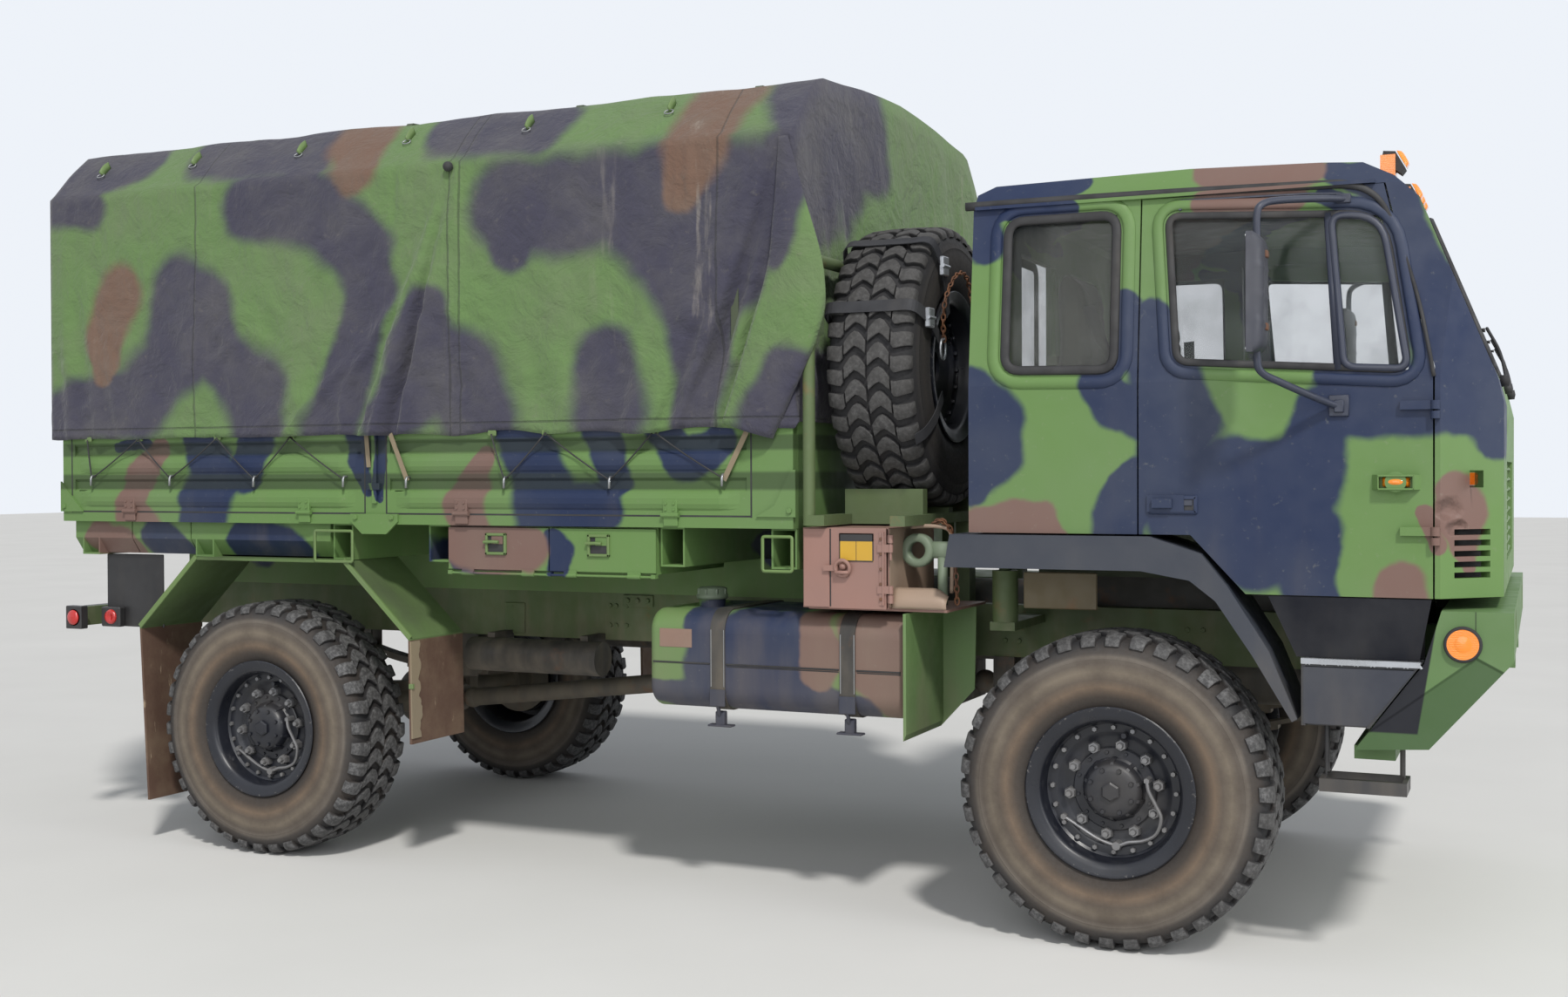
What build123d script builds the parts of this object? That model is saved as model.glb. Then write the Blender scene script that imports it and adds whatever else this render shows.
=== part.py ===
from build123d import *

import os
from math import cos, radians, sin

# Two-axle cargo truck with a tilting cab over the engine and a covered cargo bed.
# Millimetres. X points forward, Y to the left, Z up. The origin lies on the ground
# under the middle of the truck. Reaches named "ahead" are counted from the front axle.

# Overall
wheelbase = 3900.0
nose_ahead = 1335.0
tail_behind = 5165.0
half_track = 1025.0
clearance = 6.0
fit_gap = 0.3

# Tyres and rims
tyre_r = 575.0
tyre_half_w = 192.0
tread_half_w = 168.0
bead_half_w = 166.7
shoulder_drop = 24.0
rim_seat_r = 262.0
rim_wall = 8.0
flange_r = 309.0
flange_w = 10.0
disc_outboard = 60.0
disc_t = 16.0
tyre_wall = 26.0
clamp_ring_r = 250.0
lug_count = 16
lug_depth = 20.0
lug_gap = 38.0
lug_len = 80.0
hub_plate_r = 195.0
hub_cap_r = 105.0
hub_cap_len = 75.0
wheel_bolt_pcd = 335.0
wheel_bolt_count = 10
wheel_nut_r = 17.0
wheel_nut_h = 22.0
ring_bolt_count = 20
drum_r = 205.0
drum_len = 100.0
spindle_r = 42.0
running_fit = 0.05

# Steering ends of the front axle
kingpin_y = 862.0
kingpin_r = 22.0
yoke_ear_t = 30.0
yoke_half_h = 95.0
eye_r = 40.0
arm_len = 220.0
ball_drop = 50.0
arm_t = 22.0
rod_r = 18.0
ball_r = 20.0

# Chassis frame
frame_w = 864.0
rail_h = 216.0
rail_flange = 80.0
rail_t = 8.0
rail_base_z = 962.0
rail_ahead = 1010.0
rail_behind = 5040.0
member_h = 150.0
member_w = 70.0

# Axles and springs
axle_r = 62.0
bowl_r = 165.0
nose_len = 60.0
joint_r = 52.0
bowl_y = 90.0
spring_w = 76.0
leaf_t = 18.0
leaf_count = 3
spring_half = 620.0
spring_rise = 95.0
hanger_t = 10.0

# Cab, from the front axle
cab_behind = 523.0
cab_ahead = 1300.0
cab_half_w = 1200.0
cab_wall = 42.0
cab_base_z = 1302.0
cab_rear_base_z = 1505.0
waist_z = 2045.0
drip_z = 2704.0
roof_z = 2816.0
roof_half_w = 1128.0
cab_reach = max(cab_half_w, roof_half_w)
screen_top_ahead = 1040.0
roof_lip_ahead = 956.0
corner_cut = 190.0
door_rear_ahead = 109.0
door_front_ahead = 1087.0
door_gap = 6.0
arch_ahead = 480.0
tunnel_half_w = 400.0
tunnel_z = 1625.0
floor_t = 30.0
tilt_ahead = 1270.0
tilt_z = 1282.0
tilt_y = 360.0
tilt_pin_r = 7.0
tilt_eye_r = 14.0

# Cargo bed, from the front axle
bed_ahead = -1238.0
bed_behind = 5097.0
bed_half_w = 1195.0
deck_z = 1545.0
deck_t = 35.0
sill_z = 1350.0
board_t = 25.0
board_h = 455.0
post_w = 58.0
cover_t = 8.0
cover_hem_z = 1890.0
crease_z = 3060.0
shoulder_y = 950.0
shoulder_z = 3325.0
ridge_z = 3394.0
bow_t = 32.0
deck_plate_t = 3.0

# Values that follow
x_front = (tail_behind - nose_ahead) / 2
x_rear = x_front - wheelbase
axle_z = tyre_r
rail_top_z = rail_base_z + rail_h
rail_y = frame_w / 2
bed_front_x = x_front + bed_ahead
bed_rear_x = x_front - bed_behind
tail_x = x_front - tail_behind
nose_x = x_front + nose_ahead
SIDES = (("right", -1), ("left", 1))
AXLES = (("front", x_front), ("rear", x_rear))

os.makedirs("parts", exist_ok=True)


def block(x0, x1, y0, y1, z0, z1, mode=Mode.ADD):
    """Box between two opposite corners."""
    with Locations(((x0 + x1) / 2, (y0 + y1) / 2, (z0 + z1) / 2)):
        Box(abs(x1 - x0), abs(y1 - y0), abs(z1 - z0), mode=mode)


def rod(start, end, radius, mode=Mode.ADD):
    """Round bar from one point to another."""
    path = Vector(*end) - Vector(*start)
    with BuildSketch(Plane(origin=start, z_dir=path)) as section:
        Circle(radius)
    extrude(section.sketch, amount=path.length, mode=mode)


def side_profile(points, y0, y1, mode=Mode.ADD):
    """Closed outline of (x, z) points, carried from y0 to y1."""
    with BuildSketch(Plane.XZ.offset(-max(y0, y1))) as section:
        with BuildLine():
            Polyline(*points, close=True)
        make_face()
    extrude(section.sketch, amount=abs(y1 - y0), mode=mode)


def end_profile(points, x0, x1, mode=Mode.ADD):
    """Closed outline of (y, z) points, carried from x0 to x1."""
    with BuildSketch(Plane.YZ.offset(min(x0, x1))) as section:
        with BuildLine():
            Polyline(*points, close=True)
        make_face()
    extrude(section.sketch, amount=abs(x1 - x0), mode=mode)


# Frame: two C-channel rails with their webs outside, joined by cross members
mount_y = 830.0
member_ahead = (960.0, -1290.0, -2100.0, -2850.0, -4150.0, -4985.0)
with BuildPart() as frame_rails:
    for name, side in SIDES:
        outer = side * rail_y
        inner = side * (rail_y - rail_flange)
        web = side * (rail_y - rail_t)
        rail_x0 = x_front - rail_behind
        rail_x1 = x_front + rail_ahead
        block(rail_x0, rail_x1, outer, inner, rail_base_z, rail_top_z)
        block(rail_x0, rail_x1, web, inner, rail_base_z + rail_t, rail_top_z - rail_t, Mode.SUBTRACT)
    for ahead in member_ahead:
        x = x_front + ahead
        mid = rail_base_z + rail_h / 2
        span = rail_y - rail_t
        block(x - member_w / 2, x + member_w / 2, -span, span, mid - member_h / 2, mid + member_h / 2)
        block(x - member_w / 2 + rail_t, x + member_w / 2, -span + rail_t, span - rail_t,
              mid - member_h / 2 + rail_t, mid + member_h / 2 - rail_t, Mode.SUBTRACT)
    for name, side in SIDES:
        mount = (x_front - 495, side * mount_y)
        block(x_front - 545, x_front - 445, side * rail_y, side * (mount_y + 40), rail_base_z + 150, 1145)
        rod((*mount, 1145), (*mount, 1345), 50)
        rod((*mount, 1345), (*mount, cab_rear_base_z - fit_gap), 24)
frame_rails.part.label = "frame_rails"
export_step(frame_rails.part, "parts/frame_rails.step")

# Engine as one plain block, with its gearbox and transfer case behind it
engine_half_w = 330.0
engine_behind = 300.0
engine_ahead = 820.0
engine_base_z = 800.0
engine_top_z = 1520.0
with BuildPart() as engine:
    block(x_front - engine_behind, x_front + engine_ahead, -engine_half_w, engine_half_w,
          engine_base_z, engine_top_z)
    fillet(engine.edges().filter_by(Axis.X), 40)
    for name, side in SIDES:
        block(x_front + 200, x_front + 300, side * engine_half_w, side * (rail_y - rail_t), 1040, 1120)
engine.part.label = "engine"
export_step(engine.part, "parts/engine.step")

gearbox_r = 230.0
gearbox_z = 1080.0
gearbox_behind = 1150.0
case_z = 860.0
# Propeller shafts from the transfer case to both axles, with a joint at each end
shaft_r = 45.0
nose_reach = bowl_r + nose_len
shaft_runs = (
    ((x_front - gearbox_behind - joint_r - fit_gap, 0, case_z),
     (x_rear + nose_reach + joint_r + fit_gap, bowl_y, axle_z)),
    ((x_front - gearbox_behind + 260 + joint_r + fit_gap, 0, case_z - 60),
     (x_front - nose_reach - joint_r - fit_gap, bowl_y, axle_z)),
)
with BuildPart() as driveline:
    with BuildSketch(Plane.YZ.offset(x_front - engine_behind)) as bell:
        with Locations((0, gearbox_z)):
            Circle(gearbox_r)
    extrude(bell.sketch, amount=-180)
    with BuildSketch(Plane.YZ.offset(x_front - engine_behind - 180)) as gear_case:
        with Locations((0, gearbox_z)):
            Circle(gearbox_r * 0.78)
    extrude(gear_case.sketch, amount=-(gearbox_behind - engine_behind - 180))
    block(x_front - gearbox_behind, x_front - gearbox_behind + 260, -170, 170, case_z - 140, gearbox_z)
    for name, side in SIDES:
        block(x_front - 1000, x_front - 930, side * 150, side * (rail_y - rail_t), 1080, 1150)
    for start, end in shaft_runs:
        rod(start, end, shaft_r)
        with Locations(start, end):
            Sphere(joint_r)
driveline.part.label = "driveline"
export_step(driveline.part, "parts/driveline.step")


def axle_beam(x, nose):
    """Axle tube across the truck, its drive housing off centre and its nose towards the gearbox."""
    reach = kingpin_y - eye_r - 18
    rod((x, -reach, axle_z), (x, reach, axle_z), axle_r)
    with Locations((x, bowl_y, axle_z)):
        Sphere(bowl_r)
    rod((x, bowl_y, axle_z), (x + nose * nose_reach, bowl_y, axle_z), 66)
    for name, side in SIDES:
        y = side * (rail_y - rail_flange / 2)
        block(x - 70, x + 70, y - spring_w / 2, y + spring_w / 2, axle_z, axle_z + axle_r + 12)


with BuildPart() as front_axle:
    axle_beam(x_front, -1)
    for name, side in SIDES:
        root = side * (kingpin_y - eye_r - 26)
        tip = side * (kingpin_y + eye_r)
        foot = side * (kingpin_y - eye_r - 12)
        block(x_front - 42, x_front + 42, root, foot, axle_z - yoke_half_h - yoke_ear_t,
              axle_z + yoke_half_h + yoke_ear_t)
        for up in (-1, 1):
            z_in = axle_z + up * yoke_half_h
            block(x_front - 42, x_front + 42, root, tip, z_in, z_in + up * yoke_ear_t)
        rod((x_front, side * kingpin_y, axle_z - yoke_half_h - yoke_ear_t),
            (x_front, side * kingpin_y, axle_z + yoke_half_h + yoke_ear_t), kingpin_r)
front_axle.part.label = "front_axle"
export_step(front_axle.part, "parts/front_axle.step")

hub_face_y = half_track + disc_outboard
with BuildPart() as rear_axle:
    axle_beam(x_rear, 1)
    for name, side in SIDES:
        rod((x_rear, side * 700, axle_z), (x_rear, side * (hub_face_y + disc_t - 2), axle_z), spindle_r)
        rod((x_rear, side * 800, axle_z), (x_rear, side * 925, axle_z), 90)
        rod((x_rear, side * 925, axle_z), (x_rear, side * 937, axle_z), drum_r - 8)
rear_axle.part.label = "rear_axle"
export_step(rear_axle.part, "parts/rear_axle.step")

# Leaf springs on the axle pads, with hangers up to the rails
seat_z = axle_z + axle_r + 12
with BuildPart() as leaf_springs:
    for axle, x in AXLES:
        for name, side in SIDES:
            y = side * (rail_y - rail_flange / 2)
            for leaf in range(leaf_count):
                z = seat_z + leaf * leaf_t
                half = spring_half * (0.55 + 0.45 * leaf / (leaf_count - 1))
                rise = spring_rise * (half / spring_half) ** 2
                with BuildSketch(Plane.XZ.offset(-y - spring_w / 2)) as leaf_side:
                    with BuildLine():
                        low = ThreePointArc((x - half, z + rise), (x, z), (x + half, z + rise))
                        high = ThreePointArc((x - half, z + rise + leaf_t), (x, z + leaf_t),
                                             (x + half, z + rise + leaf_t))
                        Line(low @ 0, high @ 0)
                        Line(low @ 1, high @ 1)
                    make_face()
                extrude(leaf_side.sketch, amount=spring_w)
            top = seat_z + (leaf_count - 1) * leaf_t + spring_rise
            for end in (-1, 1):
                rod((x + end * spring_half, y - spring_w / 2, top + leaf_t / 2),
                    (x + end * spring_half, y + spring_w / 2, top + leaf_t / 2), 22)
                for cheek in (-1, 1):
                    y0 = y + cheek * (spring_w / 2)
                    xe = x + end * spring_half
                    block(xe - 45, xe + 45, y0, y0 + cheek * hanger_t, top - 20, rail_base_z)
leaf_springs.part.label = "leaf_springs"
export_step(leaf_springs.part, "parts/leaf_springs.step")

# Steering knuckles: eye on the kingpin, backing plate, spindle and arm
ball_z = axle_z
rod_z = ball_z - ball_drop
arm_x = x_front + arm_len
for name, side in SIDES:
    pin = side * kingpin_y
    plate = side * (kingpin_y + 68)
    with BuildPart() as knuckle:
        rod((x_front, pin, axle_z - yoke_half_h + 7), (x_front, pin, axle_z + yoke_half_h - 7), eye_r)
        block(x_front - 32, x_front + 32, pin, plate, axle_z - 60, axle_z + 60)
        rod((x_front, plate, axle_z), (x_front, plate + side * 8, axle_z), drum_r - 8)
        rod((x_front, plate, axle_z), (x_front, side * (hub_face_y + disc_t - 2), axle_z), spindle_r)
        block(x_front + 20, arm_x + 20, pin - 20, pin + 20, ball_z - arm_t / 2, ball_z + arm_t / 2)
        block(x_front + 60, x_front + 110, pin, plate, ball_z - arm_t / 2, ball_z + arm_t / 2)
        rod((arm_x, pin, rod_z - ball_r - 4), (arm_x, pin, ball_z), 12)
        rod((x_front, pin, axle_z - yoke_half_h), (x_front, pin, axle_z + yoke_half_h),
            kingpin_r + running_fit, Mode.SUBTRACT)
    knuckle.part.label = f"knuckle_{name}"
    export_step(knuckle.part, f"parts/knuckle_{name}.step")

# Tie rod under the arms, hung on both ball pins
with BuildPart() as tie_rod:
    rod((arm_x, -kingpin_y, rod_z), (arm_x, kingpin_y, rod_z), rod_r)
    for name, side in SIDES:
        rod((arm_x, side * kingpin_y, rod_z - ball_r), (arm_x, side * kingpin_y, rod_z + ball_r),
            ball_r)
        rod((arm_x, side * kingpin_y, rod_z - 90), (arm_x, side * kingpin_y, rod_z + 90),
            12 + running_fit, Mode.SUBTRACT)
tie_rod.part.label = "tie_rod"
export_step(tie_rod.part, "parts/tie_rod.step")


def turned(centre, side, outline, mode=Mode.ADD):
    """Ring about the wheel's axis from (outboard, radius) points."""
    plane = Plane(origin=centre, x_dir=(0, side, 0), z_dir=(side, 0, 0))
    with BuildSketch(plane) as section:
        with BuildLine():
            Polyline(*outline, close=True)
        make_face()
    revolve(section.sketch, axis=Axis(centre, (0, 1, 0)), mode=mode)


# Half section of the tyre, out to the tips of its lugs
TYRE_HALF = (
    (bead_half_w, rim_seat_r + fit_gap),
    (bead_half_w, flange_r + 1),
    (tyre_half_w - 8, flange_r + 40),
    (tyre_half_w, flange_r + 110),
    (tyre_half_w - 6, tyre_r - 66),
    (tread_half_w, tyre_r - shoulder_drop / 3),
    (tread_half_w - 40, tyre_r),
)


# The air space inside it, open towards the rim
AIR_HALF = (
    (bead_half_w - tyre_wall, rim_seat_r - 5),
    (bead_half_w - tyre_wall, flange_r + 20),
    (tyre_half_w - tyre_wall, flange_r + 110),
    (tyre_half_w - tyre_wall - 6, tyre_r - 100),
    (tread_half_w - 40, tyre_r - 2 * tyre_wall),
)


def both_halves(half):
    """Closed outline from one half and its mirror image."""
    return list(half) + [(-w, r) for w, r in reversed(half)]


def cut_lugs(axle):
    """Notches across both shoulders of the tread about a wheel's plane, one side's between the other's."""
    for half in (-1, 1):
        with Locations(axle.offset(half * (tread_half_w - lug_len / 2 + 12))):
            with PolarLocations(tyre_r, lug_count, start_angle=(1 + half) * 90 / lug_count):
                Box(2 * lug_depth, lug_gap, lug_len, mode=Mode.SUBTRACT)


def tyre_form(centre, side):
    """Hollow tyre as one ring."""
    turned(centre, side, both_halves(TYRE_HALF))
    turned(centre, side, both_halves(AIR_HALF), Mode.SUBTRACT)
    cut_lugs(Plane(origin=centre, x_dir=(1, 0, 0), z_dir=(0, 1, 0)))


def rim_outline(bore_r):
    """Half section of the deep-dished rim, as (outboard, radius) points."""
    seat = rim_seat_r
    inner = seat - rim_wall
    edge = bead_half_w + fit_gap
    return (
        (-edge - flange_w, inner), (-edge - flange_w, flange_r), (-edge, flange_r), (-edge, seat),
        (edge, seat), (edge, flange_r), (edge + flange_w, flange_r), (edge + flange_w, flange_r - 10),
        (edge + 3, clamp_ring_r + 6), (edge - 55, clamp_ring_r - 4), (edge - 70, clamp_ring_r - 18), (disc_outboard + disc_t + 14, hub_plate_r + 26),
        (disc_outboard + disc_t, hub_plate_r), (disc_outboard + disc_t, bore_r),
        (disc_outboard, bore_r), (disc_outboard, hub_plate_r + 10), (disc_outboard + 8, inner),
    )


def rim_form(centre, side):
    """Rim with its wheel nuts."""
    turned(centre, side, rim_outline(spindle_r + running_fit))
    with Locations(Plane(origin=centre, x_dir=(1, 0, 0), z_dir=(0, side, 0)).offset(disc_outboard + disc_t)):
        with PolarLocations(wheel_bolt_pcd / 2, wheel_bolt_count):
            Cylinder(wheel_nut_r, wheel_nut_h, align=(Align.CENTER, Align.CENTER, Align.MIN))


def hub_form(centre, side):
    """Brake drum, hub and cap that turn with the rim."""
    outline = (
        (drum_start, drum_r), (disc_outboard, drum_r), (disc_outboard, spindle_r + running_fit),
        (disc_outboard - 60, spindle_r + running_fit), (disc_outboard - 60, drum_r - 40),
        (disc_outboard - 20, drum_r - 12), (drum_start, drum_r - 12),
    )
    turned(centre, side, outline)
    face = disc_outboard + disc_t
    cap = (
        (face, 0), (face + hub_cap_len, 0), (face + hub_cap_len, hub_cap_r * 0.62),
        (face + hub_cap_len - 18, hub_cap_r * 0.86), (face + 12, hub_cap_r), (face, hub_cap_r),
    )
    turned(centre, side, cap)


drum_start = kingpin_y + 68 + 8 + clearance - half_track
for axle, x in AXLES:
    for name, side in SIDES:
        centre = (x, side * half_track, axle_z)
        with BuildPart() as tyre:
            tyre_form(centre, side)
        tyre.part.label = f"tyre_{axle}_{name}"
        export_step(tyre.part, f"parts/tyre_{axle}_{name}.step")
        with BuildPart() as rim:
            rim_form(centre, side)
            hub_form(centre, side)
        rim.part.label = f"rim_{axle}_{name}"
        export_step(rim.part, f"parts/rim_{axle}_{name}.step")

# Outline of the cab from the side, ahead of the front axle, with the wheel arch cut in
CAB_SIDE = (
    (-cab_behind, cab_rear_base_z), (-cab_behind, roof_z - 46), (-cab_behind + 64, roof_z - 13),
    (261, roof_z), (713, roof_z - 15), (854, roof_z - 26), (roof_lip_ahead, roof_z - 84),
    (screen_top_ahead, drip_z - 54), (cab_ahead - 20, waist_z), (cab_ahead, waist_z - 85),
    (cab_ahead, cab_base_z), (arch_ahead, cab_base_z), (arch_ahead - 190, cab_rear_base_z),
)
CAB_END = (
    (-cab_half_w, cab_base_z), (-cab_half_w, waist_z), (-roof_half_w, drip_z), (-roof_half_w + 90, roof_z),
    (roof_half_w - 90, roof_z), (roof_half_w, drip_z), (cab_half_w, waist_z), (cab_half_w, cab_base_z),
)
CAB_PLAN = (
    (x_front - cab_behind, -cab_reach), (x_front + cab_ahead - corner_cut, -cab_reach),
    (x_front + cab_ahead, -cab_reach + corner_cut), (x_front + cab_ahead, cab_reach - corner_cut),
    (x_front + cab_ahead - corner_cut, cab_reach), (x_front - cab_behind, cab_reach),
)


def cab_form(inset):
    """Solid with the cab's outer shape, moved inwards by inset."""
    with BuildSketch(Plane.XZ.offset(-cab_reach)) as side_view:
        with BuildLine():
            Polyline(*[(x_front + ahead, z) for ahead, z in CAB_SIDE], close=True)
        make_face()
        if inset:
            offset(amount=-inset, kind=Kind.INTERSECTION)
    extrude(side_view.sketch, amount=2 * cab_reach)
    with BuildSketch(Plane.YZ.offset(x_front - cab_behind)) as end_view:
        with BuildLine():
            Polyline(*CAB_END, close=True)
        make_face()
        if inset:
            offset(amount=-inset, kind=Kind.INTERSECTION)
    extrude(end_view.sketch, amount=cab_behind + cab_ahead, mode=Mode.INTERSECT)
    with BuildSketch(Plane.XY.offset(cab_base_z)) as plan_view:
        with BuildLine():
            Polyline(*CAB_PLAN, close=True)
        make_face()
        if inset:
            offset(amount=-inset, kind=Kind.INTERSECTION)
    extrude(plan_view.sketch, amount=roof_z - cab_base_z, mode=Mode.INTERSECT)


with BuildPart() as cab_outside:
    cab_form(0)
with BuildPart() as cab_inside:
    cab_form(cab_wall)
with BuildPart() as cab_shell:
    add(cab_outside.part)
    add(cab_inside.part, mode=Mode.SUBTRACT)
glass_t = 6.0
with BuildPart() as glass_inside:
    cab_form(18 + glass_t)
with BuildPart() as glass_shell:
    cab_form(18)
    add(glass_inside.part, mode=Mode.SUBTRACT)

# Door opening and window outlines, ahead of the front axle
DOOR = (
    (door_rear_ahead, cab_base_z - 50), (door_front_ahead, cab_base_z - 50), (door_front_ahead, waist_z + 28),
    (door_front_ahead - 122, drip_z - 162), (door_front_ahead - 160, drip_z - 2), (door_rear_ahead, drip_z - 2),
)
DOOR_WINDOW = ((242, 2114), (1012, 2064), (925, 2575), (905, 2594), (212, 2637), (200, 2622))
QUARTER_WINDOW = ((-386, 2100), (19, 2093), (19, 2654), (-386, 2654))
SCREEN = ((-1010, 2110), (1010, 2110), (925, 2590), (-925, 2590))
REAR_WINDOWS = ((-640, -130), (130, 640))
rear_window_z = (2130.0, 2600.0)
vent_z = (1360.0, 1540.0)
vent_count = 5
grille_half_w = 520.0
grille_z = (1400.0, 1760.0)
grille_slats = 9


def ahead(points):
    """Move side-view points from the front axle to the truck's own origin."""
    return [(x_front + x, z) for x, z in points]


def grown(points, amount, y0, y1, mode):
    """Side-view outline grown by amount and carried from y0 to y1."""
    with BuildSketch(Plane.XZ.offset(-max(y0, y1))) as section:
        with BuildLine():
            Polyline(*ahead(points), close=True)
        make_face()
        if amount:
            offset(amount=amount, kind=Kind.INTERSECTION)
    extrude(section.sketch, amount=abs(y1 - y0), mode=mode)


back_x = x_front - cab_behind
front_x = x_front + cab_ahead
inner_w = cab_half_w - cab_wall



def floor_plan(mode):
    """Room for the floor between the cab's walls, in all the height of the cab's base."""
    with BuildSketch(Plane.XY.offset(cab_base_z - 1)) as plan:
        with BuildLine():
            Polyline(*CAB_PLAN, close=True)
        make_face()
        offset(amount=-cab_wall, kind=Kind.INTERSECTION)
        with Locations((x_front, 0)):
            Rectangle(4000, 2 * (inner_w - clearance), mode=Mode.INTERSECT)
    extrude(plan.sketch, amount=cab_rear_base_z + cab_wall + 1 - cab_base_z + 1, mode=mode)


with BuildPart() as cab_floor:
    add(cab_outside.part)
    floor_plan(Mode.INTERSECT)
    add(cab_inside.part, mode=Mode.SUBTRACT)
    block(back_x + cab_wall, x_front + 930, -tunnel_half_w, tunnel_half_w, cab_base_z, tunnel_z)
    block(back_x - 50, x_front + 930 - floor_t, -tunnel_half_w + floor_t, tunnel_half_w - floor_t,
          cab_base_z - 10, tunnel_z - floor_t, Mode.SUBTRACT)
    for name, side in SIDES:
        y = side * tilt_y
        pivot = x_front + tilt_ahead
        block(pivot - 12, pivot + 12, y - 28, y + 28, tilt_z, cab_base_z)
        rod((pivot, y - 28, tilt_z), (pivot, y + 28, tilt_z), tilt_eye_r)
        block(pivot - 60, pivot - 12, y - 28, y + 28, tilt_z + tilt_eye_r + 1, cab_base_z)
        rod((pivot, y - 30, tilt_z), (pivot, y + 30, tilt_z), tilt_pin_r + running_fit, Mode.SUBTRACT)
cab_floor.part.label = "cab_floor"
export_step(cab_floor.part, "parts/cab_floor.step")

with BuildPart() as cab_roof:
    add(cab_shell.part)
    block(back_x, front_x, -cab_reach, cab_reach, drip_z, roof_z + 10, Mode.INTERSECT)
    for name, side in SIDES:
        y = side * roof_half_w
        block(back_x + 10, x_front + 900, y - side * 6, y + side * 18, drip_z, drip_z + 12)
cab_roof.part.label = "cab_roof"
export_step(cab_roof.part, "parts/cab_roof.step")

with BuildPart() as cab_walls:
    add(cab_shell.part)
    block(back_x, x_front + door_rear_ahead - door_gap, -cab_reach, cab_reach, cab_base_z, drip_z,
          Mode.INTERSECT)
    floor_plan(Mode.SUBTRACT)
    block(back_x - 10, back_x + cab_wall + 10, -tunnel_half_w, tunnel_half_w, cab_base_z, tunnel_z,
          Mode.SUBTRACT)
    grown(QUARTER_WINDOW, 0, -cab_half_w, cab_half_w, Mode.SUBTRACT)
    for y0, y1 in REAR_WINDOWS:
        block(back_x - 10, back_x + cab_wall + 10, y0, y1, *rear_window_z, Mode.SUBTRACT)
cab_walls.part.label = "cab_walls"
export_step(cab_walls.part, "parts/cab_walls.step")

hinge_x = x_front + door_front_ahead + 8
hinge_y = cab_half_w + 15
hinge_r = 9.0
hinge_z = (1480.0, 1900.0)
with BuildPart() as cab_front:
    add(cab_shell.part)
    block(x_front + 850, front_x, -cab_reach, cab_reach, cab_base_z, drip_z, Mode.INTERSECT)
    block(x_front + 850, front_x - cab_wall - corner_cut, -inner_w, inner_w, cab_base_z - 1,
          cab_base_z + cab_wall + 1, Mode.SUBTRACT)
    floor_plan(Mode.SUBTRACT)
    grown(DOOR, door_gap, -cab_half_w, cab_half_w, Mode.SUBTRACT)
    end_profile(SCREEN, x_front + 900, front_x + 10, Mode.SUBTRACT)
    block(front_x - 100, front_x + 10, -grille_half_w, grille_half_w, *grille_z, Mode.SUBTRACT)
    pitch = (vent_z[1] - vent_z[0]) / vent_count
    for name, side in SIDES:
        corner = Plane(origin=(front_x - corner_cut / 2, side * (cab_half_w - corner_cut / 2), 0),
                       x_dir=(0, 0, 1), z_dir=(1, side, 0))
        for slot in range(vent_count):
            with Locations(corner):
                with Locations((vent_z[0] + (slot + 0.5) * pitch, 0, 0)):
                    Box(pitch * 0.55, corner_cut * 0.8, 3 * cab_wall, mode=Mode.SUBTRACT)
        for z in hinge_z:
            rod((hinge_x, side * hinge_y, z), (hinge_x, side * hinge_y, z + 25), hinge_r + 6)
            block(hinge_x, hinge_x + 14, side * cab_half_w, side * (hinge_y + 4), z, z + 25)
cab_front.part.label = "cab_front"
export_step(cab_front.part, "parts/cab_front.step")

with BuildPart() as grille:
    pitch = (grille_z[1] - grille_z[0]) / grille_slats
    for slat in range(grille_slats):
        z = grille_z[0] + (slat + 0.2) * pitch
        side_profile(((front_x - cab_wall + 4, z + 22), (front_x - cab_wall + 4, z + 28), (front_x - 6, z + 6),
                      (front_x - 6, z)), -grille_half_w, grille_half_w)
    for y in (-grille_half_w, -10, grille_half_w - 20):
        block(front_x - cab_wall + 4, front_x - 6, y, y + 20, *grille_z)
grille.part.label = "grille"
export_step(grille.part, "parts/grille.step")

# Doors with a full-height frame, window opening, handle and hinge knuckles
for name, side in SIDES:
    outer = side * (cab_half_w + 1)
    with BuildPart() as door:
        add(cab_shell.part)
        block(x_front, front_x, side * (roof_half_w - 3 * cab_wall), outer, cab_base_z, drip_z, Mode.INTERSECT)
        block(x_front, front_x, -inner_w, inner_w, cab_base_z - 1, cab_rear_base_z + cab_wall + 1, Mode.SUBTRACT)
        grown(DOOR, 0, 0, outer, Mode.INTERSECT)
        grown(DOOR_WINDOW, 0, 0, outer, Mode.SUBTRACT)
        for z in hinge_z:
            rod((hinge_x, side * hinge_y, z + 31), (hinge_x, side * hinge_y, z + 60), hinge_r + 6)
            block(hinge_x - 110, hinge_x, side * cab_half_w, side * (hinge_y + 4), z + 31, z + 60)
        block(x_front + 140, x_front + 270, side * (cab_half_w), side * (cab_half_w + 10), 1585, 1645)
        block(x_front + 160, x_front + 230, side * (cab_half_w + 10), side * (cab_half_w + 26), 1600, 1632)
        rod((x_front + 972, side * cab_half_w, 1690), (x_front + 972, side * (cab_half_w + 28), 1690), 34)
    door.part.label = f"door_{name}"
    export_step(door.part, f"parts/door_{name}.step")
    with BuildPart() as door_glass:
        add(glass_shell.part)
        grown(DOOR_WINDOW, 0, side * (roof_half_w - 3 * cab_wall), outer, Mode.INTERSECT)
    door_glass.part.label = f"door_glass_{name}"
    export_step(door_glass.part, f"parts/door_glass_{name}.step")

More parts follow.
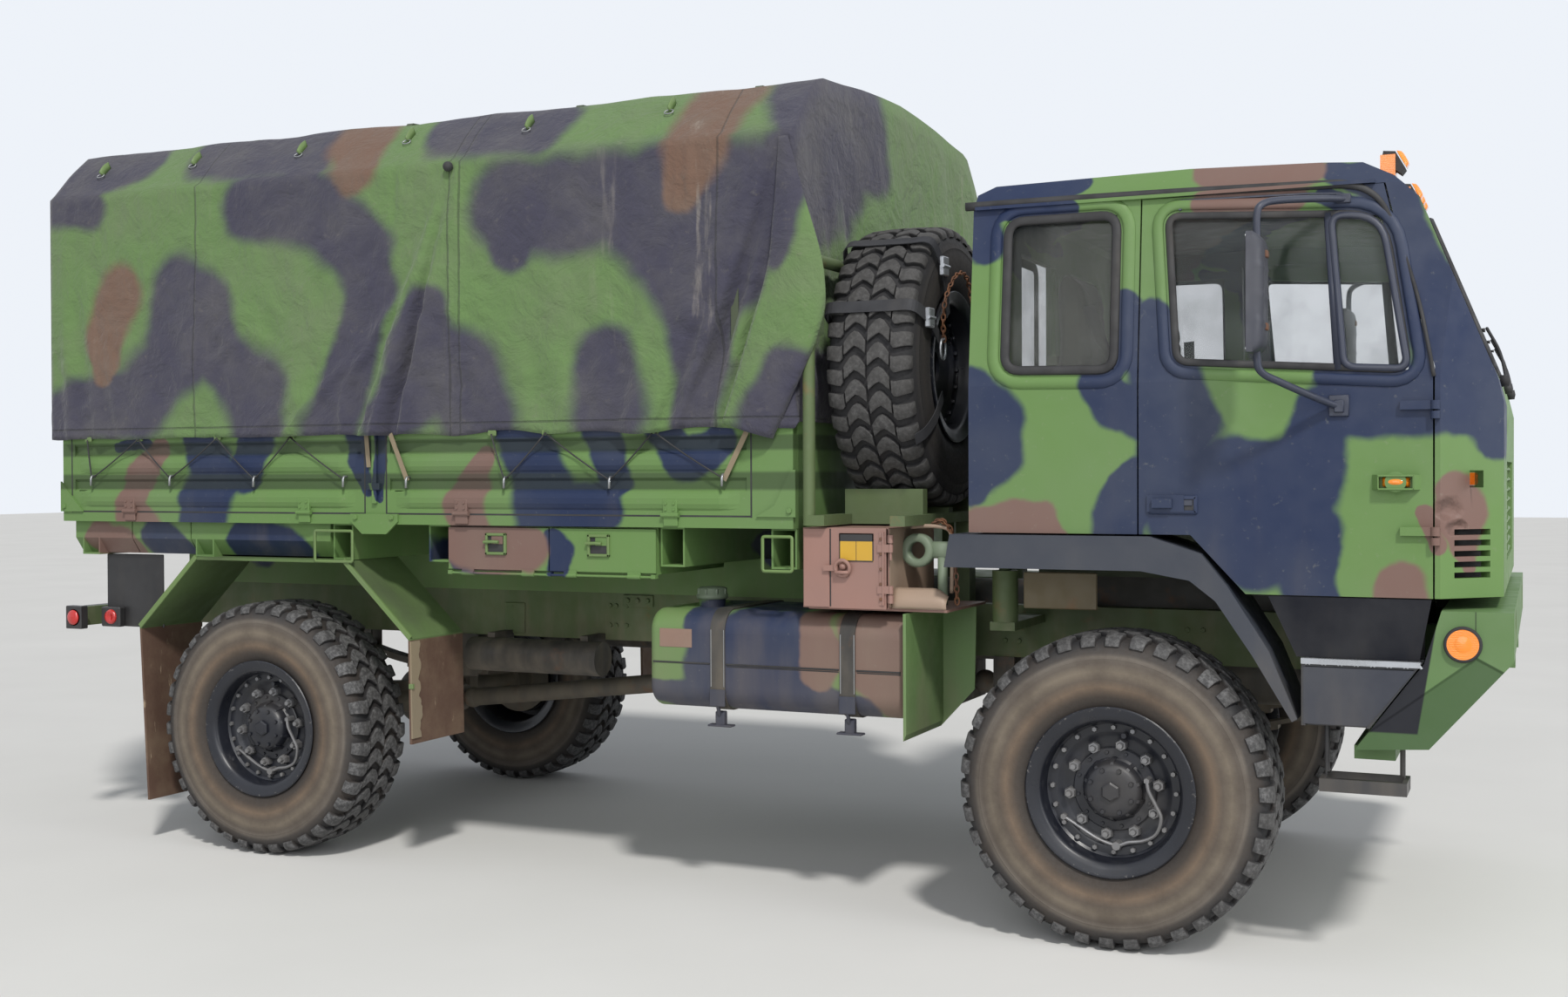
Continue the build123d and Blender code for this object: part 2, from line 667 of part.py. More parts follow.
with BuildPart() as cab_glass:
    add(glass_shell.part)
    end_profile(SCREEN, x_front + 900, front_x, Mode.INTERSECT)
    for name, side in SIDES:
        with BuildPart(mode=Mode.PRIVATE) as pane:
            add(glass_shell.part)
            grown(QUARTER_WINDOW, 0, side * (roof_half_w - 3 * cab_wall), side * cab_half_w, Mode.INTERSECT)
        add(pane.part)
    for y0, y1 in REAR_WINDOWS:
        block(back_x + 18, back_x + 18 + glass_t, y0, y1, *rear_window_z)
cab_glass.part.label = "cab_glass"
export_step(cab_glass.part, "parts/cab_glass.step")

# Arch flares under the cab's sides, ahead of the front axle
flare_y = 1219.0
flare_inner_y = 880.0
flare_t = 12.0
FLARE_OUTER = ((-592, 1498), (150, 1498), (330, 1440), (420, 1330), (560, 1110), (655, 880))
FLARE_INNER = ((637, 869), (505, 1090), (380, 1275), (290, 1345), (118, 1375), (-615, 1375))
FLARE_SKIN = ((640, 874), (547, 1102), (408, 1320), (320, 1428), (146, 1486), (-592, 1486))
with BuildPart() as flares:
    for name, side in SIDES:
        side_profile(ahead(FLARE_OUTER + FLARE_INNER), side * (flare_y - flare_t), side * flare_y)
        side_profile(ahead(FLARE_OUTER + FLARE_SKIN), side * flare_inner_y, side * (flare_y - flare_t))
        block(x_front - 500, x_front - 440, side * 900, side * 1100, 1498, cab_rear_base_z)
        block(x_front - 60, x_front, side * 900, side * 1100, 1498, cab_rear_base_z)
flares.part.label = "arch_flares"
export_step(flares.part, "parts/arch_flares.step")

# Step boxes behind the bumper's ends, with a lower hung step
step_y = (985.0, 1219.0)
step_x = (668.0, 1050.0)
step_z = (861.0, 1080.0)
with BuildPart() as steps:
    for name, side in SIDES:
        y0, y1 = side * step_y[0], side * step_y[1]
        x0, x1 = x_front + step_x[0], x_front + step_x[1]
        side_profile(((x0, step_z[0]), (x1 - 161, step_z[0]), (x1, step_z[1]), (x0, step_z[1])), y0, y1)
        block(x0 + 10, x1 - 175, side * (step_y[0] - 5), side * (step_y[1] - 28), step_z[0] + 12, step_z[1] - 12,
              Mode.SUBTRACT)
        side_profile(((x0 + 14, step_z[0] - 1), (x1 - 161 - 14, step_z[0] - 1), (x1 - 20, step_z[1] - 16),
                      (x0 + 14, step_z[1] - 16)), side * (step_y[1] - 20), side * (step_y[1] + 1), Mode.SUBTRACT)
        block(x0 + 60, x1, y0, y0 + side * 12, step_z[1], cab_base_z - 22)
        block(x0 + 150, x0 + 210, side * (rail_y), y0, 990, 1050)
        rod((x_front + 740, side * 1100, 658), (x_front + 740, side * 1100, step_z[0]), 9)
        rod((x_front + 986, side * 1100, 658), (x_front + 986, side * 1100, 793), 9)
        block(x_front + 724, x_front + 1006, side * 1030, side * 1200, 636, 680)
        block(x_front + 740, x_front + 990, side * 1045, side * 1185, 630, 690, Mode.SUBTRACT)
        rod((x_front + 740, side * 1100, 658), (x_front + 986, side * 1100, 658), 9)
steps.part.label = "steps"
export_step(steps.part, "parts/steps.step")

# Bumper: a folded plate, open to the rear, with lamp holes and tow eyes
bumper_y = 1205.0
bumper_t = 8.0
lamp_y = 860.0
lamp_r = 84.0
lamp_z = 1180.0
bumper_top_z = 1262.0
BUMPER = ((1114, bumper_top_z), (nose_ahead, bumper_top_z), (nose_ahead, 1101), (1075, 800), (839, 785), (1060, 1085))
BUMPER_ROOM = ((1040, bumper_top_z - 8), (nose_ahead - 8, bumper_top_z - 8), (nose_ahead - 8, 1104), (1071, 808),
               (862, 795), (1000, 980))
with BuildPart() as bumper:
    side_profile(ahead(BUMPER), -bumper_y, bumper_y)
    side_profile(ahead(BUMPER_ROOM), -bumper_y + bumper_t, bumper_y - bumper_t, Mode.SUBTRACT)
    for name, side in SIDES:
        with Locations(Plane(origin=(nose_x, side * lamp_y, lamp_z), z_dir=(1, 0, 0))):
            Cylinder(lamp_r - 14, 60, mode=Mode.SUBTRACT)
        block(x_front + rail_ahead, nose_x - bumper_t, side * (rail_y - 70), side * (rail_y - 8), 1000, 1150)
    block(x_front + 829, x_front + 963, -bumper_y + 100, bumper_y - 100, 740, 786)
    block(x_front + 800, x_front + rail_ahead, -rail_y - 12, rail_y + 12, rail_base_z - 60, rail_top_z + 20,
          Mode.SUBTRACT)
    for name, side in SIDES:
        y = side * tilt_y
        pivot = x_front + tilt_ahead
        rod((pivot, y - 50, tilt_z), (pivot, y + 50, tilt_z), tilt_pin_r)
        for cheek in (-1, 1):
            y0 = y + cheek * 34
            rod((pivot, y0, tilt_z), (pivot, y0 + cheek * 16, tilt_z), tilt_eye_r)
            block(pivot - tilt_eye_r, pivot + tilt_eye_r, y0, y0 + cheek * 16, bumper_top_z, tilt_z)
bumper.part.label = "front_bumper"
export_step(bumper.part, "parts/front_bumper.step")

# Lamps at the front: headlamps in the bumper, amber lamps at its ends and on the cab
with BuildPart() as front_lamps:
    for name, side in SIDES:
        with Locations(Plane(origin=(nose_x - 30, side * lamp_y, lamp_z), z_dir=(1, 0, 0))):
            Cylinder(lamp_r - 14 - fit_gap, 44)
        rod((x_front + 1180, side * bumper_y, 1154), (x_front + 1180, side * (bumper_y + 14), 1154), 50)
front_lamps.part.label = "bumper_lamps"
export_step(front_lamps.part, "parts/bumper_lamps.step")

marker_y = (-900.0, -160.0, 0.0, 160.0, 900.0)
with BuildPart() as cab_lamps:
    for y in marker_y:
        block(x_front + 900, x_front + 950, y - 45, y + 45, roof_z - 60, roof_z + 14)
    add(cab_outside.part, mode=Mode.SUBTRACT)
cab_lamps.part.label = "cab_lamps"
export_step(cab_lamps.part, "parts/cab_lamps.step")

# Mirrors on a tube loop that stands out from each door
mirror_y = 1500.0
loop_x = 556.0
loop_r = 13.0
for name, side in SIDES:
    head = side * (mirror_y - 60)
    top = (x_front + 800, side * (cab_half_w - 52), 2640)
    low = (x_front + 786, side * cab_half_w, 1950)
    with BuildPart() as mirror:
        rod((x_front + loop_x, head, 2080), (x_front + loop_x, head, 2580), loop_r)
        rod(low, (x_front + loop_x, head, 2080), loop_r)
        rod(top, (x_front + loop_x, head, 2580), loop_r)
        with Locations((x_front + loop_x, head, 2080), (x_front + loop_x, head, 2580)):
            Sphere(loop_r)
        block(x_front + loop_x - 24, x_front + loop_x + 34, head - side * 92, head + side * 100, 2115, 2515)
        block(x_front + 756, x_front + 816, side * cab_half_w, side * (cab_half_w + 8), 1915, 1985)
        add(cab_outside.part, mode=Mode.SUBTRACT)
    mirror.part.label = f"mirror_{name}"
    export_step(mirror.part, f"parts/mirror_{name}.step")

# Inside the cab: two seats, the dashboard and the steering column
seat_y = 760.0
floor_z = cab_rear_base_z + cab_wall
with BuildPart() as seat_frames:
    for name, side in SIDES:
        y = side * seat_y
        block(x_front - 260, x_front + 120, y - 180, y + 180, floor_z, floor_z + 230)
        block(x_front - 300, x_front - 262, y - 160, y + 160, floor_z, floor_z + 620)
seat_frames.part.label = "seat_frames"
export_step(seat_frames.part, "parts/seat_frames.step")

with BuildPart() as seats:
    for name, side in SIDES:
        y = side * seat_y
        block(x_front - 250, x_front + 230, y - 235, y + 235, floor_z + 230, floor_z + 350)
        side_profile(ahead(((-262 + fit_gap, floor_z + 350 + fit_gap), (-130, floor_z + 350 + fit_gap),
                            (-195, floor_z + 960), (-262 + fit_gap, floor_z + 960))), y - 225, y + 225)
seats.part.label = "seats"
export_step(seats.part, "parts/seats.step")

with BuildPart() as dashboard:
    side_profile(ahead(((1020, 1800), (1256, 1700), (1256, 1990), (1225, 2070), (1080, 2070), (1000, 1960))),
                 -1080, 1080)
    rod((x_front + 1120, 640, 1830), (x_front + 872, 640, 1960), 30)
    rod((x_front + 1120, 640, 1830), (x_front + 1150, 640, cab_base_z + cab_wall + 20), 26)
    add(cab_inside.part, mode=Mode.INTERSECT)
dashboard.part.label = "dashboard"
export_step(dashboard.part, "parts/dashboard.step")

wheel_tilt = Vector(x_front + 872, 640, 1960) - Vector(x_front + 1120, 640, 1830)
wheel_plane = Plane(origin=(x_front + 872, 640, 1960), z_dir=wheel_tilt)
with BuildPart() as steering_wheel:
    with Locations(wheel_plane.offset(46)):
        Torus(225, 15)
        with PolarLocations(0, 3):
            Box(225, 32, 12, align=(Align.MIN, Align.CENTER, Align.CENTER))
    with Locations(wheel_plane.offset(fit_gap)):
        Cylinder(44, 60, align=(Align.CENTER, Align.CENTER, Align.MIN))
steering_wheel.part.label = "steering_wheel"
export_step(steering_wheel.part, "parts/steering_wheel.step")

# Spare wheel upright behind the cab, its axis along the truck
spare_centre = (x_front - 948, -585.0, 2160.0)
carrier_y = (-1160.0, 20.0)


def spare_turned(outline, mode=Mode.ADD):
    """Ring about the spare wheel's axis, outboard side forward."""
    plane = Plane(origin=spare_centre, x_dir=(1, 0, 0), z_dir=(0, 1, 0))
    with BuildSketch(plane) as section:
        with BuildLine():
            Polyline(*outline, close=True)
        make_face()
    revolve(section.sketch, axis=Axis(spare_centre, (1, 0, 0)), mode=mode)


with BuildPart() as spare_tyre:
    spare_turned([(w, -r) for w, r in both_halves(TYRE_HALF)])
    spare_turned([(w, -r) for w, r in both_halves(AIR_HALF)], Mode.SUBTRACT)
    cut_lugs(Plane(origin=spare_centre, x_dir=(0, 0, 1), z_dir=(1, 0, 0)))
spare_tyre.part.label = "spare_tyre"
export_step(spare_tyre.part, "parts/spare_tyre.step")

with BuildPart() as spare_rim:
    spare_turned([(w, -r) for w, r in rim_outline(spindle_r + 60)])
spare_rim.part.label = "spare_rim"
export_step(spare_rim.part, "parts/spare_rim.step")

# Carrier: two beams on legs from the rails, pads under the tyre and a tube hoop behind it
beam_z = (1524.0, 1564.0)
beam_ahead = (-1130.0, -800.0)
hoop_x = x_front - 1172
hoop_r = 24.0
hoop_z = 2560.0
hoop_y = (-1190.0, 20.0)
with BuildPart() as spare_carrier:
    for ahead_x in beam_ahead:
        x = x_front + ahead_x
        block(x - 30, x + 30, hoop_y[0] - hoop_r, rail_y, *beam_z)
        for side in (-1, 1):
            y = side * (rail_y - rail_flange / 2)
            block(x - 30, x + 30, y - 40, y + 40, rail_top_z, beam_z[0])
    for offset_y in (-315, 0, 315):
        y = spare_centre[1] + offset_y
        near = max(abs(offset_y) - 25, 0)
        top = spare_centre[2] - (tyre_r ** 2 - near ** 2) ** 0.5 - fit_gap
        block(x_front + beam_ahead[0], x_front + beam_ahead[1], y - 25, y + 25, beam_z[0], top)
    for y in hoop_y:
        rod((hoop_x, y, beam_z[0]), (hoop_x, y, hoop_z), hoop_r)
        block(hoop_x, x_front + beam_ahead[0], y - hoop_r, y + hoop_r, *beam_z)
        with Locations((hoop_x, y, hoop_z)):
            Sphere(hoop_r)
    rod((hoop_x, hoop_y[0], hoop_z), (hoop_x, hoop_y[1], hoop_z), hoop_r)
spare_carrier.part.label = "spare_carrier"
export_step(spare_carrier.part, "parts/spare_carrier.step")

# Fuel tank on the right: rounded box on two brackets with straps
tank_x = (x_front - 1917, x_front - 800)
tank_y = (-1130.0, -500.0)
tank_z = (775.0, 1175.0)
strap_ahead = (-1600.0, -1038.0)
with BuildPart() as fuel_tank:
    block(*tank_x, *tank_y, *tank_z)
    fillet(fuel_tank.edges().filter_by(Axis.X), 90)
    fillet(fuel_tank.faces().filter_by(Axis.X).edges(), 35)
    rod((x_front - 1740, -900, tank_z[1] - 5), (x_front - 1740, -900, tank_z[1] + 60), 55)
fuel_tank.part.label = "fuel_tank"
export_step(fuel_tank.part, "parts/fuel_tank.step")

strap_t = 6.0
with BuildPart() as tank_straps:
    for ahead_x in strap_ahead:
        x = x_front + ahead_x
        with BuildSketch(Plane.YZ.offset(x - 32)) as band:
            with Locations(((tank_y[0] + tank_y[1]) / 2, (tank_z[0] + tank_z[1]) / 2)):
                width = tank_y[1] - tank_y[0]
                height = tank_z[1] - tank_z[0]
                RectangleRounded(width + 2 * strap_t + 0.6, height + 2 * strap_t + 0.6, 90 + strap_t + fit_gap)
                RectangleRounded(width + 0.6, height + 0.6, 90 + fit_gap, mode=Mode.SUBTRACT)
        extrude(band.sketch, amount=64)
        block(x - 32, x + 32, tank_y[1] + strap_t + fit_gap, -rail_y, tank_z[0] + 100, rail_top_z - 20)
tank_straps.part.label = "tank_straps"
export_step(tank_straps.part, "parts/tank_straps.step")

# Equipment box ahead of the tank's top, with a curved tray below it and a side door
box_x = (x_front - 1205, x_front - 855)
box_y = (-1160.0, -640.0)
box_z = (1206.0, 1516.0)
box_t = 4.0
with BuildPart() as equipment_box:
    block(*box_x, *box_y, *box_z)
    block(box_x[0] + box_t, box_x[1] - box_t, box_y[0] - 10, box_y[1] - box_t, box_z[0] + box_t, box_z[1] - box_t,
          Mode.SUBTRACT)
    block(box_x[0], box_x[1] + 220, box_y[0] + 40, box_y[1], box_z[0] - 10, box_z[0])
    block(box_x[0] + 120, box_x[1] - 60, box_y[1], -rail_y + 60, box_z[0] - 10, box_z[0])
    block(box_x[0] + 120, box_x[1] - 60, -rail_y, -rail_y + 60, rail_top_z, box_z[0] - 10)
    for z, pin_up in ((1230, 66), (1460, -66)):
        rod((box_x[1] + 12, box_y[0] - 12, z), (box_x[1] + 12, box_y[0] - 12, z + 30), 10)
        rod((box_x[1] + 12, box_y[0] - 12, z), (box_x[1] + 12, box_y[0] - 12, z + pin_up), 5)
        block(box_x[1] - 4, box_x[1] + 12, box_y[0] - 6, box_y[0] + 20, z, z + 30)
equipment_box.part.label = "equipment_box"
export_step(equipment_box.part, "parts/equipment_box.step")

with BuildPart() as equipment_door:
    block(box_x[0], box_x[1] - 6, box_y[0] - 14, box_y[0] - 6, *box_z)
    for z in (1266, 1424):
        rod((box_x[1] + 12, box_y[0] - 12, z), (box_x[1] + 12, box_y[0] - 12, z + 30), 10)
        block(box_x[1] - 40, box_x[1] + 12, box_y[0] - 20, box_y[0] - 14, z, z + 30)
        rod((box_x[1] + 12, box_y[0] - 12, z - 1), (box_x[1] + 12, box_y[0] - 12, z + 31), 5 + running_fit,
            Mode.SUBTRACT)
    block(box_x[0] + 90, box_x[0] + 150, box_y[0] - 32, box_y[0] - 14, 1350, 1372)
equipment_door.part.label = "equipment_door"
export_step(equipment_door.part, "parts/equipment_door.step")

# Battery box on the left, and air tanks inside the frame's right side
with BuildPart() as battery_box:
    block(x_front - 1500, x_front - 820, 520, 1120, 880, 1230)
    fillet(battery_box.edges().filter_by(Axis.X), 20)
    for ahead_x in (-1400, -940):
        block(x_front + ahead_x, x_front + ahead_x + 60, rail_y, 520, 1000, 1150)
battery_box.part.label = "battery_box"
export_step(battery_box.part, "parts/battery_box.step")

with BuildPart() as air_tanks:
    for name, side in SIDES:
        rod((x_front - 3150, side * 590, 890), (x_front - 2450, side * 590, 890), 78)
        for ahead_x in (-3050, -2550):
            block(x_front + ahead_x - 20, x_front + ahead_x + 20, side * rail_y, side * 590, 940, 990)
air_tanks.part.label = "air_tanks"
export_step(air_tanks.part, "parts/air_tanks.step")

# Cargo bed: sills on the rails, cross sills, deck, edge rails, posts and headboard
sill_ahead = (-1295.0, -1790.0, -2930.0, -3448.0, -4250.0, -4960.0)
mid_post_ahead = -3238.0
# Lockers under the deck behind the wheels: section as (distance out, height), and where each runs along
SKIRT = ((1155.0, deck_z - deck_t), (1155.0, 1430.0), (1105.0, 1358.0), (1040.0, 1358.0), (1040.0, deck_z - deck_t))
SKIRT_RUNS = ((-5060.0, -4700.0), (-4694.0, -4336.0), (-4330.0, -3520.0))
with BuildPart() as bed_frame:
    for name, side in SIDES:
        y = side * (rail_y - rail_flange / 2)
        block(bed_rear_x + 60, bed_front_x - 20, y - 40, y + 40, rail_top_z, sill_z)
    for ahead_x in sill_ahead:
        x = x_front + ahead_x
        block(x - 55, x + 55, -bed_half_w + 40, bed_half_w - 40, sill_z, deck_z - deck_t)
        block(x - 47, x + 47, -bed_half_w, bed_half_w, sill_z + 8, deck_z - deck_t - 8, Mode.SUBTRACT)
    for name, side in SIDES:
        for x0, x1 in SKIRT_RUNS:
            end_profile([(side * y, z) for y, z in SKIRT], x_front + x0, x_front + x1)
bed_frame.part.label = "bed_frame"
export_step(bed_frame.part, "parts/bed_frame.step")

board_y = bed_half_w - board_t
gate_x = bed_rear_x
gate_pin_z = 1552.0
gate_hinge_y = (-800.0, 0.0, 800.0)
with BuildPart() as cargo_bed:
    block(bed_rear_x, bed_front_x, -bed_half_w, bed_half_w, deck_z - deck_t, deck_z)
    block(bed_front_x - 30, bed_front_x, -board_y, board_y, deck_z, deck_z + 520)
    block(bed_rear_x + post_w + 20, bed_front_x - 50, -board_y + bow_t + 30, board_y - bow_t - 30, deck_z,
          deck_z + deck_plate_t)
    for name, side in SIDES:
        outer = side * bed_half_w
        for x0, x1 in (
            (bed_rear_x, bed_rear_x + post_w),
            (x_front + mid_post_ahead - post_w, x_front + mid_post_ahead + post_w),
            (bed_front_x - 180, bed_front_x),
        ):
            block(x0, x1, outer, side * board_y, deck_z, deck_z + board_h)
        block(bed_rear_x, bed_rear_x + post_w, outer, side * 1062, deck_z, deck_z + board_h)
    for y in gate_hinge_y:
        for end in (-1, 1):
            y0 = y + end * 46
            rod((gate_x - 20, y0, gate_pin_z), (gate_x - 20, y0 + end * 30, gate_pin_z), 13)
            block(gate_x - 33, gate_x, y0, y0 + end * 30, deck_z - deck_t, gate_pin_z - 4)
        rod((gate_x - 20, y - 60, gate_pin_z), (gate_x - 20, y + 60, gate_pin_z), 7)
cargo_bed.part.label = "cargo_bed"
export_step(cargo_bed.part, "parts/cargo_bed.step")

# Side boards with two pressed ribs, two to a side, on hinges at the deck's edge
rib_z = ((1570.0, 1640.0), (1738.0, 1804.0))
board_runs = (
    (bed_rear_x + post_w, x_front + mid_post_ahead - post_w),
    (x_front + mid_post_ahead + post_w, bed_front_x - 180),
)
with BuildPart() as side_boards:
    for name, side in SIDES:
        for x0, x1 in board_runs:
            block(x0, x1, side * board_y, side * bed_half_w, deck_z, deck_z + board_h)
            for z0, z1 in rib_z:
                end_profile(((side * (bed_half_w + 1), z1 + 12), (side * (bed_half_w - 10), z1 + 24),
                             (side * (bed_half_w - 10), z1 + 60), (side * (bed_half_w + 1), z1 + 72)), x0 + 20,
                            x1 - 20, Mode.SUBTRACT)
side_boards.part.label = "side_boards"
export_step(side_boards.part, "parts/side_boards.step")

# Tailgate between the rear posts, hinged at its foot
gate_y = 1054.0
gate_z = (1572.0, 2030.0)
gate_notch_z = 1604.0
with BuildPart() as tailgate:
    block(gate_x - 34, gate_x - 6, -gate_y, gate_y, *gate_z)
    for z in (1640.0, 1800.0, 1950.0):
        block(gate_x - 36, gate_x - 28, -gate_y + 40, gate_y - 40, z, z + 60, Mode.SUBTRACT)
    for y in gate_hinge_y:
        rod((gate_x - 20, y - 40, gate_pin_z), (gate_x - 20, y + 40, gate_pin_z), 13)
        block(gate_x - 33, gate_x - 7, y - 40, y + 40, gate_pin_z, gate_z[0])
        rod((gate_x - 20, y - 41, gate_pin_z), (gate_x - 20, y + 41, gate_pin_z), 7 + running_fit, Mode.SUBTRACT)
        for end in (-1, 1):
            block(gate_x - 36, gate_x - 4, y + end * 40, y + end * 82, gate_z[0] - 1, gate_notch_z, Mode.SUBTRACT)
tailgate.part.label = "tailgate"
export_step(tailgate.part, "parts/tailgate.step")

# Stowage box under the bed with two drop doors
stow_x = (x_front - 2865, x_front - 1854)
stow_z = (1317.0, 1507.0)
stow_y = (-1165.0, -560.0)
stow_pin = (stow_y[0] - 16, stow_z[0] - 10)
with BuildPart() as stowage_box:
    block(*stow_x, *stow_y, *stow_z)
    mid = (stow_x[0] + stow_x[1]) / 2
    for x0, x1 in ((stow_x[0] + 4, mid - 6), (mid + 6, stow_x[1] - 4)):
        block(x0, x1, stow_y[0] - 10, stow_y[1] - 4, stow_z[0] + 4, stow_z[1] - 4, Mode.SUBTRACT)
    for x0 in (stow_x[0] + 120, stow_x[1] - 180):
        block(x0, x0 + 60, stow_y[1], -rail_y, stow_z[0], sill_z)
    rod((stow_x[0], *stow_pin), (stow_x[1], *stow_pin), 5)
    for x in (stow_x[0], mid - 10, stow_x[1] - 20):
        block(x, x + 20, stow_pin[0] - 6, stow_y[0] + 4, stow_pin[1] - 6, stow_z[0])
stowage_box.part.label = "stowage_box"
export_step(stowage_box.part, "parts/stowage_box.step")

for name, x0, x1 in (("rear", stow_x[0], mid - 3), ("front", mid + 3, stow_x[1])):
    with BuildPart() as stow_door:
        block(x0, x1, stow_y[0] - 16, stow_y[0] - 8, stow_z[0] + 6, stow_z[1] - clearance)
        block((x0 + x1) / 2 - 28, (x0 + x1) / 2 + 28, stow_y[0] - 22, stow_y[0] - 16, 1432, 1480)
        for x in (x0 + 70, x1 - 130):
            rod((x, *stow_pin), (x + 60, *stow_pin), 9)
            block(x, x + 60, stow_pin[0] - 3, stow_pin[0] + 3, stow_pin[1], stow_z[0] + 10)
            rod((x - 1, *stow_pin), (x + 61, *stow_pin), 5 + running_fit, Mode.SUBTRACT)
    stow_door.part.label = f"stowage_door_{name}"
    export_step(stow_door.part, f"parts/stowage_door_{name}.step")

# Cover bows and the cover itself, open below
COVER_OUTER = (
    (-bed_half_w - cover_t - fit_gap, cover_hem_z), (-bed_half_w - cover_t - fit_gap, crease_z),
    (-shoulder_y, shoulder_z), (0, ridge_z), (shoulder_y, shoulder_z),
    (bed_half_w + cover_t + fit_gap, crease_z), (bed_half_w + cover_t + fit_gap, cover_hem_z),
)
cover_front_x = bed_front_x + cover_t + fit_gap
with BuildPart() as cargo_cover:
    end_profile(COVER_OUTER, tail_x, cover_front_x)
    with BuildSketch(Plane.YZ.offset(tail_x + cover_t)) as room:
        with BuildLine():
            Polyline(*COVER_OUTER, close=True)
        make_face()
        offset(amount=-cover_t, kind=Kind.INTERSECTION)
        with Locations((0, cover_hem_z + 40)):
            Rectangle(2 * (bed_half_w + fit_gap), 160)
    extrude(room.sketch, amount=cover_front_x - tail_x - 2 * cover_t, mode=Mode.SUBTRACT)
    block(tail_x - 10, tail_x + cover_t + 10, -bed_half_w + 140, bed_half_w - 140, cover_hem_z - 10, gate_z[1] + 25,
          Mode.SUBTRACT)
cargo_cover.part.label = "cargo_cover"
export_step(cargo_cover.part, "parts/cargo_cover.step")

bow_ahead = (-1500.0, -2350.0, -3238.0, -4120.0, -4985.0)
bow_foot_y = board_y - fit_gap
BOW = ((-bow_foot_y, deck_z), (-bow_foot_y, crease_z - 10), (-shoulder_y + 18, shoulder_z - cover_t - 8),
       (0, ridge_z - cover_t - fit_gap), (shoulder_y - 18, shoulder_z - cover_t - 8), (bow_foot_y, crease_z - 10),
       (bow_foot_y, deck_z))
with BuildPart() as cover_bows:
    for ahead_x in bow_ahead:
        x = x_front + ahead_x
        with BuildSketch(Plane.YZ.offset(x - bow_t / 2)) as bow:
            with BuildLine():
                Polyline(*BOW, close=True)
            make_face()
            offset(amount=-bow_t, kind=Kind.INTERSECTION, mode=Mode.SUBTRACT)
            with Locations((0, deck_z)):
                Rectangle(2 * (bow_foot_y - bow_t), 4 * bow_t, mode=Mode.SUBTRACT)
        extrude(bow.sketch, amount=bow_t)
cover_bows.part.label = "cover_bows"
export_step(cover_bows.part, "parts/cover_bows.step")

# Mudguards over the rear wheels, tail lamps and towing gear
with BuildPart() as mudguards:
    for name, side in SIDES:
        y0, y1 = side * 830, side * 1215
        side_profile(ahead(((-4250, sill_z), (-4238, sill_z), (-4238, 1345), (-4583, 1012), (-4540, 206), (-4552, 206),
                            (-4595, 1016), (-4250, 1350))), y0, y1)
        side_profile(ahead(((-3400, sill_z), (-3412, sill_z), (-3412, 1345), (-3055, 1012), (-3049, 560),
                            (-3037, 560), (-3043, 1016), (-3400, 1350))), y0, y1)
        block(x_front - 4250, x_front - 3400, y0, y1, sill_z - 12, sill_z)
mudguards.part.label = "rear_mudguards"
export_step(mudguards.part, "parts/rear_mudguards.step")

tow_hole_r = 20.0
with BuildPart() as rear_hitch:
    block(bed_rear_x + 20, x_front - rail_behind, -rail_y, rail_y, rail_base_z, rail_top_z)
    rod((bed_rear_x + 20, 0, 1070), (bed_rear_x - 20, 0, 1070), 45)
    with Locations((bed_rear_x - 20, 0, 1070)):
        Sphere(45)
    for name, side in SIDES:
        block(bed_rear_x + 20, x_front - rail_behind, side * rail_y, side * 1180, 1000, 1090)
        block(bed_rear_x - 60, bed_rear_x + 20, side * 300, side * 330, 924, 1090)
        rod((bed_rear_x - 20, side * 290, 966), (bed_rear_x - 20, side * 340, 966), tow_hole_r, Mode.SUBTRACT)
rear_hitch.part.label = "rear_hitch"
export_step(rear_hitch.part, "parts/rear_hitch.step")

with BuildPart() as tail_lamps:
    for name, side in SIDES:
        block(bed_rear_x - 30, bed_rear_x + 20, side * 760, side * 1130, 1000, 1090)
        rod((bed_rear_x + 60, side * 1180, 1045), (bed_rear_x + 60, side * 1196, 1045), 40)
tail_lamps.part.label = "tail_lamps"
export_step(tail_lamps.part, "parts/tail_lamps.step")
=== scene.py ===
from math import atan2, cos, pi, radians, sin

import bmesh
import bpy
import numpy as np
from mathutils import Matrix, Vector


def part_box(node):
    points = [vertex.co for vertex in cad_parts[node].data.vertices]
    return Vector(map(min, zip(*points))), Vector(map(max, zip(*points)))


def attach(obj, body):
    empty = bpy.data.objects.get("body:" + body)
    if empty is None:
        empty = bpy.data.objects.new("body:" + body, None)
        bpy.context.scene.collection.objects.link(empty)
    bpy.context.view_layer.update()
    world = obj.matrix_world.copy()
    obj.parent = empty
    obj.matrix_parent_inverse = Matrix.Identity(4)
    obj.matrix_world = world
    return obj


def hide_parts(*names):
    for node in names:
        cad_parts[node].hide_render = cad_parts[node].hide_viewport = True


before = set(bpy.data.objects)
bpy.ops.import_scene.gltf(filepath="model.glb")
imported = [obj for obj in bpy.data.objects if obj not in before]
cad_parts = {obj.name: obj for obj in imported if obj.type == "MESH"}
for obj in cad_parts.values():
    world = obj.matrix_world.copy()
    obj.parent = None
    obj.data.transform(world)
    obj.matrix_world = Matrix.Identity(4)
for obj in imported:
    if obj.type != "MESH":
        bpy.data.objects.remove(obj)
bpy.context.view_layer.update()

# Sizes that the pieces share with the truck's solids, in metres
AXLES = (("front", 1.915), ("rear", -1.985))
TRACK_Y, WHEEL_Z = 1.025, 0.575
SPARE = np.array((0.967, -0.585, 2.16))
SIDES = (("right", -1), ("left", 1))


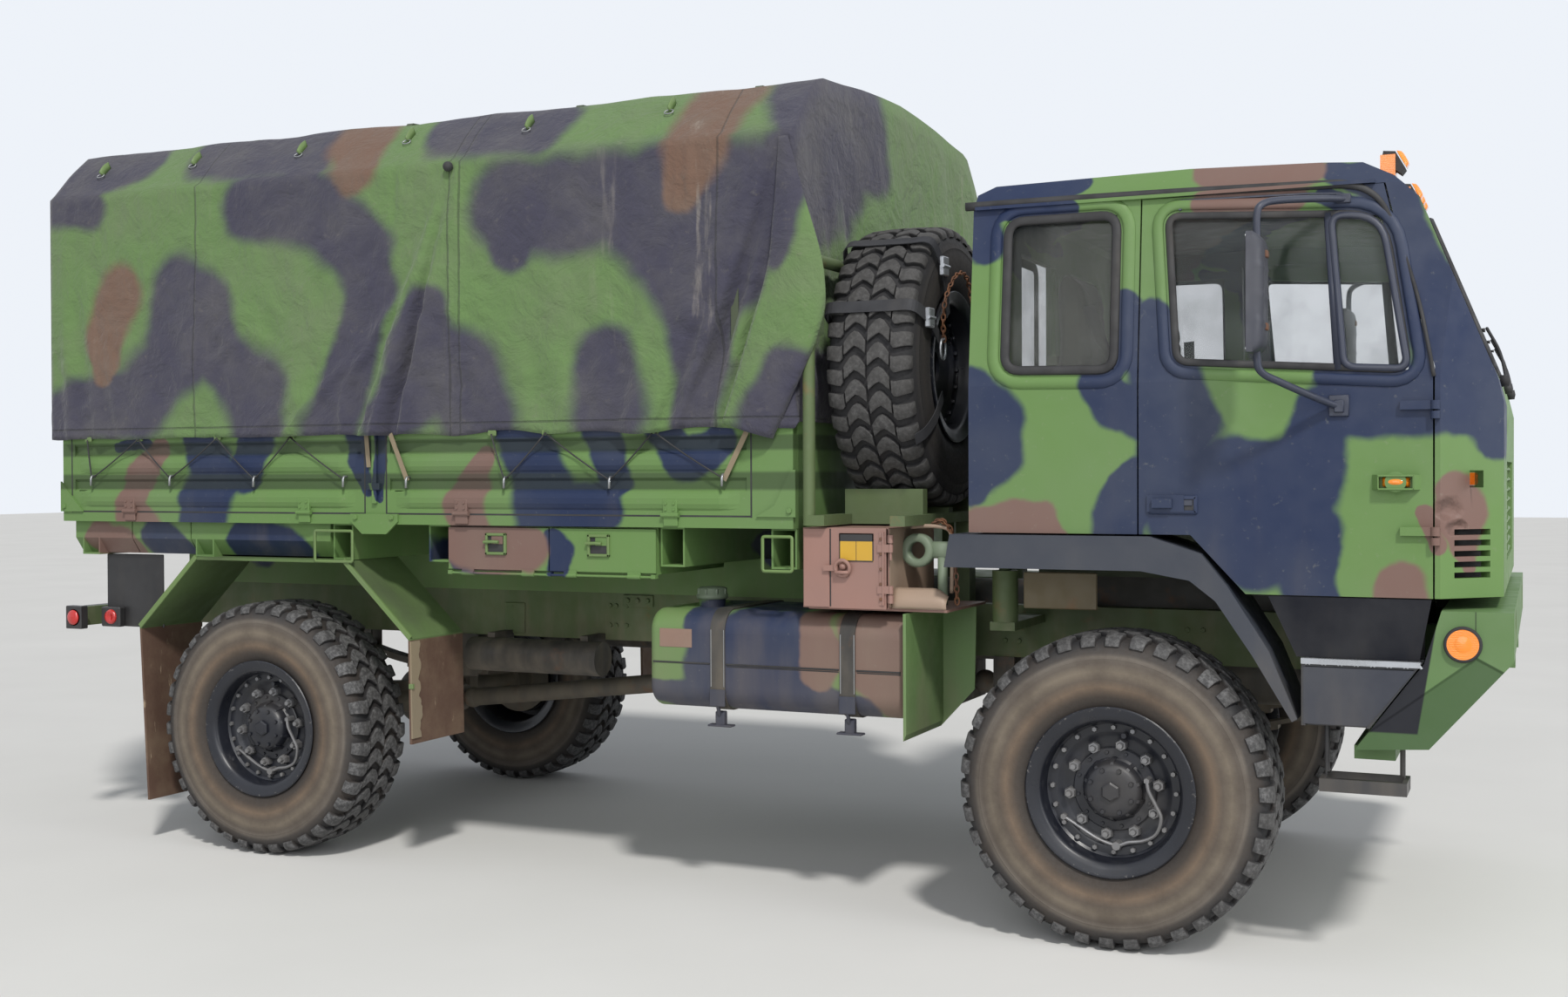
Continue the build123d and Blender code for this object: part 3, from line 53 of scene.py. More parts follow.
# Meshes from arrays
def put(name, points, faces, finish, body, smooth=True, slot=None, flip=False):
    """Mesh object from an (n, 3) array of points and a list or array of faces, riding on a body."""
    mesh = bpy.data.meshes.new(name)
    faces = [f[::-1] for f in faces] if flip else faces
    mesh.from_pydata(np.asarray(points, float).tolist(), [], [list(map(int, f)) for f in faces])
    mesh.update()
    mesh.polygons.foreach_set("use_smooth", np.full(len(mesh.polygons), smooth))
    piece = bpy.data.objects.new(name, mesh)
    bpy.context.collection.objects.link(piece)
    if finish is not None:
        mesh.materials.append(finish)
    if body is not None:
        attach(piece, body)
    return piece


def grid_faces(rows, cols, close_rows=False, close_cols=False):
    """Quads between neighbouring points of a rows by cols grid, wrapped round where it closes."""
    r = np.arange(rows if close_rows else rows - 1)[:, None]
    c = np.arange(cols if close_cols else cols - 1)[None, :]
    r1, c1 = (r + 1) % rows, (c + 1) % cols
    quads = np.stack([r * cols + c, r * cols + c1, r1 * cols + c1, r1 * cols + c], -1)
    return quads.reshape(-1, 4)


def joined(parts):
    """Several (points, faces) pairs as one pair."""
    points, faces, start = [], [], 0
    for p, f in parts:
        p = np.asarray(p, float)
        points.append(p)
        faces += [[start + int(i) for i in face] for face in f]
        start += len(p)
    return np.vstack(points), faces


def placed(part, spots):
    """Copies of a (points, faces) pair, each moved to a spot."""
    points, faces = part
    return joined([(points + np.asarray(spot, float), faces) for spot in spots])


def mirrored(part):
    """The same pair reflected to the truck's other side, faces turned so that they still point out."""
    points, faces = part
    return points * (1, -1, 1), [list(f)[::-1] for f in faces]


def box_part(low, high, bevel=0.0):
    """Box between two corners. With a bevel, each corner is cut: every face is drawn in by bevel on its own
    plane, and strips and triangles join the faces."""
    low, high = np.minimum(low, high).astype(float), np.maximum(low, high).astype(float)
    if bevel <= 0:
        signs = np.array([(x, y, z) for x in (0, 1) for y in (0, 1) for z in (0, 1)])
        points = low + signs * (high - low)
        faces = [(0, 1, 3, 2), (4, 6, 7, 5), (0, 4, 5, 1), (2, 3, 7, 6), (0, 2, 6, 4), (1, 5, 7, 3)]
        return points, faces
    bevel = min(bevel, 0.45 * float((high - low).min()))
    signs = [(x, y, z) for x in (0, 1) for y in (0, 1) for z in (0, 1)]
    points, index = [], {}
    for s in signs:
        for axis in range(3):
            p = low + np.array(s) * (high - low)
            inward = bevel * (1 - 2 * np.array(s, float))
            inward[axis] = 0
            index[s, axis] = len(points)
            points.append(p + inward)
    faces = []
    for axis in range(3):
        u, v = (axis + 1) % 3, (axis + 2) % 3
        for end in (0, 1):
            ring = []
            for a, b in ((0, 0), (1, 0), (1, 1), (0, 1)):
                s = [0, 0, 0]
                s[axis], s[u], s[v] = end, a, b
                ring.append(index[tuple(s), axis])
            faces.append(ring if end else ring[::-1])
        for a in (0, 1):
            for b in (0, 1):
                s0, s1 = [0, 0, 0], [0, 0, 0]
                s0[u] = s1[u] = a
                s0[v] = s1[v] = b
                s1[axis] = 1
                s0, s1 = tuple(s0), tuple(s1)
                strip = [index[s0, u], index[s1, u], index[s1, v], index[s0, v]]
                faces.append(strip if a != b else strip[::-1])
    for s in signs:
        tri = [index[s, 0], index[s, 1], index[s, 2]]
        faces.append(tri if sum(s) % 2 else tri[::-1])
    return np.array(points), faces


def frames_along(path, closed=False):
    """Tangent, side and up arrays along a path: the side is the tangent's cross with a steady axis."""
    path = np.asarray(path, float)
    if closed:
        tangent = np.roll(path, -1, 0) - np.roll(path, 1, 0)
    else:
        tangent = np.gradient(path, axis=0)
    tangent /= np.linalg.norm(tangent, axis=1)[:, None] + 1e-12
    spread = np.abs(tangent).max(0)
    steady = np.eye(3)[int(np.argmin(spread))]
    side = np.cross(tangent, steady)
    side /= np.linalg.norm(side, axis=1)[:, None] + 1e-12
    return tangent, side, np.cross(side, tangent)


def swept(path, profile, closed=False):
    """A flat profile of (side, up) points carried along a path: point = path + a * side + b * up. Open ends
    are closed with the profile's own face."""
    path, profile = np.asarray(path, float), np.asarray(profile, float)
    _, side, up = frames_along(path, closed)
    rows, cols = len(path), len(profile)
    points = path[:, None] + profile[None, :, :1] * side[:, None] + profile[None, :, 1:] * up[:, None]
    faces = grid_faces(rows, cols, close_rows=closed, close_cols=True).tolist()
    if not closed:
        faces.append(list(range(cols))[::-1])
        faces.append(list(range((rows - 1) * cols, rows * cols)))
    return points.reshape(-1, 3), faces


def ring_profile(radius, count=8):
    """Circle as (side, up) points."""
    a = np.arange(count) * 2 * pi / count
    return np.stack([radius * np.cos(a), radius * np.sin(a)], 1)


def tube(path, radius, count=8, closed=False):
    """Round tube along a path."""
    return swept(path, ring_profile(radius, count), closed)


def turned(profile, centre, axis="Y", count=48, close=False):
    """Ring or disc from (along, radius) points turned about an axis through centre. It is closed by radii of
    0, or by close, which joins its last point to its first."""
    profile = np.asarray(profile, float)
    a = np.arange(count) * 2 * pi / count
    along = np.broadcast_to(profile[:, 0][:, None], (len(profile), count))
    c, s = profile[:, 1][:, None] * np.cos(a), profile[:, 1][:, None] * np.sin(a)
    order = {"X": (along, c, s), "Y": (s, along, c), "Z": (c, s, along)}[axis]
    points = np.stack(order, -1) + np.asarray(centre, float)
    return points.reshape(-1, 3), grid_faces(len(profile), count, close, True).tolist()


def bolt_heads(spots, normal_axis, radius, height, out=1, sides=6):
    """Hexagon heads at spots, standing out along an axis: bottom ring, top ring drawn in, and a top face."""
    a = np.arange(sides) * 2 * pi / sides
    rings = [(0, 1.0), (0.7 * height, 1.0), (height, 0.82)]
    pts = np.concatenate([
        np.stack([np.full(sides, h * out), k * radius * np.cos(a), k * radius * np.sin(a)], 1) for h, k in rings])
    order = {"X": (0, 1, 2), "Y": (2, 0, 1), "Z": (1, 2, 0)}[normal_axis]
    pts = pts[:, order]
    faces = grid_faces(3, sides, close_cols=True).tolist() + [list(range(2 * sides, 3 * sides))[::-1]]
    if out > 0:
        faces = [f[::-1] for f in faces]
    return placed((pts, faces), spots)


def smooth_path(points, count=24):
    """Even samples of the curve through points: uniform cubic, each span weighted from its four
    neighbours."""
    p = np.asarray(points, float)
    p = np.vstack([2 * p[0] - p[1], p, 2 * p[-1] - p[-2]])
    t = np.linspace(0, len(p) - 3 - 1e-9, count)
    i = t.astype(int)
    u = (t - i)[:, None]
    a, b, c, d = p[i], p[i + 1], p[i + 2], p[i + 3]
    return 0.5 * (2 * b + (c - a) * u + (2 * a - 5 * b + 4 * c - d) * u**2 + (3 * b - a - 3 * c + d) * u**3)


def wobble(x, y, seed=0, octaves=3, size=1.0):
    """Smooth repeatable unevenness over two arrays: a sum of sines of rising pitch in seeded directions."""
    rng = np.random.default_rng(seed)
    total = np.zeros(np.broadcast(x, y).shape)
    for k in range(octaves):
        for _ in range(3):
            a = rng.uniform(0, 2 * pi)
            f = (2.0**k) * rng.uniform(0.8, 1.3) / size
            phase = rng.uniform(0, 6.28)
            total = total + np.sin(2 * pi * f * (x * cos(a) + y * sin(a)) + phase) / (3 * 1.7**k)
    return total


def rectangle(u0, v0, u1, v1):
    """Corners of an upright rectangle."""
    return (u0, v0), (u1, v0), (u1, v1), (u0, v1)


def rounded(corners, radii, steps=7):
    """Closed outline with each corner replaced by the quadratic curve that leaves and meets its two edges at
    the corner's radius."""
    c = np.asarray(corners, float)
    radii = np.broadcast_to(radii, len(c))
    s = np.linspace(0, 1, steps)[:, None]
    runs = []
    for i in range(len(c)):
        a, b, d = c[i - 1], c[i], c[(i + 1) % len(c)]
        p = b + (a - b) / np.linalg.norm(a - b) * radii[i]
        q = b + (d - b) / np.linalg.norm(d - b) * radii[i]
        runs.append((1 - s) ** 2 * p + 2 * s * (1 - s) * b + s**2 * q)
    return np.vstack(runs)


def turns_left(outline):
    """Whether an outline runs anticlockwise: its corners' cross products add up above 0."""
    ahead = np.roll(outline, -1, 0)
    return np.sum(outline[:, 0] * ahead[:, 1] - ahead[:, 0] * outline[:, 1]) > 0


def outline_plate(outline, y0, y1):
    """Flat plate with a side-view outline of (x, z) points between two distances y0 and y1."""
    o = np.asarray(outline, float)
    n = len(o)
    points = np.concatenate([np.stack([o[:, 0], np.full(n, y), o[:, 1]], 1) for y in (y0, y1)])
    faces = [list(range(n)), list(range(2 * n - 1, n - 1, -1))]
    faces += [[i, n + i, n + (i + 1) % n, (i + 1) % n] for i in range(n)]
    return points, [f[::-1] for f in faces] if turns_left(o) != (y1 > y0) else faces


def moulding(outline, section, lay, closed=True):
    """A section of (outward, height) points carried round a flat outline: each point is the outline's point
    moved outward along the outline's normal, and lay gives its place at that height."""
    outline, section = np.asarray(outline, float), np.asarray(section, float)
    tangent = np.roll(outline, -1, 0) - np.roll(outline, 1, 0) if closed else np.gradient(outline, axis=0)
    tangent /= np.linalg.norm(tangent, axis=1)[:, None]
    normal = np.stack([tangent[:, 1], -tangent[:, 0]], 1) * (1 if turns_left(outline) or not closed else -1)
    flat = outline[:, None] + section[None, :, :1] * normal[:, None]
    points = lay(flat[..., 0], flat[..., 1], np.broadcast_to(section[:, 1], flat.shape[:2]))
    faces = grid_faces(len(outline), len(section), close_rows=closed, close_cols=True).tolist()
    if not closed:
        faces += [list(range(len(section)))[::-1],
                  list(range((len(outline) - 1) * len(section), points.size // 3))]
    return points.reshape(-1, 3), faces


def band(half, height):
    """Section of a low band: feet at its two edges, shoulders drawn in, a flat top."""
    k = 0.65 * half
    return ((-half, -0.002), (-half, 0.35 * height), (-k, height), (k, height), (half, 0.35 * height),
            (half, -0.002))


def outward(piece, weld=0.0):
    """Turn a piece's faces outward, after points nearer to each other than weld are made one."""
    form = bmesh.new()
    form.from_mesh(piece.data)
    if weld:
        bmesh.ops.remove_doubles(form, verts=form.verts, dist=weld)
    bmesh.ops.recalc_face_normals(form, faces=form.faces)
    form.to_mesh(piece.data)
    form.free()
    return piece


def shell(name, parts, finish, body, slot=None, smooth=False):
    """Piece from closed parts, its faces turned outward."""
    return outward(put(name, *joined(parts), finish, body, smooth=smooth, slot=slot))


def both(part):
    """A part and its reflection."""
    return [part, mirrored(part)]


def pair(name, parts, finish, body, slot, smooth=False):
    """A piece on each side from parts made on the right. Braces in the body stand for the side's name."""
    return [shell(f"{name}_{side}", parts if sign < 0 else [mirrored(part) for part in parts], finish,
                  body.format(side), slot, smooth) for side, sign in SIDES]


def smooth_by_angle(piece, degrees):
    """Smooth shading with sharp edges where two faces meet at more than the angle."""
    piece.data.polygons.foreach_set("use_smooth", np.ones(len(piece.data.polygons), bool))
    piece.data.set_sharp_from_angle(angle=radians(degrees))


def thicken(piece, thickness, offset=0.0):
    """Give a sheet its thickness, half on each side at offset 0 and all outside at 1."""
    wall = piece.modifiers.new("thickness", "SOLIDIFY")
    wall.thickness, wall.offset = thickness, offset


def area_of(piece):
    """Area of all faces of a piece."""
    cells = np.empty(len(piece.data.polygons))
    piece.data.polygons.foreach_get("area", cells)
    return float(cells.sum())


# Shaders
class Value:
    """One socket of a finish's nodes. Arithmetic on it adds Math nodes."""

    def __init__(self, finish, socket):
        self.finish, self.socket = finish, socket

    def _math(self, operation, a, b=None):
        return self.finish.node("ShaderNodeMath", {"operation": operation},
                                {0: a} if b is None else {0: a, 1: b})

    def __add__(self, other):
        return self._math("ADD", self, other)

    __radd__ = __add__

    def __sub__(self, other):
        return self._math("SUBTRACT", self, other)

    def __rsub__(self, other):
        return self._math("SUBTRACT", other, self)

    def __mul__(self, other):
        return self._math("MULTIPLY", self, other)

    __rmul__ = __mul__

    def __truediv__(self, other):
        return self._math("DIVIDE", self, other)


class Finish:
    """Nodes of one material, with its main shader ready to be fed."""

    def __init__(self, name, **constants):
        self.material = bpy.data.materials.new(name)
        self.material.use_nodes = True
        self.tree = self.material.node_tree
        self.shader = self.tree.nodes["Principled BSDF"]
        for key, value in constants.items():
            self.shader.inputs[key.replace("_", " ")].default_value = value
        self.place = self.node("ShaderNodeTexCoord", {}, {}, "Object")

    def node(self, kind, settings, inputs, output=0):
        """Any node: its settings first, then its sockets' values or links. Gives back one of its outputs."""
        n = self.tree.nodes.new(kind)
        for key, value in settings.items():
            if key == "stops":
                ramp = n.color_ramp
                while len(ramp.elements) < len(value):
                    ramp.elements.new(0.5)
                for element, (at, colour) in zip(ramp.elements, value):
                    element.position, element.color = at, (*colour, 1.0)
            else:
                setattr(n, key, value)
        for key, value in inputs.items():
            if isinstance(value, Value):
                self.tree.links.new(value.socket, n.inputs[key])
            else:
                n.inputs[key].default_value = value
        return Value(self, n.outputs[output])

    def feed(self, **sockets):
        """Link values into the main shader."""
        for key, value in sockets.items():
            self.tree.links.new(value.socket, self.shader.inputs[key.replace("_", " ")])
        return self.material

    def noise(self, scale, detail=3.0, rough=0.5, distort=0.0, where=None, output=0):
        """Smooth noise from 0 to 1."""
        return self.node("ShaderNodeTexNoise", {},
                         {"Vector": where or self.place, "Scale": scale, "Detail": detail, "Roughness": rough,
                          "Distortion": distort}, output)

    def waves(self, direction, scale):
        """Straight waves from 0 to 1 across one axis."""
        return self.node("ShaderNodeTexWave", {"bands_direction": direction},
                         {"Vector": self.place, "Scale": scale}, 1)

    def absolute(self, value):
        """A value without its sign."""
        return self.node("ShaderNodeMath", {"operation": "ABSOLUTE"}, {0: value})

    def step(self, value, low, high, out_low=0.0, out_high=1.0):
        """Smooth rise of a value between two limits."""
        return self.node("ShaderNodeMapRange", {"interpolation_type": "SMOOTHSTEP"},
                         {0: value, 1: low, 2: high, 3: out_low, 4: out_high})

    def mix(self, factor, a, b):
        """Colour a where factor is 0 and b where it is 1."""
        return self.node("ShaderNodeMix", {"data_type": "RGBA"}, {0: factor, 6: rgba(a), 7: rgba(b)}, 2)

    def vector(self, operation, a, b=None, output=0):
        """Vector Math on one or two vectors."""
        return self.node("ShaderNodeVectorMath", {"operation": operation},
                         {0: a} if b is None else {0: a, 1: b}, output)

    def scaled(self, where, factor):
        """A vector times a number."""
        return self.node("ShaderNodeVectorMath", {"operation": "SCALE"}, {0: where, 3: factor})

    def axes(self, where=None):
        """The three numbers of a position."""
        n = self.node("ShaderNodeSeparateXYZ", {}, {0: where or self.place})
        return [Value(self, n.socket.node.outputs[i]) for i in range(3)]

    def point(self, x, y, z):
        """A position from three numbers."""
        return self.node("ShaderNodeCombineXYZ", {}, {0: x, 1: y, 2: z})

    def bump(self, height, strength=0.3, distance=0.002, under=None):
        """Normal that follows a height."""
        inputs = {"Strength": strength, "Distance": distance, "Height": height}
        if under is not None:
            inputs["Normal"] = under
        return self.node("ShaderNodeBump", {}, inputs)

    def least(self, a, b):
        """Smaller of two values."""
        return self.node("ShaderNodeMath", {"operation": "MINIMUM"}, {0: a, 1: b})


def rgba(colour):
    """A colour socket takes four numbers, a link stays as it is."""
    return colour if isinstance(colour, Value) or len(colour) == 4 else (*colour, 1.0)


# Paint colours, as linear light
GREEN = (0.125, 0.225, 0.072)
DARK = (0.015, 0.026, 0.068)
BROWN = (0.175, 0.105, 0.088)
CANVAS_GREEN = (0.115, 0.200, 0.070)
CANVAS_GREY = (0.046, 0.045, 0.072)
CANVAS_TAN = (0.150, 0.088, 0.062)
DUST = (0.24, 0.20, 0.145)

# Sprayed strokes in the side view: each is a run of discs, centre x, centre z and radius, joined smoothly
CANVAS_DARK = (
    ((-3.25, 3.24, 0.16), (-2.95, 3.23, 0.16), (-2.78, 3.24, 0.11)),
    ((-3.24, 3.04, 0.13), (-3.00, 3.00, 0.11)),
    ((-2.36, 3.24, 0.14), (-2.10, 3.23, 0.17), (-1.75, 3.21, 0.16), (-1.70, 3.05, 0.10)),
    ((-1.99, 2.94, 0.16), (-1.62, 2.90, 0.18), (-1.38, 2.70, 0.16), (-1.33, 2.50, 0.13), (-1.42, 2.28, 0.12),
     (-1.50, 2.05, 0.14), (-1.56, 1.90, 0.16)),
    ((-2.42, 2.58, 0.17), (-2.45, 2.30, 0.20), (-2.70, 2.08, 0.18), (-3.08, 2.03, 0.16), (-3.28, 1.98, 0.15)),
    ((-2.27, 2.53, 0.15), (-2.20, 2.28, 0.14), (-1.99, 2.12, 0.18), (-1.96, 1.90, 0.16)),
    ((-1.03, 2.44, 0.10), (-1.05, 2.22, 0.18), (-0.86, 2.14, 0.20), (-0.76, 1.94, 0.20)),
    ((-1.05, 2.12, 0.18), (-1.22, 1.95, 0.14)),
    ((-0.62, 2.86, 0.19), (-0.36, 2.85, 0.20), (-0.10, 2.86, 0.19), (0.13, 2.66, 0.18), (0.27, 2.44, 0.17),
     (0.29, 2.18, 0.12), (0.25, 1.94, 0.10)),
    ((-0.60, 2.80, 0.16), (-0.60, 2.70, 0.11)), ((0.10, 2.90, 0.18), (0.48, 2.82, 0.22), (0.42, 2.52, 0.15)),
    ((0.66, 2.95, 0.14), (0.62, 2.60, 0.07)),
    ((-0.99, 3.24, 0.15), (-0.80, 3.24, 0.17), (-0.54, 3.22, 0.16)), ((0.70, 3.28, 0.20), (0.80, 3.04, 0.14)),
    ((-0.14, 2.22, 0.14), (-0.12, 1.98, 0.18)), ((0.70, 2.10, 0.12), (0.60, 1.92, 0.16)),
)
CANVAS_BROWN = (
    ((-2.80, 2.60, 0.14), (-2.90, 2.40, 0.12), (-2.91, 2.20, 0.06)),
    ((-1.49, 3.24, 0.17), (-1.41, 3.04, 0.10)),
    ((0.32, 3.27, 0.17), (0.26, 3.06, 0.15), (0.19, 2.86, 0.08)),
)
CAB_DARK = (
    ((1.36, 2.78, 0.07), (1.60, 2.77, 0.07), (1.77, 2.80, 0.05)), ((1.40, 2.68, 0.06), (1.45, 2.58, 0.07)),
    ((1.40, 2.69, 0.03), (1.76, 2.69, 0.03)),
    ((1.98, 2.32, 0.05), (1.98, 2.16, 0.06), (1.88, 2.07, 0.07), (1.96, 1.97, 0.08), (2.08, 1.92, 0.08)),
    ((2.08, 2.28, 0.07), (2.08, 2.16, 0.10), (2.13, 2.05, 0.12), (2.20, 1.90, 0.12)),
    ((1.40, 2.04, 0.08), (1.45, 1.92, 0.14), (1.45, 1.80, 0.14), (1.40, 1.68, 0.07)),
    ((2.03, 1.72, 0.07), (1.97, 1.60, 0.09), (1.95, 1.50, 0.09)),
    ((2.16, 1.86, 0.12), (2.15, 1.67, 0.14), (2.22, 1.52, 0.15), (2.42, 1.48, 0.15), (2.38, 1.71, 0.15),
     (2.57, 1.71, 0.14), (2.64, 1.94, 0.10)),
    ((2.58, 1.53, 0.14), (2.60, 1.36, 0.11)),
    ((2.60, 1.92, 0.08), (2.79, 1.96, 0.11), (3.00, 1.96, 0.11), (3.12, 1.92, 0.08)),
    ((2.66, 2.76, 0.05), (2.78, 2.74, 0.06), (2.86, 2.66, 0.07), (2.92, 2.50, 0.09), (2.98, 2.32, 0.11),
     (3.04, 2.12, 0.12), (3.16, 1.96, 0.08)),
    ((2.70, 2.06, 0.08), (2.86, 2.04, 0.08)), ((2.63, 2.67, 0.03), (2.79, 2.63, 0.04)),
    ((3.17, 2.30, 0.16), (3.19, 1.85, 0.08)),
)
CAB_GREEN = (
    ((2.43, 2.07, 0.125), (2.43, 1.96, 0.115)),
    ((2.79, 1.75, 0.07), (2.84, 1.64, 0.09), (2.82, 1.50, 0.09), (2.77, 1.36, 0.09)),
    ((2.88, 1.76, 0.08), (3.07, 1.75, 0.07), (3.18, 1.66, 0.05)), ((2.95, 1.54, 0.10), (3.06, 1.38, 0.09)),
    ((3.20, 1.48, 0.07), (3.16, 1.36, 0.08)),
)
CAB_BROWN = (
    ((2.26, 2.80, 0.08), (2.40, 2.76, 0.09), (2.55, 2.77, 0.08)), ((2.24, 2.67, 0.05), (2.53, 2.66, 0.05)),
    ((3.06, 1.67, 0.06), (3.08, 1.58, 0.08), (3.09, 1.47, 0.05), (3.10, 1.40, 0.02)),
    ((2.97, 1.60, 0.03), (3.00, 1.48, 0.03)), ((2.89, 1.35, 0.08), (2.90, 1.28, 0.10)),
    ((1.42, 1.52, 0.09), (1.56, 1.55, 0.08), (1.66, 1.55, 0.08), (1.74, 1.48, 0.05)),
)
# Heights of the recesses between the board ribs, painted darker as shade
SHADED_BOARD_RECESSES = ((1.660, 1.735), (1.817, 1.882))
DENTS = ((3.050, 1.600, 0.050), (3.075, 1.540, 0.035))
BED_DARK = (
    ((-2.34, 1.92, 0.09), (-2.24, 1.72, 0.14), (-2.30, 1.60, 0.14), (-2.30, 1.30, 0.14)),
    ((-1.98, 1.92, 0.10), (-2.06, 1.74, 0.09)), ((-1.43, 1.90, 0.06), (-1.38, 1.66, 0.03)),
    ((-1.30, 1.90, 0.03), (-1.31, 1.70, 0.03), (-1.31, 1.62, 0.02)),
    ((-0.58, 1.92, 0.12), (-0.46, 1.66, 0.15), (-0.44, 1.55, 0.16), (-0.18, 1.60, 0.12)),
    ((-0.56, 1.44, 0.09), (-0.44, 1.39, 0.09)), ((-0.16, 1.90, 0.10), (-0.12, 1.72, 0.08)),
    ((0.10, 1.92, 0.07), (0.20, 1.78, 0.09), (0.36, 1.86, 0.07)), ((-2.66, 1.88, 0.04), (-2.84, 1.86, 0.03)),
    ((0.22, 1.16, 0.12), (0.25, 0.95, 0.16), (0.30, 0.78, 0.14)), ((0.42, 1.16, 0.10), (0.45, 0.90, 0.14)),
    ((0.62, 1.10, 0.09), (0.66, 0.86, 0.09)),
)
BED_BROWN = (
    ((-2.58, 1.86, 0.06), (-2.70, 1.70, 0.08), (-2.75, 1.56, 0.09), (-2.62, 1.42, 0.11)),
    ((-0.74, 1.80, 0.05), (-0.80, 1.68, 0.08), (-0.87, 1.57, 0.10), (-0.82, 1.40, 0.11)),
    ((0.90, 1.14, 0.11), (0.94, 0.92, 0.14), (0.98, 0.74, 0.12)),
)


def strokes(finish, where, table, soft):
    """Mask of sprayed strokes. Along each run from one disc to the next, a point's place is its projection on
    the run, held between the two ends, and its field is its distance from there over the radius at that
    place. The fields melt into one with a smooth minimum, and the mask fades over soft where the field passes
    1."""
    nearest = None
    for stroke in table:
        for (x0, z0, r0), (x1, z1, r1) in zip(stroke, stroke[1:]):
            span = (x1 - x0) ** 2 + (z1 - z0) ** 2
            off = finish.vector("SUBTRACT", where, (x0, 0.0, z0))
            along = finish.vector("DOT_PRODUCT", off, ((x1 - x0) / span, 0.0, (z1 - z0) / span), 1)
            along = finish.node("ShaderNodeMath", {"operation": "ADD", "use_clamp": True}, {0: along, 1: 0.0})
            near = finish.scaled((x1 - x0, 0.0, z1 - z0), along)
            away = finish.vector("LENGTH", finish.vector("SUBTRACT", off, near), output=1)
            field = away / (along * (r1 - r0) + r0)
            nearest = field if nearest is None else finish.node(
                "ShaderNodeMath", {"operation": "SMOOTH_MIN"}, {0: nearest, 1: field, 2: 0.30})
    return finish.step(nearest, 1.0 - soft, 1.0 + soft, 1.0, 0.0)


def camouflage(finish, dark, brown, green_over=(), soft=0.14, colours=(GREEN, DARK, BROWN)):
    """Three colours in the side view, the same for every distance from the middle apart from a slow drift,
    with edges that wander."""
    x, y, z = finish.axes()
    drift = finish.noise(0.9, 2.0, output=1)
    wander = finish.noise(5.0, 3.0, output=1)
    shift = finish.vector("ADD", finish.scaled(finish.vector("SUBTRACT", drift, (0.5, 0.5, 0.5)), 0.10),
                          finish.scaled(finish.vector("SUBTRACT", wander, (0.5, 0.5, 0.5)), 0.09))
    flat = finish.point(x + 0.35 * (y + 1.2) * finish.step(y, -1.1, 0.4), 0.0, z)
    where = finish.vector("MULTIPLY", finish.vector("ADD", flat, shift), (1.0, 0.0, 1.0))
    dark_mask = strokes(finish, where, dark, soft)
    if green_over:
        dark_mask = dark_mask * (1.0 - strokes(finish, where, green_over, soft))
    colour = finish.mix(dark_mask, colours[0], colours[1])
    return finish.mix(strokes(finish, where, brown, soft), colour, colours[2])


def painted(name, dark, brown, green_over=(), dust=0.35, dents=(), shaded_recesses=(), **constants):
    """Matt sprayed paint: patches, slow fading, fine grain, pale scratches, dust that settles low and in
    hollows, painted shade in recessed bands, each a low and a high z, and, on the right, dents at (x, z) with
    a radius, creased by noise."""
    f = Finish(name, Roughness=0.55, Specular_IOR_Level=0.28, **constants)
    colour = camouflage(f, dark, brown, green_over)
    faded = f.mix(f.step(f.noise(1.7, 5.0), 0.35, 0.75, 0.0, 0.13), colour, (0.20, 0.21, 0.19))
    spots = f.step(f.noise(38.0, 4.0, 0.65), 0.62, 0.76, 0.0, 0.20)
    worn = f.mix(spots, faded, (0.27, 0.27, 0.22))
    _, y, z = f.axes()
    streak = f.noise(9.0, 4.0, where=f.vector("MULTIPLY", f.place, (1.0, 1.0, 0.18)))
    low = f.step(z, 0.55, 1.75, 1.0, 0.12)
    grime = f.step(streak * 0.7 + low * 0.45, 0.42, 0.95, 0.0, dust)
    dusty = f.mix(grime, worn, DUST)
    # Painted shade: the colour darkens between each low and high z, as in the shaded recesses between the ribs
    for low_z, high_z in shaded_recesses:
        deep = f.step(z, low_z - 0.006, low_z + 0.010) * f.step(z, high_z - 0.010, high_z + 0.006, 1.0, 0.0)
        dusty = f.mix(deep * 0.62, dusty, (0.020, 0.027, 0.018))
    rough = f.step(f.noise(14.0, 4.0), 0.3, 0.7, 0.42, 0.62) + grime * 0.25
    orange_peel = f.noise(240.0, 2.0)
    normal = f.bump(f.noise(2.4, 2.0), 0.35, 0.006)
    for dent_x, dent_z, radius in dents:
        spot = f.vector("SUBTRACT", f.vector("ADD", f.place, f.scaled(f.noise(9.0, 4.0, output=1), 0.05)),
                        (dent_x + 0.025, 0.0, dent_z + 0.025))
        away = f.vector("LENGTH", f.vector("MULTIPLY", spot, (1.0, 0.0, 1.0)), output=1)
        hollow = f.step(away, 0.15 * radius, radius) * f.step(y, -0.9, -1.0, 0.0, 1.0)
        normal = f.bump(hollow, 1.0, 0.022, normal)
    normal = f.bump(orange_peel, 0.10, 0.0008, normal)
    return f.feed(Base_Color=dusty, Roughness=rough, Normal=normal)


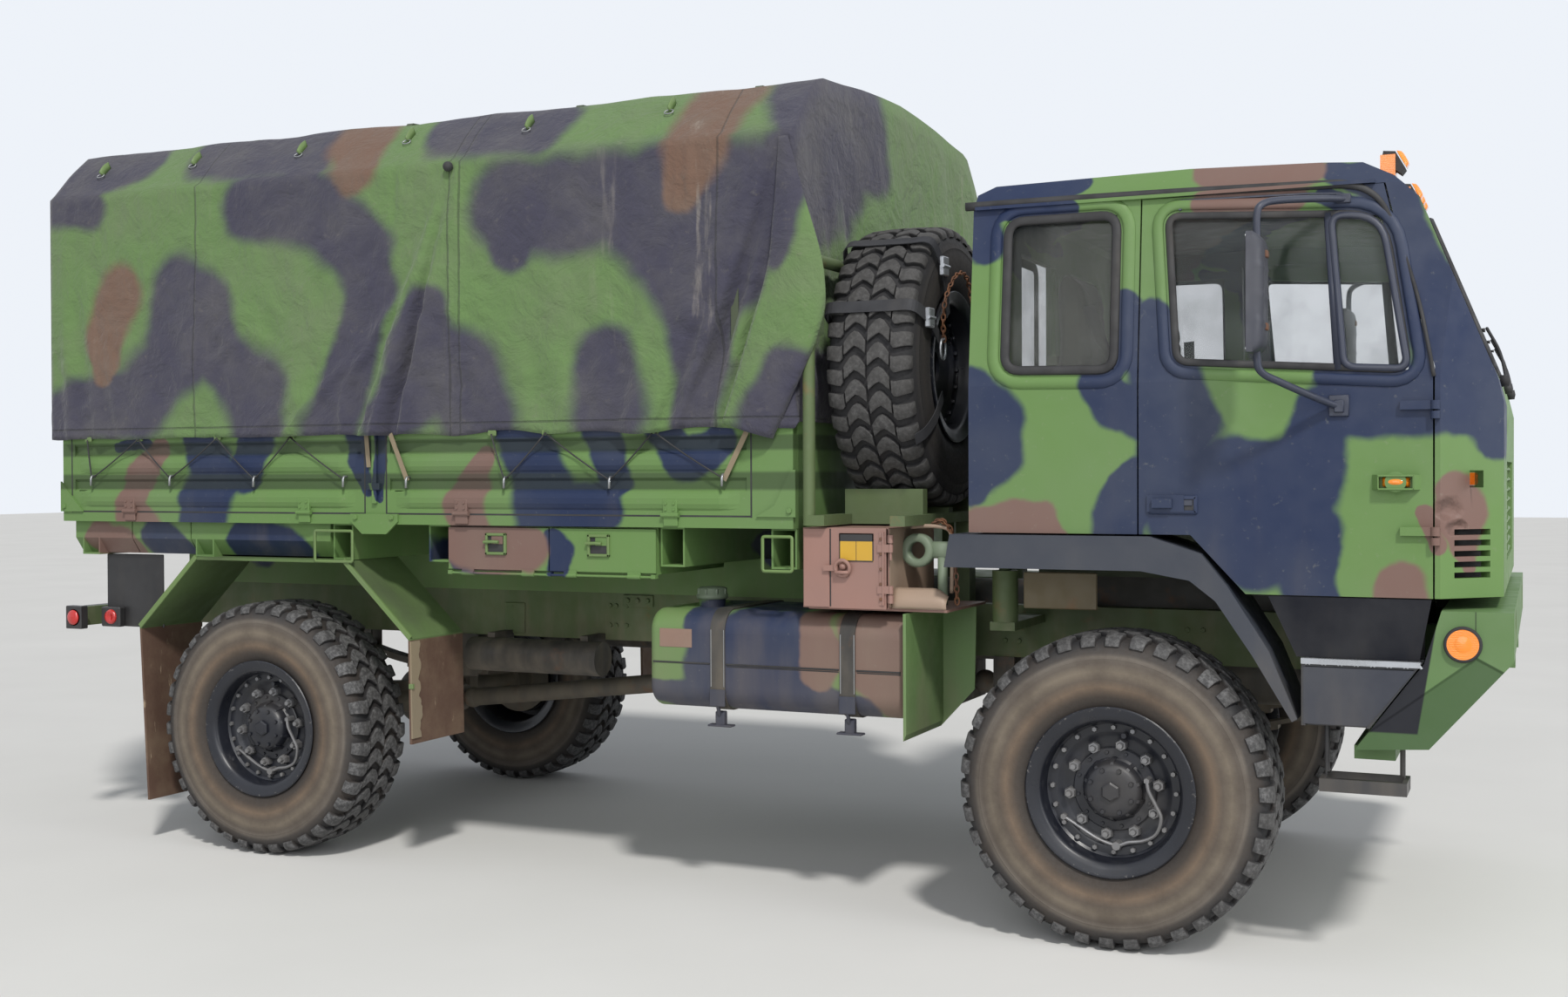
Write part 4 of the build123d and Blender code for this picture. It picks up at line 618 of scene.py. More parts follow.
def plain_paint(name, colour, rough=0.5, dust=0.3, rust=0.0, bumpy=0.12, **constants):
    """One-colour paint with fading, dust from below and, where asked, rust in spots."""
    f = Finish(name, **constants)
    shade = f.mix(f.step(f.noise(3.0, 5.0), 0.3, 0.75, 0.0, 0.35), colour,
                  tuple(0.5 * c + 0.06 for c in colour))
    _, _, z = f.axes()
    streak = f.noise(11.0, 4.0, where=f.vector("MULTIPLY", f.place, (1.0, 1.0, 0.25)))
    low = f.step(z, 0.3, 1.5, 1.0, 0.15)
    grime = f.step(streak * 0.7 + low * 0.5, 0.45, 0.95, 0.0, dust)
    shade = f.mix(grime, shade, DUST)
    if rust:
        bitten = f.step(f.noise(7.0, 7.0, 0.62), 0.62 - 0.15 * rust, 0.72, 0.0, rust)
        shade = f.mix(bitten, shade, f.mix(f.noise(40.0, 3.0), (0.16, 0.06, 0.022), (0.30, 0.13, 0.05)))
    rough_now = f.step(f.noise(16.0, 4.0), 0.3, 0.7, rough - 0.08, rough + 0.12) + grime * 0.3
    return f.feed(Base_Color=shade, Roughness=rough_now, Normal=f.bump(f.noise(120.0, 3.0), bumpy, 0.001))


cab_paint = painted("cab_camouflage", CAB_DARK, CAB_BROWN, CAB_GREEN, 0.18, DENTS)
bed_paint = painted("bed_camouflage", BED_DARK, BED_BROWN, (), 0.35, (), SHADED_BOARD_RECESSES)
green_paint = plain_paint("green_paint", GREEN, 0.5, 0.4)
green_dirty = plain_paint("green_chassis_paint", (0.085, 0.125, 0.045), 0.6, 0.75, 0.35)
black_paint = plain_paint("black_paint", (0.022, 0.024, 0.030), 0.45, 0.22)
black_dirty = plain_paint("black_chassis_paint", (0.030, 0.028, 0.026), 0.6, 0.55, 0.25)
brown_paint = plain_paint("brown_paint", (0.300, 0.165, 0.135), 0.5, 0.3)
cast_metal = plain_paint("cast_metal", (0.07, 0.068, 0.062), 0.6, 0.6, 0.4, 0.3)
rim_paint = plain_paint("rim_paint", (0.018, 0.019, 0.024), 0.42, 0.30)
blue_trim = plain_paint("navy_trim_paint", (0.022, 0.028, 0.052), 0.42, 0.2)
# Near black for the apron under the door: painted shade
apron_painted_shade = plain_paint("apron_painted_shade", (0.005, 0.006, 0.011), 0.6, 0.10, Specular_IOR_Level=0.18)
flare_paint = plain_paint("flare_paint", (0.022, 0.028, 0.044), 0.45, 0.22)
step_blue = plain_paint("grey_blue_paint", (0.024, 0.028, 0.042), 0.5, 0.16)
mirror_grey = plain_paint("mirror_grey", (0.040, 0.043, 0.058), 0.5, 0.2)
mirror_glass = plain_paint("mirror_glass", (0.75, 0.77, 0.78), 0.10, 0.05, 0.0, 0.02, Metallic=1.0)
bright_metal = plain_paint("bright_metal", (0.42, 0.44, 0.47), 0.32, 0.25, 0.0, 0.2, Metallic=0.7)
cab_inner = plain_paint("cab_inner_paint", (0.060, 0.078, 0.042), 0.6, 0.15)
seat_cloth = plain_paint("seat_cloth", (0.035, 0.040, 0.030), 0.9, 0.2, 0.0, 0.4)


def bumper_finish():
    """Green paint with painted light and shade on its side faces, where the fold is: the light upper plate ends
    at a crease, the face below it is painted in shade, and behind a slanted edge the face is painted near black
    as shadow, like the apron beside it."""
    f = Finish("bumper_paint", Specular_IOR_Level=0.35)
    x, y, z = f.axes()
    fade = f.mix(f.step(f.noise(3.0, 5.0), 0.3, 0.75), (0.105, 0.190, 0.068), (0.135, 0.215, 0.100))
    side = f.step(y * y, 1.190**2, 1.200**2)
    crease = 0.992 + (x - 2.979) * 0.777
    crease = f.least(crease, 1.114 - (x - 3.136) * 0.543)
    # Painted shade on the side face below the crease
    shaded = f.step(z - crease, -0.003, 0.003, 1.0, 0.0) * side
    green = f.mix(shaded * 0.62, fade, (0.026, 0.060, 0.022))
    # Painted shadow: the side face behind the slanted edge is near black
    behind = (f.step(x - (2.958 + (z - 0.871) * 0.161), -0.003, 0.003, 1.0, 0.0) * f.step(z, 0.845, 0.853)
              * side)
    seam = f.step(f.absolute(x - 3.134), 0.0015, 0.003, 1.0, 0.0) * side * f.step(z, 1.110, 1.116)
    black = f.mix(seam * 0.7, f.mix(behind, green, (0.008, 0.009, 0.014)), (0.02, 0.03, 0.018))
    return f.feed(Base_Color=black, Roughness=f.step(f.noise(14.0, 4.0), 0.3, 0.7, 0.48, 0.62),
                  Normal=f.bump(f.step(z - crease, -0.012, 0.0), 0.6, 0.010))


bumper_paint = bumper_finish()


def lens(name, colour):
    """Coloured lamp glass with fine flutes."""
    f = Finish(name, Roughness=0.12, Coat_Weight=0.6, Coat_Roughness=0.06, IOR=1.5)
    flutes = f.waves("Z", 55.0)
    shade = f.mix(f.noise(20.0, 2.0), colour, tuple(min(1.0, 1.35 * c) for c in colour))
    return f.feed(Base_Color=shade, Normal=f.bump(flutes, 0.3, 0.0015))


amber = lens("amber_lens", (0.86, 0.22, 0.012))
red = lens("red_lens", (0.42, 0.015, 0.012))


def window(name, tint, alpha_low, alpha_high):
    """Glass that shows the cab through it, with a patchy film of dust."""
    f = Finish(name, Roughness=0.04, IOR=1.45, Specular_IOR_Level=0.6)
    film = f.step(f.noise(3.5, 5.0), 0.35, 0.8)
    f.material.surface_render_method = "BLENDED"
    return f.feed(Base_Color=f.mix(film, tint, tuple(1.4 * c for c in tint)),
                  Alpha=f.step(film, 0.0, 1.0, alpha_low, alpha_high), Roughness=film * 0.12 + 0.03)


clear_glass = window("clear_glass", (0.10, 0.12, 0.12), 0.10, 0.22)
smoky_glass = window("smoky_glass", (0.075, 0.080, 0.072), 0.20, 0.34)


def dress(node, finish):
    """Give a solid of the frame its finish."""
    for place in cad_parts[node].material_slots:
        place.link = "DATA"
        place.material = finish


RIMS = " ".join(f"rim_{axle}_{name}" for axle, _ in AXLES for name, _ in SIDES)
for finish, nodes in (
        (cab_paint, "cab_roof cab_walls cab_front door_right door_left"),
        (bed_paint, "cargo_bed side_boards tailgate"),
        (green_paint, "grille"),
        (bumper_paint, "front_bumper"),
        (green_dirty, "frame_rails rear_hitch spare_carrier battery_box"),
        (brown_paint, "equipment_box equipment_door"),
        (cast_metal, "engine driveline front_axle rear_axle"),
        (black_dirty, "leaf_springs knuckle_right knuckle_left tie_rod air_tanks tank_straps"),
        (black_paint, "steps mirror_right mirror_left steering_wheel tail_lamps"),
        (cab_inner, "cab_floor seat_frames dashboard cover_bows"),
        (flare_paint, "arch_flares"),
        (seat_cloth, "seats"),
        (smoky_glass, "cab_glass"),
        (clear_glass, "door_glass_right door_glass_left"),
        (amber, "bumper_lamps cab_lamps"),
        (rim_paint, "spare_rim " + RIMS)):
    for node in nodes.split():
        dress(node, finish)


# Tyres: a smooth carcass with four rows of chevron lugs
CARCASS = np.array([(0.150, 0.268), (0.158, 0.300), (0.170, 0.322), (0.184, 0.352), (0.1905, 0.395),
                    (0.1900, 0.430), (0.1865, 0.465), (0.1835, 0.478), (0.1845, 0.482), (0.1825, 0.487),
                    (0.1780, 0.505), (0.1700, 0.524), (0.1570, 0.541), (0.1350, 0.550), (0.0950, 0.5535),
                    (0.0500, 0.5550), (0.0, 0.5555)])
LUG_PITCHES = 38


def crown(s):
    """Point and outward direction on the tread at a distance s across it from its middle: flat in the middle,
    then bending down over the shoulder, as the carcass section does."""
    line = CARCASS[::-1][:9]
    run = np.concatenate([[0], np.cumsum(np.linalg.norm(np.diff(line, axis=0), axis=1))])
    s = np.asarray(s, float)
    w, r = np.interp(s, run, line[:, 0]), np.interp(s, run, line[:, 1])
    ahead, behind = np.clip(s + 0.012, 0, run[-1]), np.clip(s - 0.012, 0, run[-1])
    dw = np.interp(ahead, run, line[:, 0]) - np.interp(behind, run, line[:, 0])
    dr = np.interp(ahead, run, line[:, 1]) - np.interp(behind, run, line[:, 1])
    size = np.hypot(dw, dr) + 1e-9
    return w, r, -dr / size, dw / size


def lug_row(stations, lo, hi, heights, phase, side):
    """One row of lugs round the tyre. A lug is a section of eight points carried across the tread through the
    stations: foot, wall, cut corner and top on each edge, its two edges following lo and hi."""
    s, lo, hi, heights = (np.asarray(v, float) for v in (stations, lo, hi, heights))
    w, r, nw, nr = crown(s)
    edge, cut = 0.0035, 0.0022
    across = np.stack([lo - 0.004, lo - 0.001, lo + edge, hi - edge, hi + 0.001, hi + 0.004], 1)
    foot = np.full_like(s, -0.006)
    rise = np.stack([foot, heights - cut, heights, heights, heights - cut, foot], 1)
    top = np.stack([0 * s, 0.8 + 0 * s, 1 + 0 * s, 1 + 0 * s, 0.8 + 0 * s, 0 * s], 1)
    radius = r[:, None] + nr[:, None] * rise
    along = (w[:, None] + nw[:, None] * rise) * side
    angle = phase + (np.arange(LUG_PITCHES) * 2 * pi / LUG_PITCHES)[:, None, None] + across[None] / 0.565
    points = np.stack([radius[None] * np.cos(angle), np.broadcast_to(along[None], angle.shape),
                       radius[None] * np.sin(angle)], -1)
    marks = np.stack([np.broadcast_to(radius[None], angle.shape), np.broadcast_to(top[None], angle.shape),
                      angle], -1)
    n, m = across.shape
    one = grid_faces(n, m, close_cols=True).tolist() + [list(range(m))[::-1], list(range((n - 1) * m, n * m))]
    one = [f[::-1] for f in one] if side < 0 else one
    faces = [[k * n * m + i for i in f] for k in range(LUG_PITCHES) for f in one]
    return points.reshape(-1, 3), faces, marks.reshape(-1, 3)


def tyre_arrays():
    """Points round the Y axis at the origin, faces and marks (radius, lug top, angle) of a whole tyre."""
    outer = np.vstack([CARCASS * (-1, 1), CARCASS[::-1][1:]])
    inner = np.array([(0.128, 0.262), (0.150, 0.345), (0.165, 0.41), (0.158, 0.475), (0.13, 0.515),
                      (0.0, 0.528)])
    ring = np.vstack([outer, inner, (inner * (-1, 1))[::-1][1:]])
    count = 96
    a = np.arange(count) * 2 * pi / count
    points = np.stack([ring[:, 1][:, None] * np.cos(a), np.broadcast_to(ring[:, :1], (len(ring), count)),
                       ring[:, 1][:, None] * np.sin(a)], -1).reshape(-1, 3)
    marks = np.stack([np.broadcast_to(ring[:, 1:2], (len(ring), count)), np.zeros((len(ring), count)),
                      np.broadcast_to(a, (len(ring), count))], -1).reshape(-1, 3)
    groups = [(points, grid_faces(len(ring), count, close_rows=True, close_cols=True)[:, ::-1].tolist(),
               marks)]
    pitch = 2 * pi * 0.565 / LUG_PITCHES
    for side in (-1, 1):
        shift = 0.0 if side < 0 else pi / LUG_PITCHES
        shoulder = (0.098, 0.108, 0.120, 0.134, 0.148, 0.160, 0.170, 0.180)
        ripple = np.array([0.010, -0.002, -0.002, 0.002, 0.005, 0.007, 0.008, 0.009])
        width = np.array([0.52, 0.60, 0.62, 0.60, 0.58, 0.56, 0.55, 0.54]) * pitch
        groups.append(lug_row(shoulder, ripple, ripple + width,
                              (0.0185, 0.0185, 0.0190, 0.0200, 0.0200, 0.0185, 0.0150, 0.0080), shift, side))
        chevron = (0.0045, 0.018, 0.034, 0.050, 0.066, 0.080, 0.0915)
        bend = np.array([0.000, 0.012, 0.024, 0.031, 0.020, 0.006, -0.002])
        width = np.array([0.50, 0.58, 0.62, 0.60, 0.62, 0.60, 0.50]) * pitch
        groups.append(lug_row(chevron, bend, bend + width, (0.0190,) * 6 + (0.0186,), shift + 0.5 * pitch,
                              side))
    points, faces, marks, start = [], [], [], 0
    for p, f, m in groups:
        points.append(p)
        marks.append(m)
        faces += [[start + i for i in face] for face in f]
        start += len(p)
    return np.vstack(points), faces, np.vstack(marks)


def tyre_rubber(name, tan, dusty):
    """Rubber with tan dust in rings on its side walls, pale worn lug tops and dark grooves."""
    f = Finish(name, Specular_IOR_Level=0.35)
    mark = f.node("ShaderNodeAttribute", {"attribute_name": "marks"}, {}, 1)
    radius, top, _ = f.axes(mark)
    rings = f.noise(3.5, 4.0)
    cloud = f.noise(6.5, 5.0, 0.6)
    wall = f.node("ShaderNodeValToRGB", {"stops": (
        (0.00, (0.034, 0.030, 0.028)), (0.08, (0.055, 0.045, 0.038)), (0.24, (0.165, 0.120, 0.085)),
        (0.40, (0.115, 0.093, 0.074)), (0.58, (0.180, 0.150, 0.115)), (0.74, (0.110, 0.092, 0.076)),
        (0.86, (0.140, 0.122, 0.104)), (0.91, (0.060, 0.054, 0.050)), (1.00, (0.024, 0.024, 0.026)))},
        {0: f.step(radius + (rings - 0.5) * 0.02, 0.300, 0.550)})
    dull = f.mix(f.step(cloud, 0.35, 0.72, 0.0, 0.55), wall, (0.060, 0.047, 0.038))
    base = f.mix(tan, (0.022, 0.022, 0.024), dull)
    grit = f.noise(60.0, 4.0, 0.7)
    worn = f.mix(f.step(grit, 0.35, 0.75), (0.055, 0.056, 0.060), (0.24, 0.24, 0.245))
    tread = f.mix(f.step(cloud, 0.2, 0.8, 0.35, 0.85) * dusty, (0.040, 0.038, 0.036), worn)
    colour = f.mix(f.step(top, 0.4, 0.95), base, tread)
    return f.feed(Base_Color=colour, Roughness=f.step(grit, 0.2, 0.8, 0.62, 0.88),
                  Normal=f.bump(f.noise(170.0, 3.0), 0.35, 0.0012, f.bump(cloud, 0.15, 0.004)))


road_rubber = tyre_rubber("tyre_road_rubber", 1.0, 0.9)
spare_rubber = tyre_rubber("tyre_spare_rubber", 0.14, 0.42)
TYRE_POINTS, TYRE_FACES, TYRE_MARKS = tyre_arrays()


def on_spare(points):
    """Points of a wheel turned so that its outboard side faces forward, at the spare's place."""
    return np.stack([points[:, 1], -points[:, 0], points[:, 2]], 1) + SPARE


def place_tyre(name, node, body, finish, points):
    """A whole tyre with its points moved to its wheel."""
    piece = put(name, points, TYRE_FACES, finish, body)
    marks = piece.data.attributes.new("marks", "FLOAT_VECTOR", "POINT")
    marks.data.foreach_set("vector", TYRE_MARKS.ravel())
    smooth_by_angle(piece, 32)
    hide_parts(node)


for axle, wheel_x in AXLES:
    for name, sign in SIDES:
        place_tyre(f"tread_{axle}_{name}", f"tyre_{axle}_{name}", f"wheel_{axle}_{name}", road_rubber,
                   TYRE_POINTS + (wheel_x, sign * TRACK_Y, WHEEL_Z))
place_tyre("tread_spare", "spare_tyre", "chassis", spare_rubber, on_spare(TYRE_POINTS))


# Cargo cover: one sheet over the bows, hung down the sides and round both ends
CLOTH = 0.003
COVER_BACK, COVER_FRONT = -3.245, 0.682
HALF, CREASE, HEM = 1.200, 3.055, 1.895
ROOF_LINE = ((HALF, CREASE), (1.08, 3.195), (0.95, 3.318), (0.50, 3.360), (0.0, 3.386))


def fold(x, z, top, foot, width, depth, sharp=0.0):
    """Ridge along the line from top to foot, (x, z) pairs, highest at its foot: a bell across the line, cut
    off on one side by sharp."""
    down = np.clip((top[1] - z) / (top[1] - foot[1]), 0, 1.15)
    off = x - (top[0] + (foot[0] - top[0]) * down)
    bell = np.exp(-(off / width) ** 2)
    if sharp:
        bell = np.where(off * sharp > 0, np.exp(-(off / (0.16 * width)) ** 2), bell)
    return depth * bell * np.clip(down, 0, 1) ** 0.8 * (z < top[1] + 0.02)


# Folds of the side: top and foot as (x, z), width, depth, which is below 0 in a slot, and the side cut off
# sharp
FOLDS = (
    ((-0.915, 3.03), (-1.36, 1.90), 0.15, 0.050, -1), ((-0.911, 3.03), (-1.285, 1.90), 0.030, 0.030),
    ((-0.905, 3.03), (-1.215, 1.90), 0.028, -0.080), ((-0.895, 3.03), (-1.150, 1.90), 0.040, 0.030),
    ((-0.950, 2.75), (-1.40, 2.20), 0.030, 0.022), ((-1.10, 2.55), (-1.75, 1.95), 0.030, 0.020),
    ((-1.14, 2.35), (-2.00, 1.92), 0.022, 0.014), ((-0.885, 3.03), (-0.945, 1.90), 0.020, 0.010),
    ((-0.865, 3.03), (-0.865, 1.90), 0.020, 0.010), ((0.55, 3.02), (0.06, 1.90), 0.16, 0.045, 1),
    ((0.615, 3.02), (0.185, 1.90), 0.060, 0.050, 1), ((0.635, 3.02), (0.260, 1.90), 0.045, -0.075),
    ((0.645, 3.02), (0.345, 1.90), 0.035, 0.030), ((0.655, 3.02), (0.430, 1.90), 0.050, -0.055),
    ((-3.16, 2.98), (-3.10, 1.90), 0.045, 0.034), ((-3.05, 2.85), (-2.92, 1.90), 0.035, 0.026),
    ((-2.93, 2.60), (-2.78, 1.90), 0.030, 0.020), ((-2.30, 2.70), (-2.42, 1.90), 0.080, 0.024),
    ((-2.05, 2.50), (-2.16, 1.90), 0.035, 0.016), ((-1.78, 2.60), (-1.72, 1.90), 0.070, 0.026),
    ((-0.60, 2.45), (-0.52, 1.90), 0.040, 0.016), ((-0.42, 2.70), (-0.36, 1.90), 0.080, 0.022),
    ((-0.16, 2.40), (-0.20, 1.90), 0.035, 0.016), ((0.05, 2.60), (-0.03, 1.90), 0.040, 0.018),
)


def side_drape(x, z):
    """How far the side hangs out: slow billows between the bows, the deep slot below the knob with the cloth
    gathered on both sides of it, the pleats of the front corner and small ones that open towards the hem."""
    down = np.clip((CREASE - z) / (CREASE - HEM), 0, 1)
    out = 0.014 * down * wobble(x, z * 0.25, 5, 2, 0.9)
    out += 0.009 * down * wobble(x + 0.5 * z, z * 0.4, 8, 2, 0.35)
    out += 0.004 * wobble(x + 0.3 * z, z, 11, 3, 0.16) * (0.3 + down)
    for fold_line in FOLDS:
        out += fold(x, z, *fold_line)
    gather = np.clip((z - 2.55) / 0.45, 0, 1) * np.clip((3.06 - z) / 0.05, 0, 1)
    out += 0.0045 * gather * wobble(x, z * 0.08, 19, 2, 0.11)
    wrinkles = 0.0065 * wobble(0.8 * x + 0.6 * z, z - 0.5 * x, 53, 4, 0.22) * wobble(x, z, 59, 2, 0.7)
    wrinkles += 0.0035 * wobble(0.4 * x - 0.9 * z, x, 61, 3, 0.13) * wobble(x, z, 67, 2, 0.5)
    out += wrinkles * np.clip(down * 4, 0, 1)
    near_hem = np.clip((2.22 - z) / 0.18, 0, 1)
    floor = -0.06 + 0.066 * near_hem
    return np.maximum(out + 0.006, floor) + 0.004 * np.exp(-np.abs(out + 0.006 - floor) / 0.01)


def hem_line(x):
    """Height of the hem: scallops between the lacing eyelets and slow unevenness."""
    return HEM + 0.010 * wobble(x, x * 0.0, 3, 2, 0.8) + 0.008 * np.abs(np.sin(pi * (x + 3.2) / 0.46))


def cover_sheet(points_across=18, points_down=52, points_along=290):
    """One grid: across runs from the right hem up the side, over the roof and down to the left hem; along
    runs from the back edge to the front, closer together where the folds are. The side follows side_drape,
    the roof sags between the bows."""
    even = np.linspace(COVER_BACK, COVER_FRONT, 2000)
    crowd = 1 + 2.2 * np.exp(-((even + 1.12) / 0.22) ** 2) + 2.2 * np.exp(-((even - 0.42) / 0.25) ** 2)
    share = np.concatenate([[0], np.cumsum(0.5 * (crowd[1:] + crowd[:-1]))])
    x = np.interp(np.linspace(0, share[-1], points_along), share, even)
    down = np.linspace(0, 1, points_down)
    side_z = hem_line(x)[None, :] + (CREASE - hem_line(x))[None, :] * down[:, None]
    side_x = np.broadcast_to(x, side_z.shape)
    roof_y, roof_z = (np.interp(np.linspace(0, 4, points_across)[1:], np.arange(5), line)
                      for line in zip(*ROOF_LINE))
    bows = np.abs(np.sin(pi * (x - COVER_BACK) / (COVER_FRONT - COVER_BACK) * 5)) ** 1.5
    sag = 0.020 * bows[None, :] * (0.25 + 0.75 * (1 - (roof_y / HALF) ** 2))[:, None]
    ripple = 0.004 * wobble(x[None, :], roof_y[:, None], 21, 3, 0.6)
    rz = roof_z[:, None] - sag + ripple - 0.004
    ry = np.broadcast_to(roof_y[:, None], rz.shape)
    rx = np.broadcast_to(x, rz.shape)
    halves = []
    for sign in (-1, 1):
        # The left side hangs as the right one seen from behind
        drape = side_drape(side_x if sign < 0 else -2.6 - side_x, side_z)
        ease = np.clip((COVER_FRONT - side_x) / 0.10, 0, 1) * np.clip((side_x - COVER_BACK) / 0.10, 0, 1)
        lower = np.stack([side_x, sign * (HALF + drape * ease**0.5), side_z], -1)
        upper = np.stack([rx, sign * ry, rz], -1)
        halves.append(np.concatenate([lower, upper], 0))
    return np.concatenate([halves[0], halves[1][::-1][1:]], 0)


def end_curtain(edge, low_z, bulge, seed):
    """Front or back wall of the cover: each point of the edge is drawn towards its own place on the lower
    hem, so that the rows fan out; pleats and a slow billow push the wall out."""
    n = len(edge)
    t = np.linspace(0, 1, n)
    steps = np.linspace(0, 1, 32) ** 0.85
    target_y = edge[0, 1] + (edge[-1, 1] - edge[0, 1]) * t
    target = np.stack([np.full(n, edge[:, 0].mean()), target_y, np.full(n, low_z)], 1)
    grid = edge[:, None] + (target - edge)[:, None] * steps[None, :, None]
    y, z = grid[..., 1], grid[..., 2]
    envelope = np.sin(pi * np.clip(steps, 0, 1)) ** 0.5
    out = bulge * (0.5 + 0.5 * np.cos(pi * y / 1.3)) * envelope[None, :]
    out = out + 0.012 * envelope[None, :] * wobble(y, z * 0.35, seed, 3, 0.5) * np.sign(bulge)
    out = out + 0.009 * envelope[None, :] * wobble(y + 0.25 * z, z * 0.12, seed + 3, 3, 0.15)
    grid[..., 0] += out
    return grid


def canvas_finish():
    """Woven canvas with soft sprayed patches, seams, scuffs from the bows, and pale dusty blotches."""
    f = Finish("cover_canvas", Sheen_Weight=0.15, Sheen_Roughness=0.6, Specular_IOR_Level=0.22)
    colour = camouflage(f, CANVAS_DARK, CANVAS_BROWN, (), 0.26, (CANVAS_GREEN, CANVAS_GREY, CANVAS_TAN))
    x, _, z = f.axes()
    faded = f.mix(f.step(f.noise(2.6, 6.0, 0.62), 0.35, 0.75, 0.0, 0.30), colour, (0.16, 0.155, 0.13))
    streak = f.noise(7.0, 5.0, 0.65, where=f.vector("MULTIPLY", f.place, (1.0, 1.0, 0.12)))
    front = f.step(x, -0.35, 0.15) * f.step(x, 0.95, 0.25)
    scuffs = f.step(streak, 0.60, 0.72) * (0.12 + front * 0.75) * f.step(z, 1.9, 2.5)
    scuffed = f.mix(scuffs * 0.55, faded, (0.34, 0.31, 0.27))
    blotch = f.step(f.noise(22.0, 5.0, 0.7), 0.58, 0.78, 0.0, 0.30)
    dusty = f.mix(blotch, scuffed, (0.20, 0.185, 0.15))
    warp, weft = f.waves("X", 240.0), f.waves("Z", 240.0)
    weave = warp * 0.5 + weft * 0.5
    creases = f.noise(5.5, 6.0, 0.60, 0.6)
    # Seams: down the side at four places and along the hem, each a dark line with puckers beside it
    seam = None
    for at in (-2.33, -0.915, -0.862, 0.36):
        near = f.absolute(x - at)
        seam = near if seam is None else f.least(seam, near)
    seam = f.least(seam, f.absolute(z - 1.945))
    line = f.step(seam, 0.0025, 0.006, 1.0, 0.0)
    pucker = f.step(seam, 0.0, 0.05, 1.0, 0.0) * f.noise(30.0, 2.0)
    dusty = f.mix(line * 0.45, dusty, (0.02, 0.022, 0.02))
    wrinkle = f.noise(16.0, 4.0, 0.55, 1.2)
    normal = f.bump(line * -1.0 + pucker * 0.8, 0.6, 0.006, f.bump(wrinkle, 0.60, 0.010))
    normal = f.bump(weave, 0.16, 0.0008, f.bump(creases, 0.85, 0.030, normal))
    return f.feed(Base_Color=dusty, Roughness=f.step(creases, 0.2, 0.8, 0.80, 0.94), Normal=normal)


canvas = canvas_finish()
side_grid = cover_sheet()
front_grid = end_curtain(side_grid[:, -1], 1.93, 0.030, seed=31)
back_grid = end_curtain(side_grid[:, 0], 2.06, -0.030, seed=37)
walls = joined([(g.reshape(-1, 3), grid_faces(*g.shape[:2]).tolist())
                for g in (side_grid, front_grid, back_grid)])
cover = outward(put("cover_sheet", *walls, canvas, "chassis", slot="canvas"), weld=0.0004)
thicken(cover, CLOTH, 1.0)
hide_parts("cargo_cover")
round(area_of(cover), 2)


# The front corner's loose flap, hung outside the side's pleats
def corner_flap(rows=70, cols=18):
    """Strip of canvas between a left and a right edge, both curves of (x, z) with height: across, it bows out
    and back as a half sine, and it twists further out towards its foot."""
    left = smooth_path([(0.630, 3.035), (0.612, 2.75), (0.583, 2.50), (0.490, 2.20), (0.400, 1.925)], rows)
    right = smooth_path([(0.668, 3.035), (0.738, 2.80), (0.822, 2.50), (0.792, 2.26), (0.600, 1.862)], rows)
    u = np.linspace(0, 1, cols)[None, :]
    v = np.linspace(0, 1, rows)[:, None]
    flat = left[:, None] + (right - left)[:, None] * u[..., None]
    out = 1.213 + 0.018 * v + 0.030 * np.sin(pi * u) * np.sqrt(v) + 0.030 * v * (1 - u)
    out = out + 0.007 * wobble(flat[..., 0], flat[..., 1] * 0.5, 41, 3, 0.22) * v
    out = out - 0.035 * np.clip(v - 0.45, 0, 1) * (u > 0.999)
    return np.stack([flat[..., 0], -out, flat[..., 1]], -1)


for name, sign in SIDES:
    flap = corner_flap() * (1, -sign, 1)
    piece = put(f"cover_flap_{name}", flap.reshape(-1, 3), grid_faces(*flap.shape[:2]).tolist(), canvas,
                "chassis", slot="canvas", flip=sign < 0)
    thicken(piece, CLOTH)
    round(area_of(piece), 3)


# Rims: a deep dish with a ring of bolts, wheel nuts, a finned hub cap and the tyre's air lines
RIM_LINE = ((0.1785, 0.3020), (0.1785, 0.3060), (0.1750, 0.3100), (0.1690, 0.3085), (0.1670, 0.3000),
            (0.1640, 0.2700), (0.1580, 0.2640), (-0.1580, 0.2640), (-0.1640, 0.2700), (-0.1670, 0.3000),
            (-0.1690, 0.3085), (-0.1750, 0.3100), (-0.1785, 0.3060), (-0.1770, 0.2990), (-0.1600, 0.2550),
            (-0.1500, 0.2480), (0.0300, 0.2450), (0.0520, 0.2380), (0.0600, 0.2050), (0.0600, 0.0700),
            (0.0760, 0.0700), (0.0765, 0.1820), (0.0800, 0.1960), (0.0900, 0.2080), (0.0920, 0.2140),
            (0.0930, 0.2380), (0.1000, 0.2470), (0.1200, 0.2510), (0.1500, 0.2530), (0.1620, 0.2570),
            (0.1700, 0.2660), (0.1740, 0.2800), (0.1770, 0.2960))
CAP_LINE = ((0.0700, 0.0), (0.0700, 0.1520), (0.0850, 0.1520), (0.0880, 0.1480), (0.0885, 0.1160),
            (0.0960, 0.1080), (0.1180, 0.1050), (0.1330, 0.0980), (0.1420, 0.0860), (0.1450, 0.0700),
            (0.1460, 0.0480), (0.1460, 0.0))
DRUM_LINE = ((-0.0600, 0.1500), (-0.0600, 0.1950), (-0.0520, 0.2040), (-0.0300, 0.2050), (-0.0270, 0.2000),
             (-0.0200, 0.2000), (-0.0170, 0.2050), (0.0590, 0.2050), (0.0590, 0.1500))


def round_spots(count, radius, along, start=0.0):
    """Points spread evenly on a circle about the Y axis."""
    a = start + np.arange(count) * 2 * pi / count
    return np.stack([radius * np.cos(a), np.full(count, along), radius * np.sin(a)], 1)


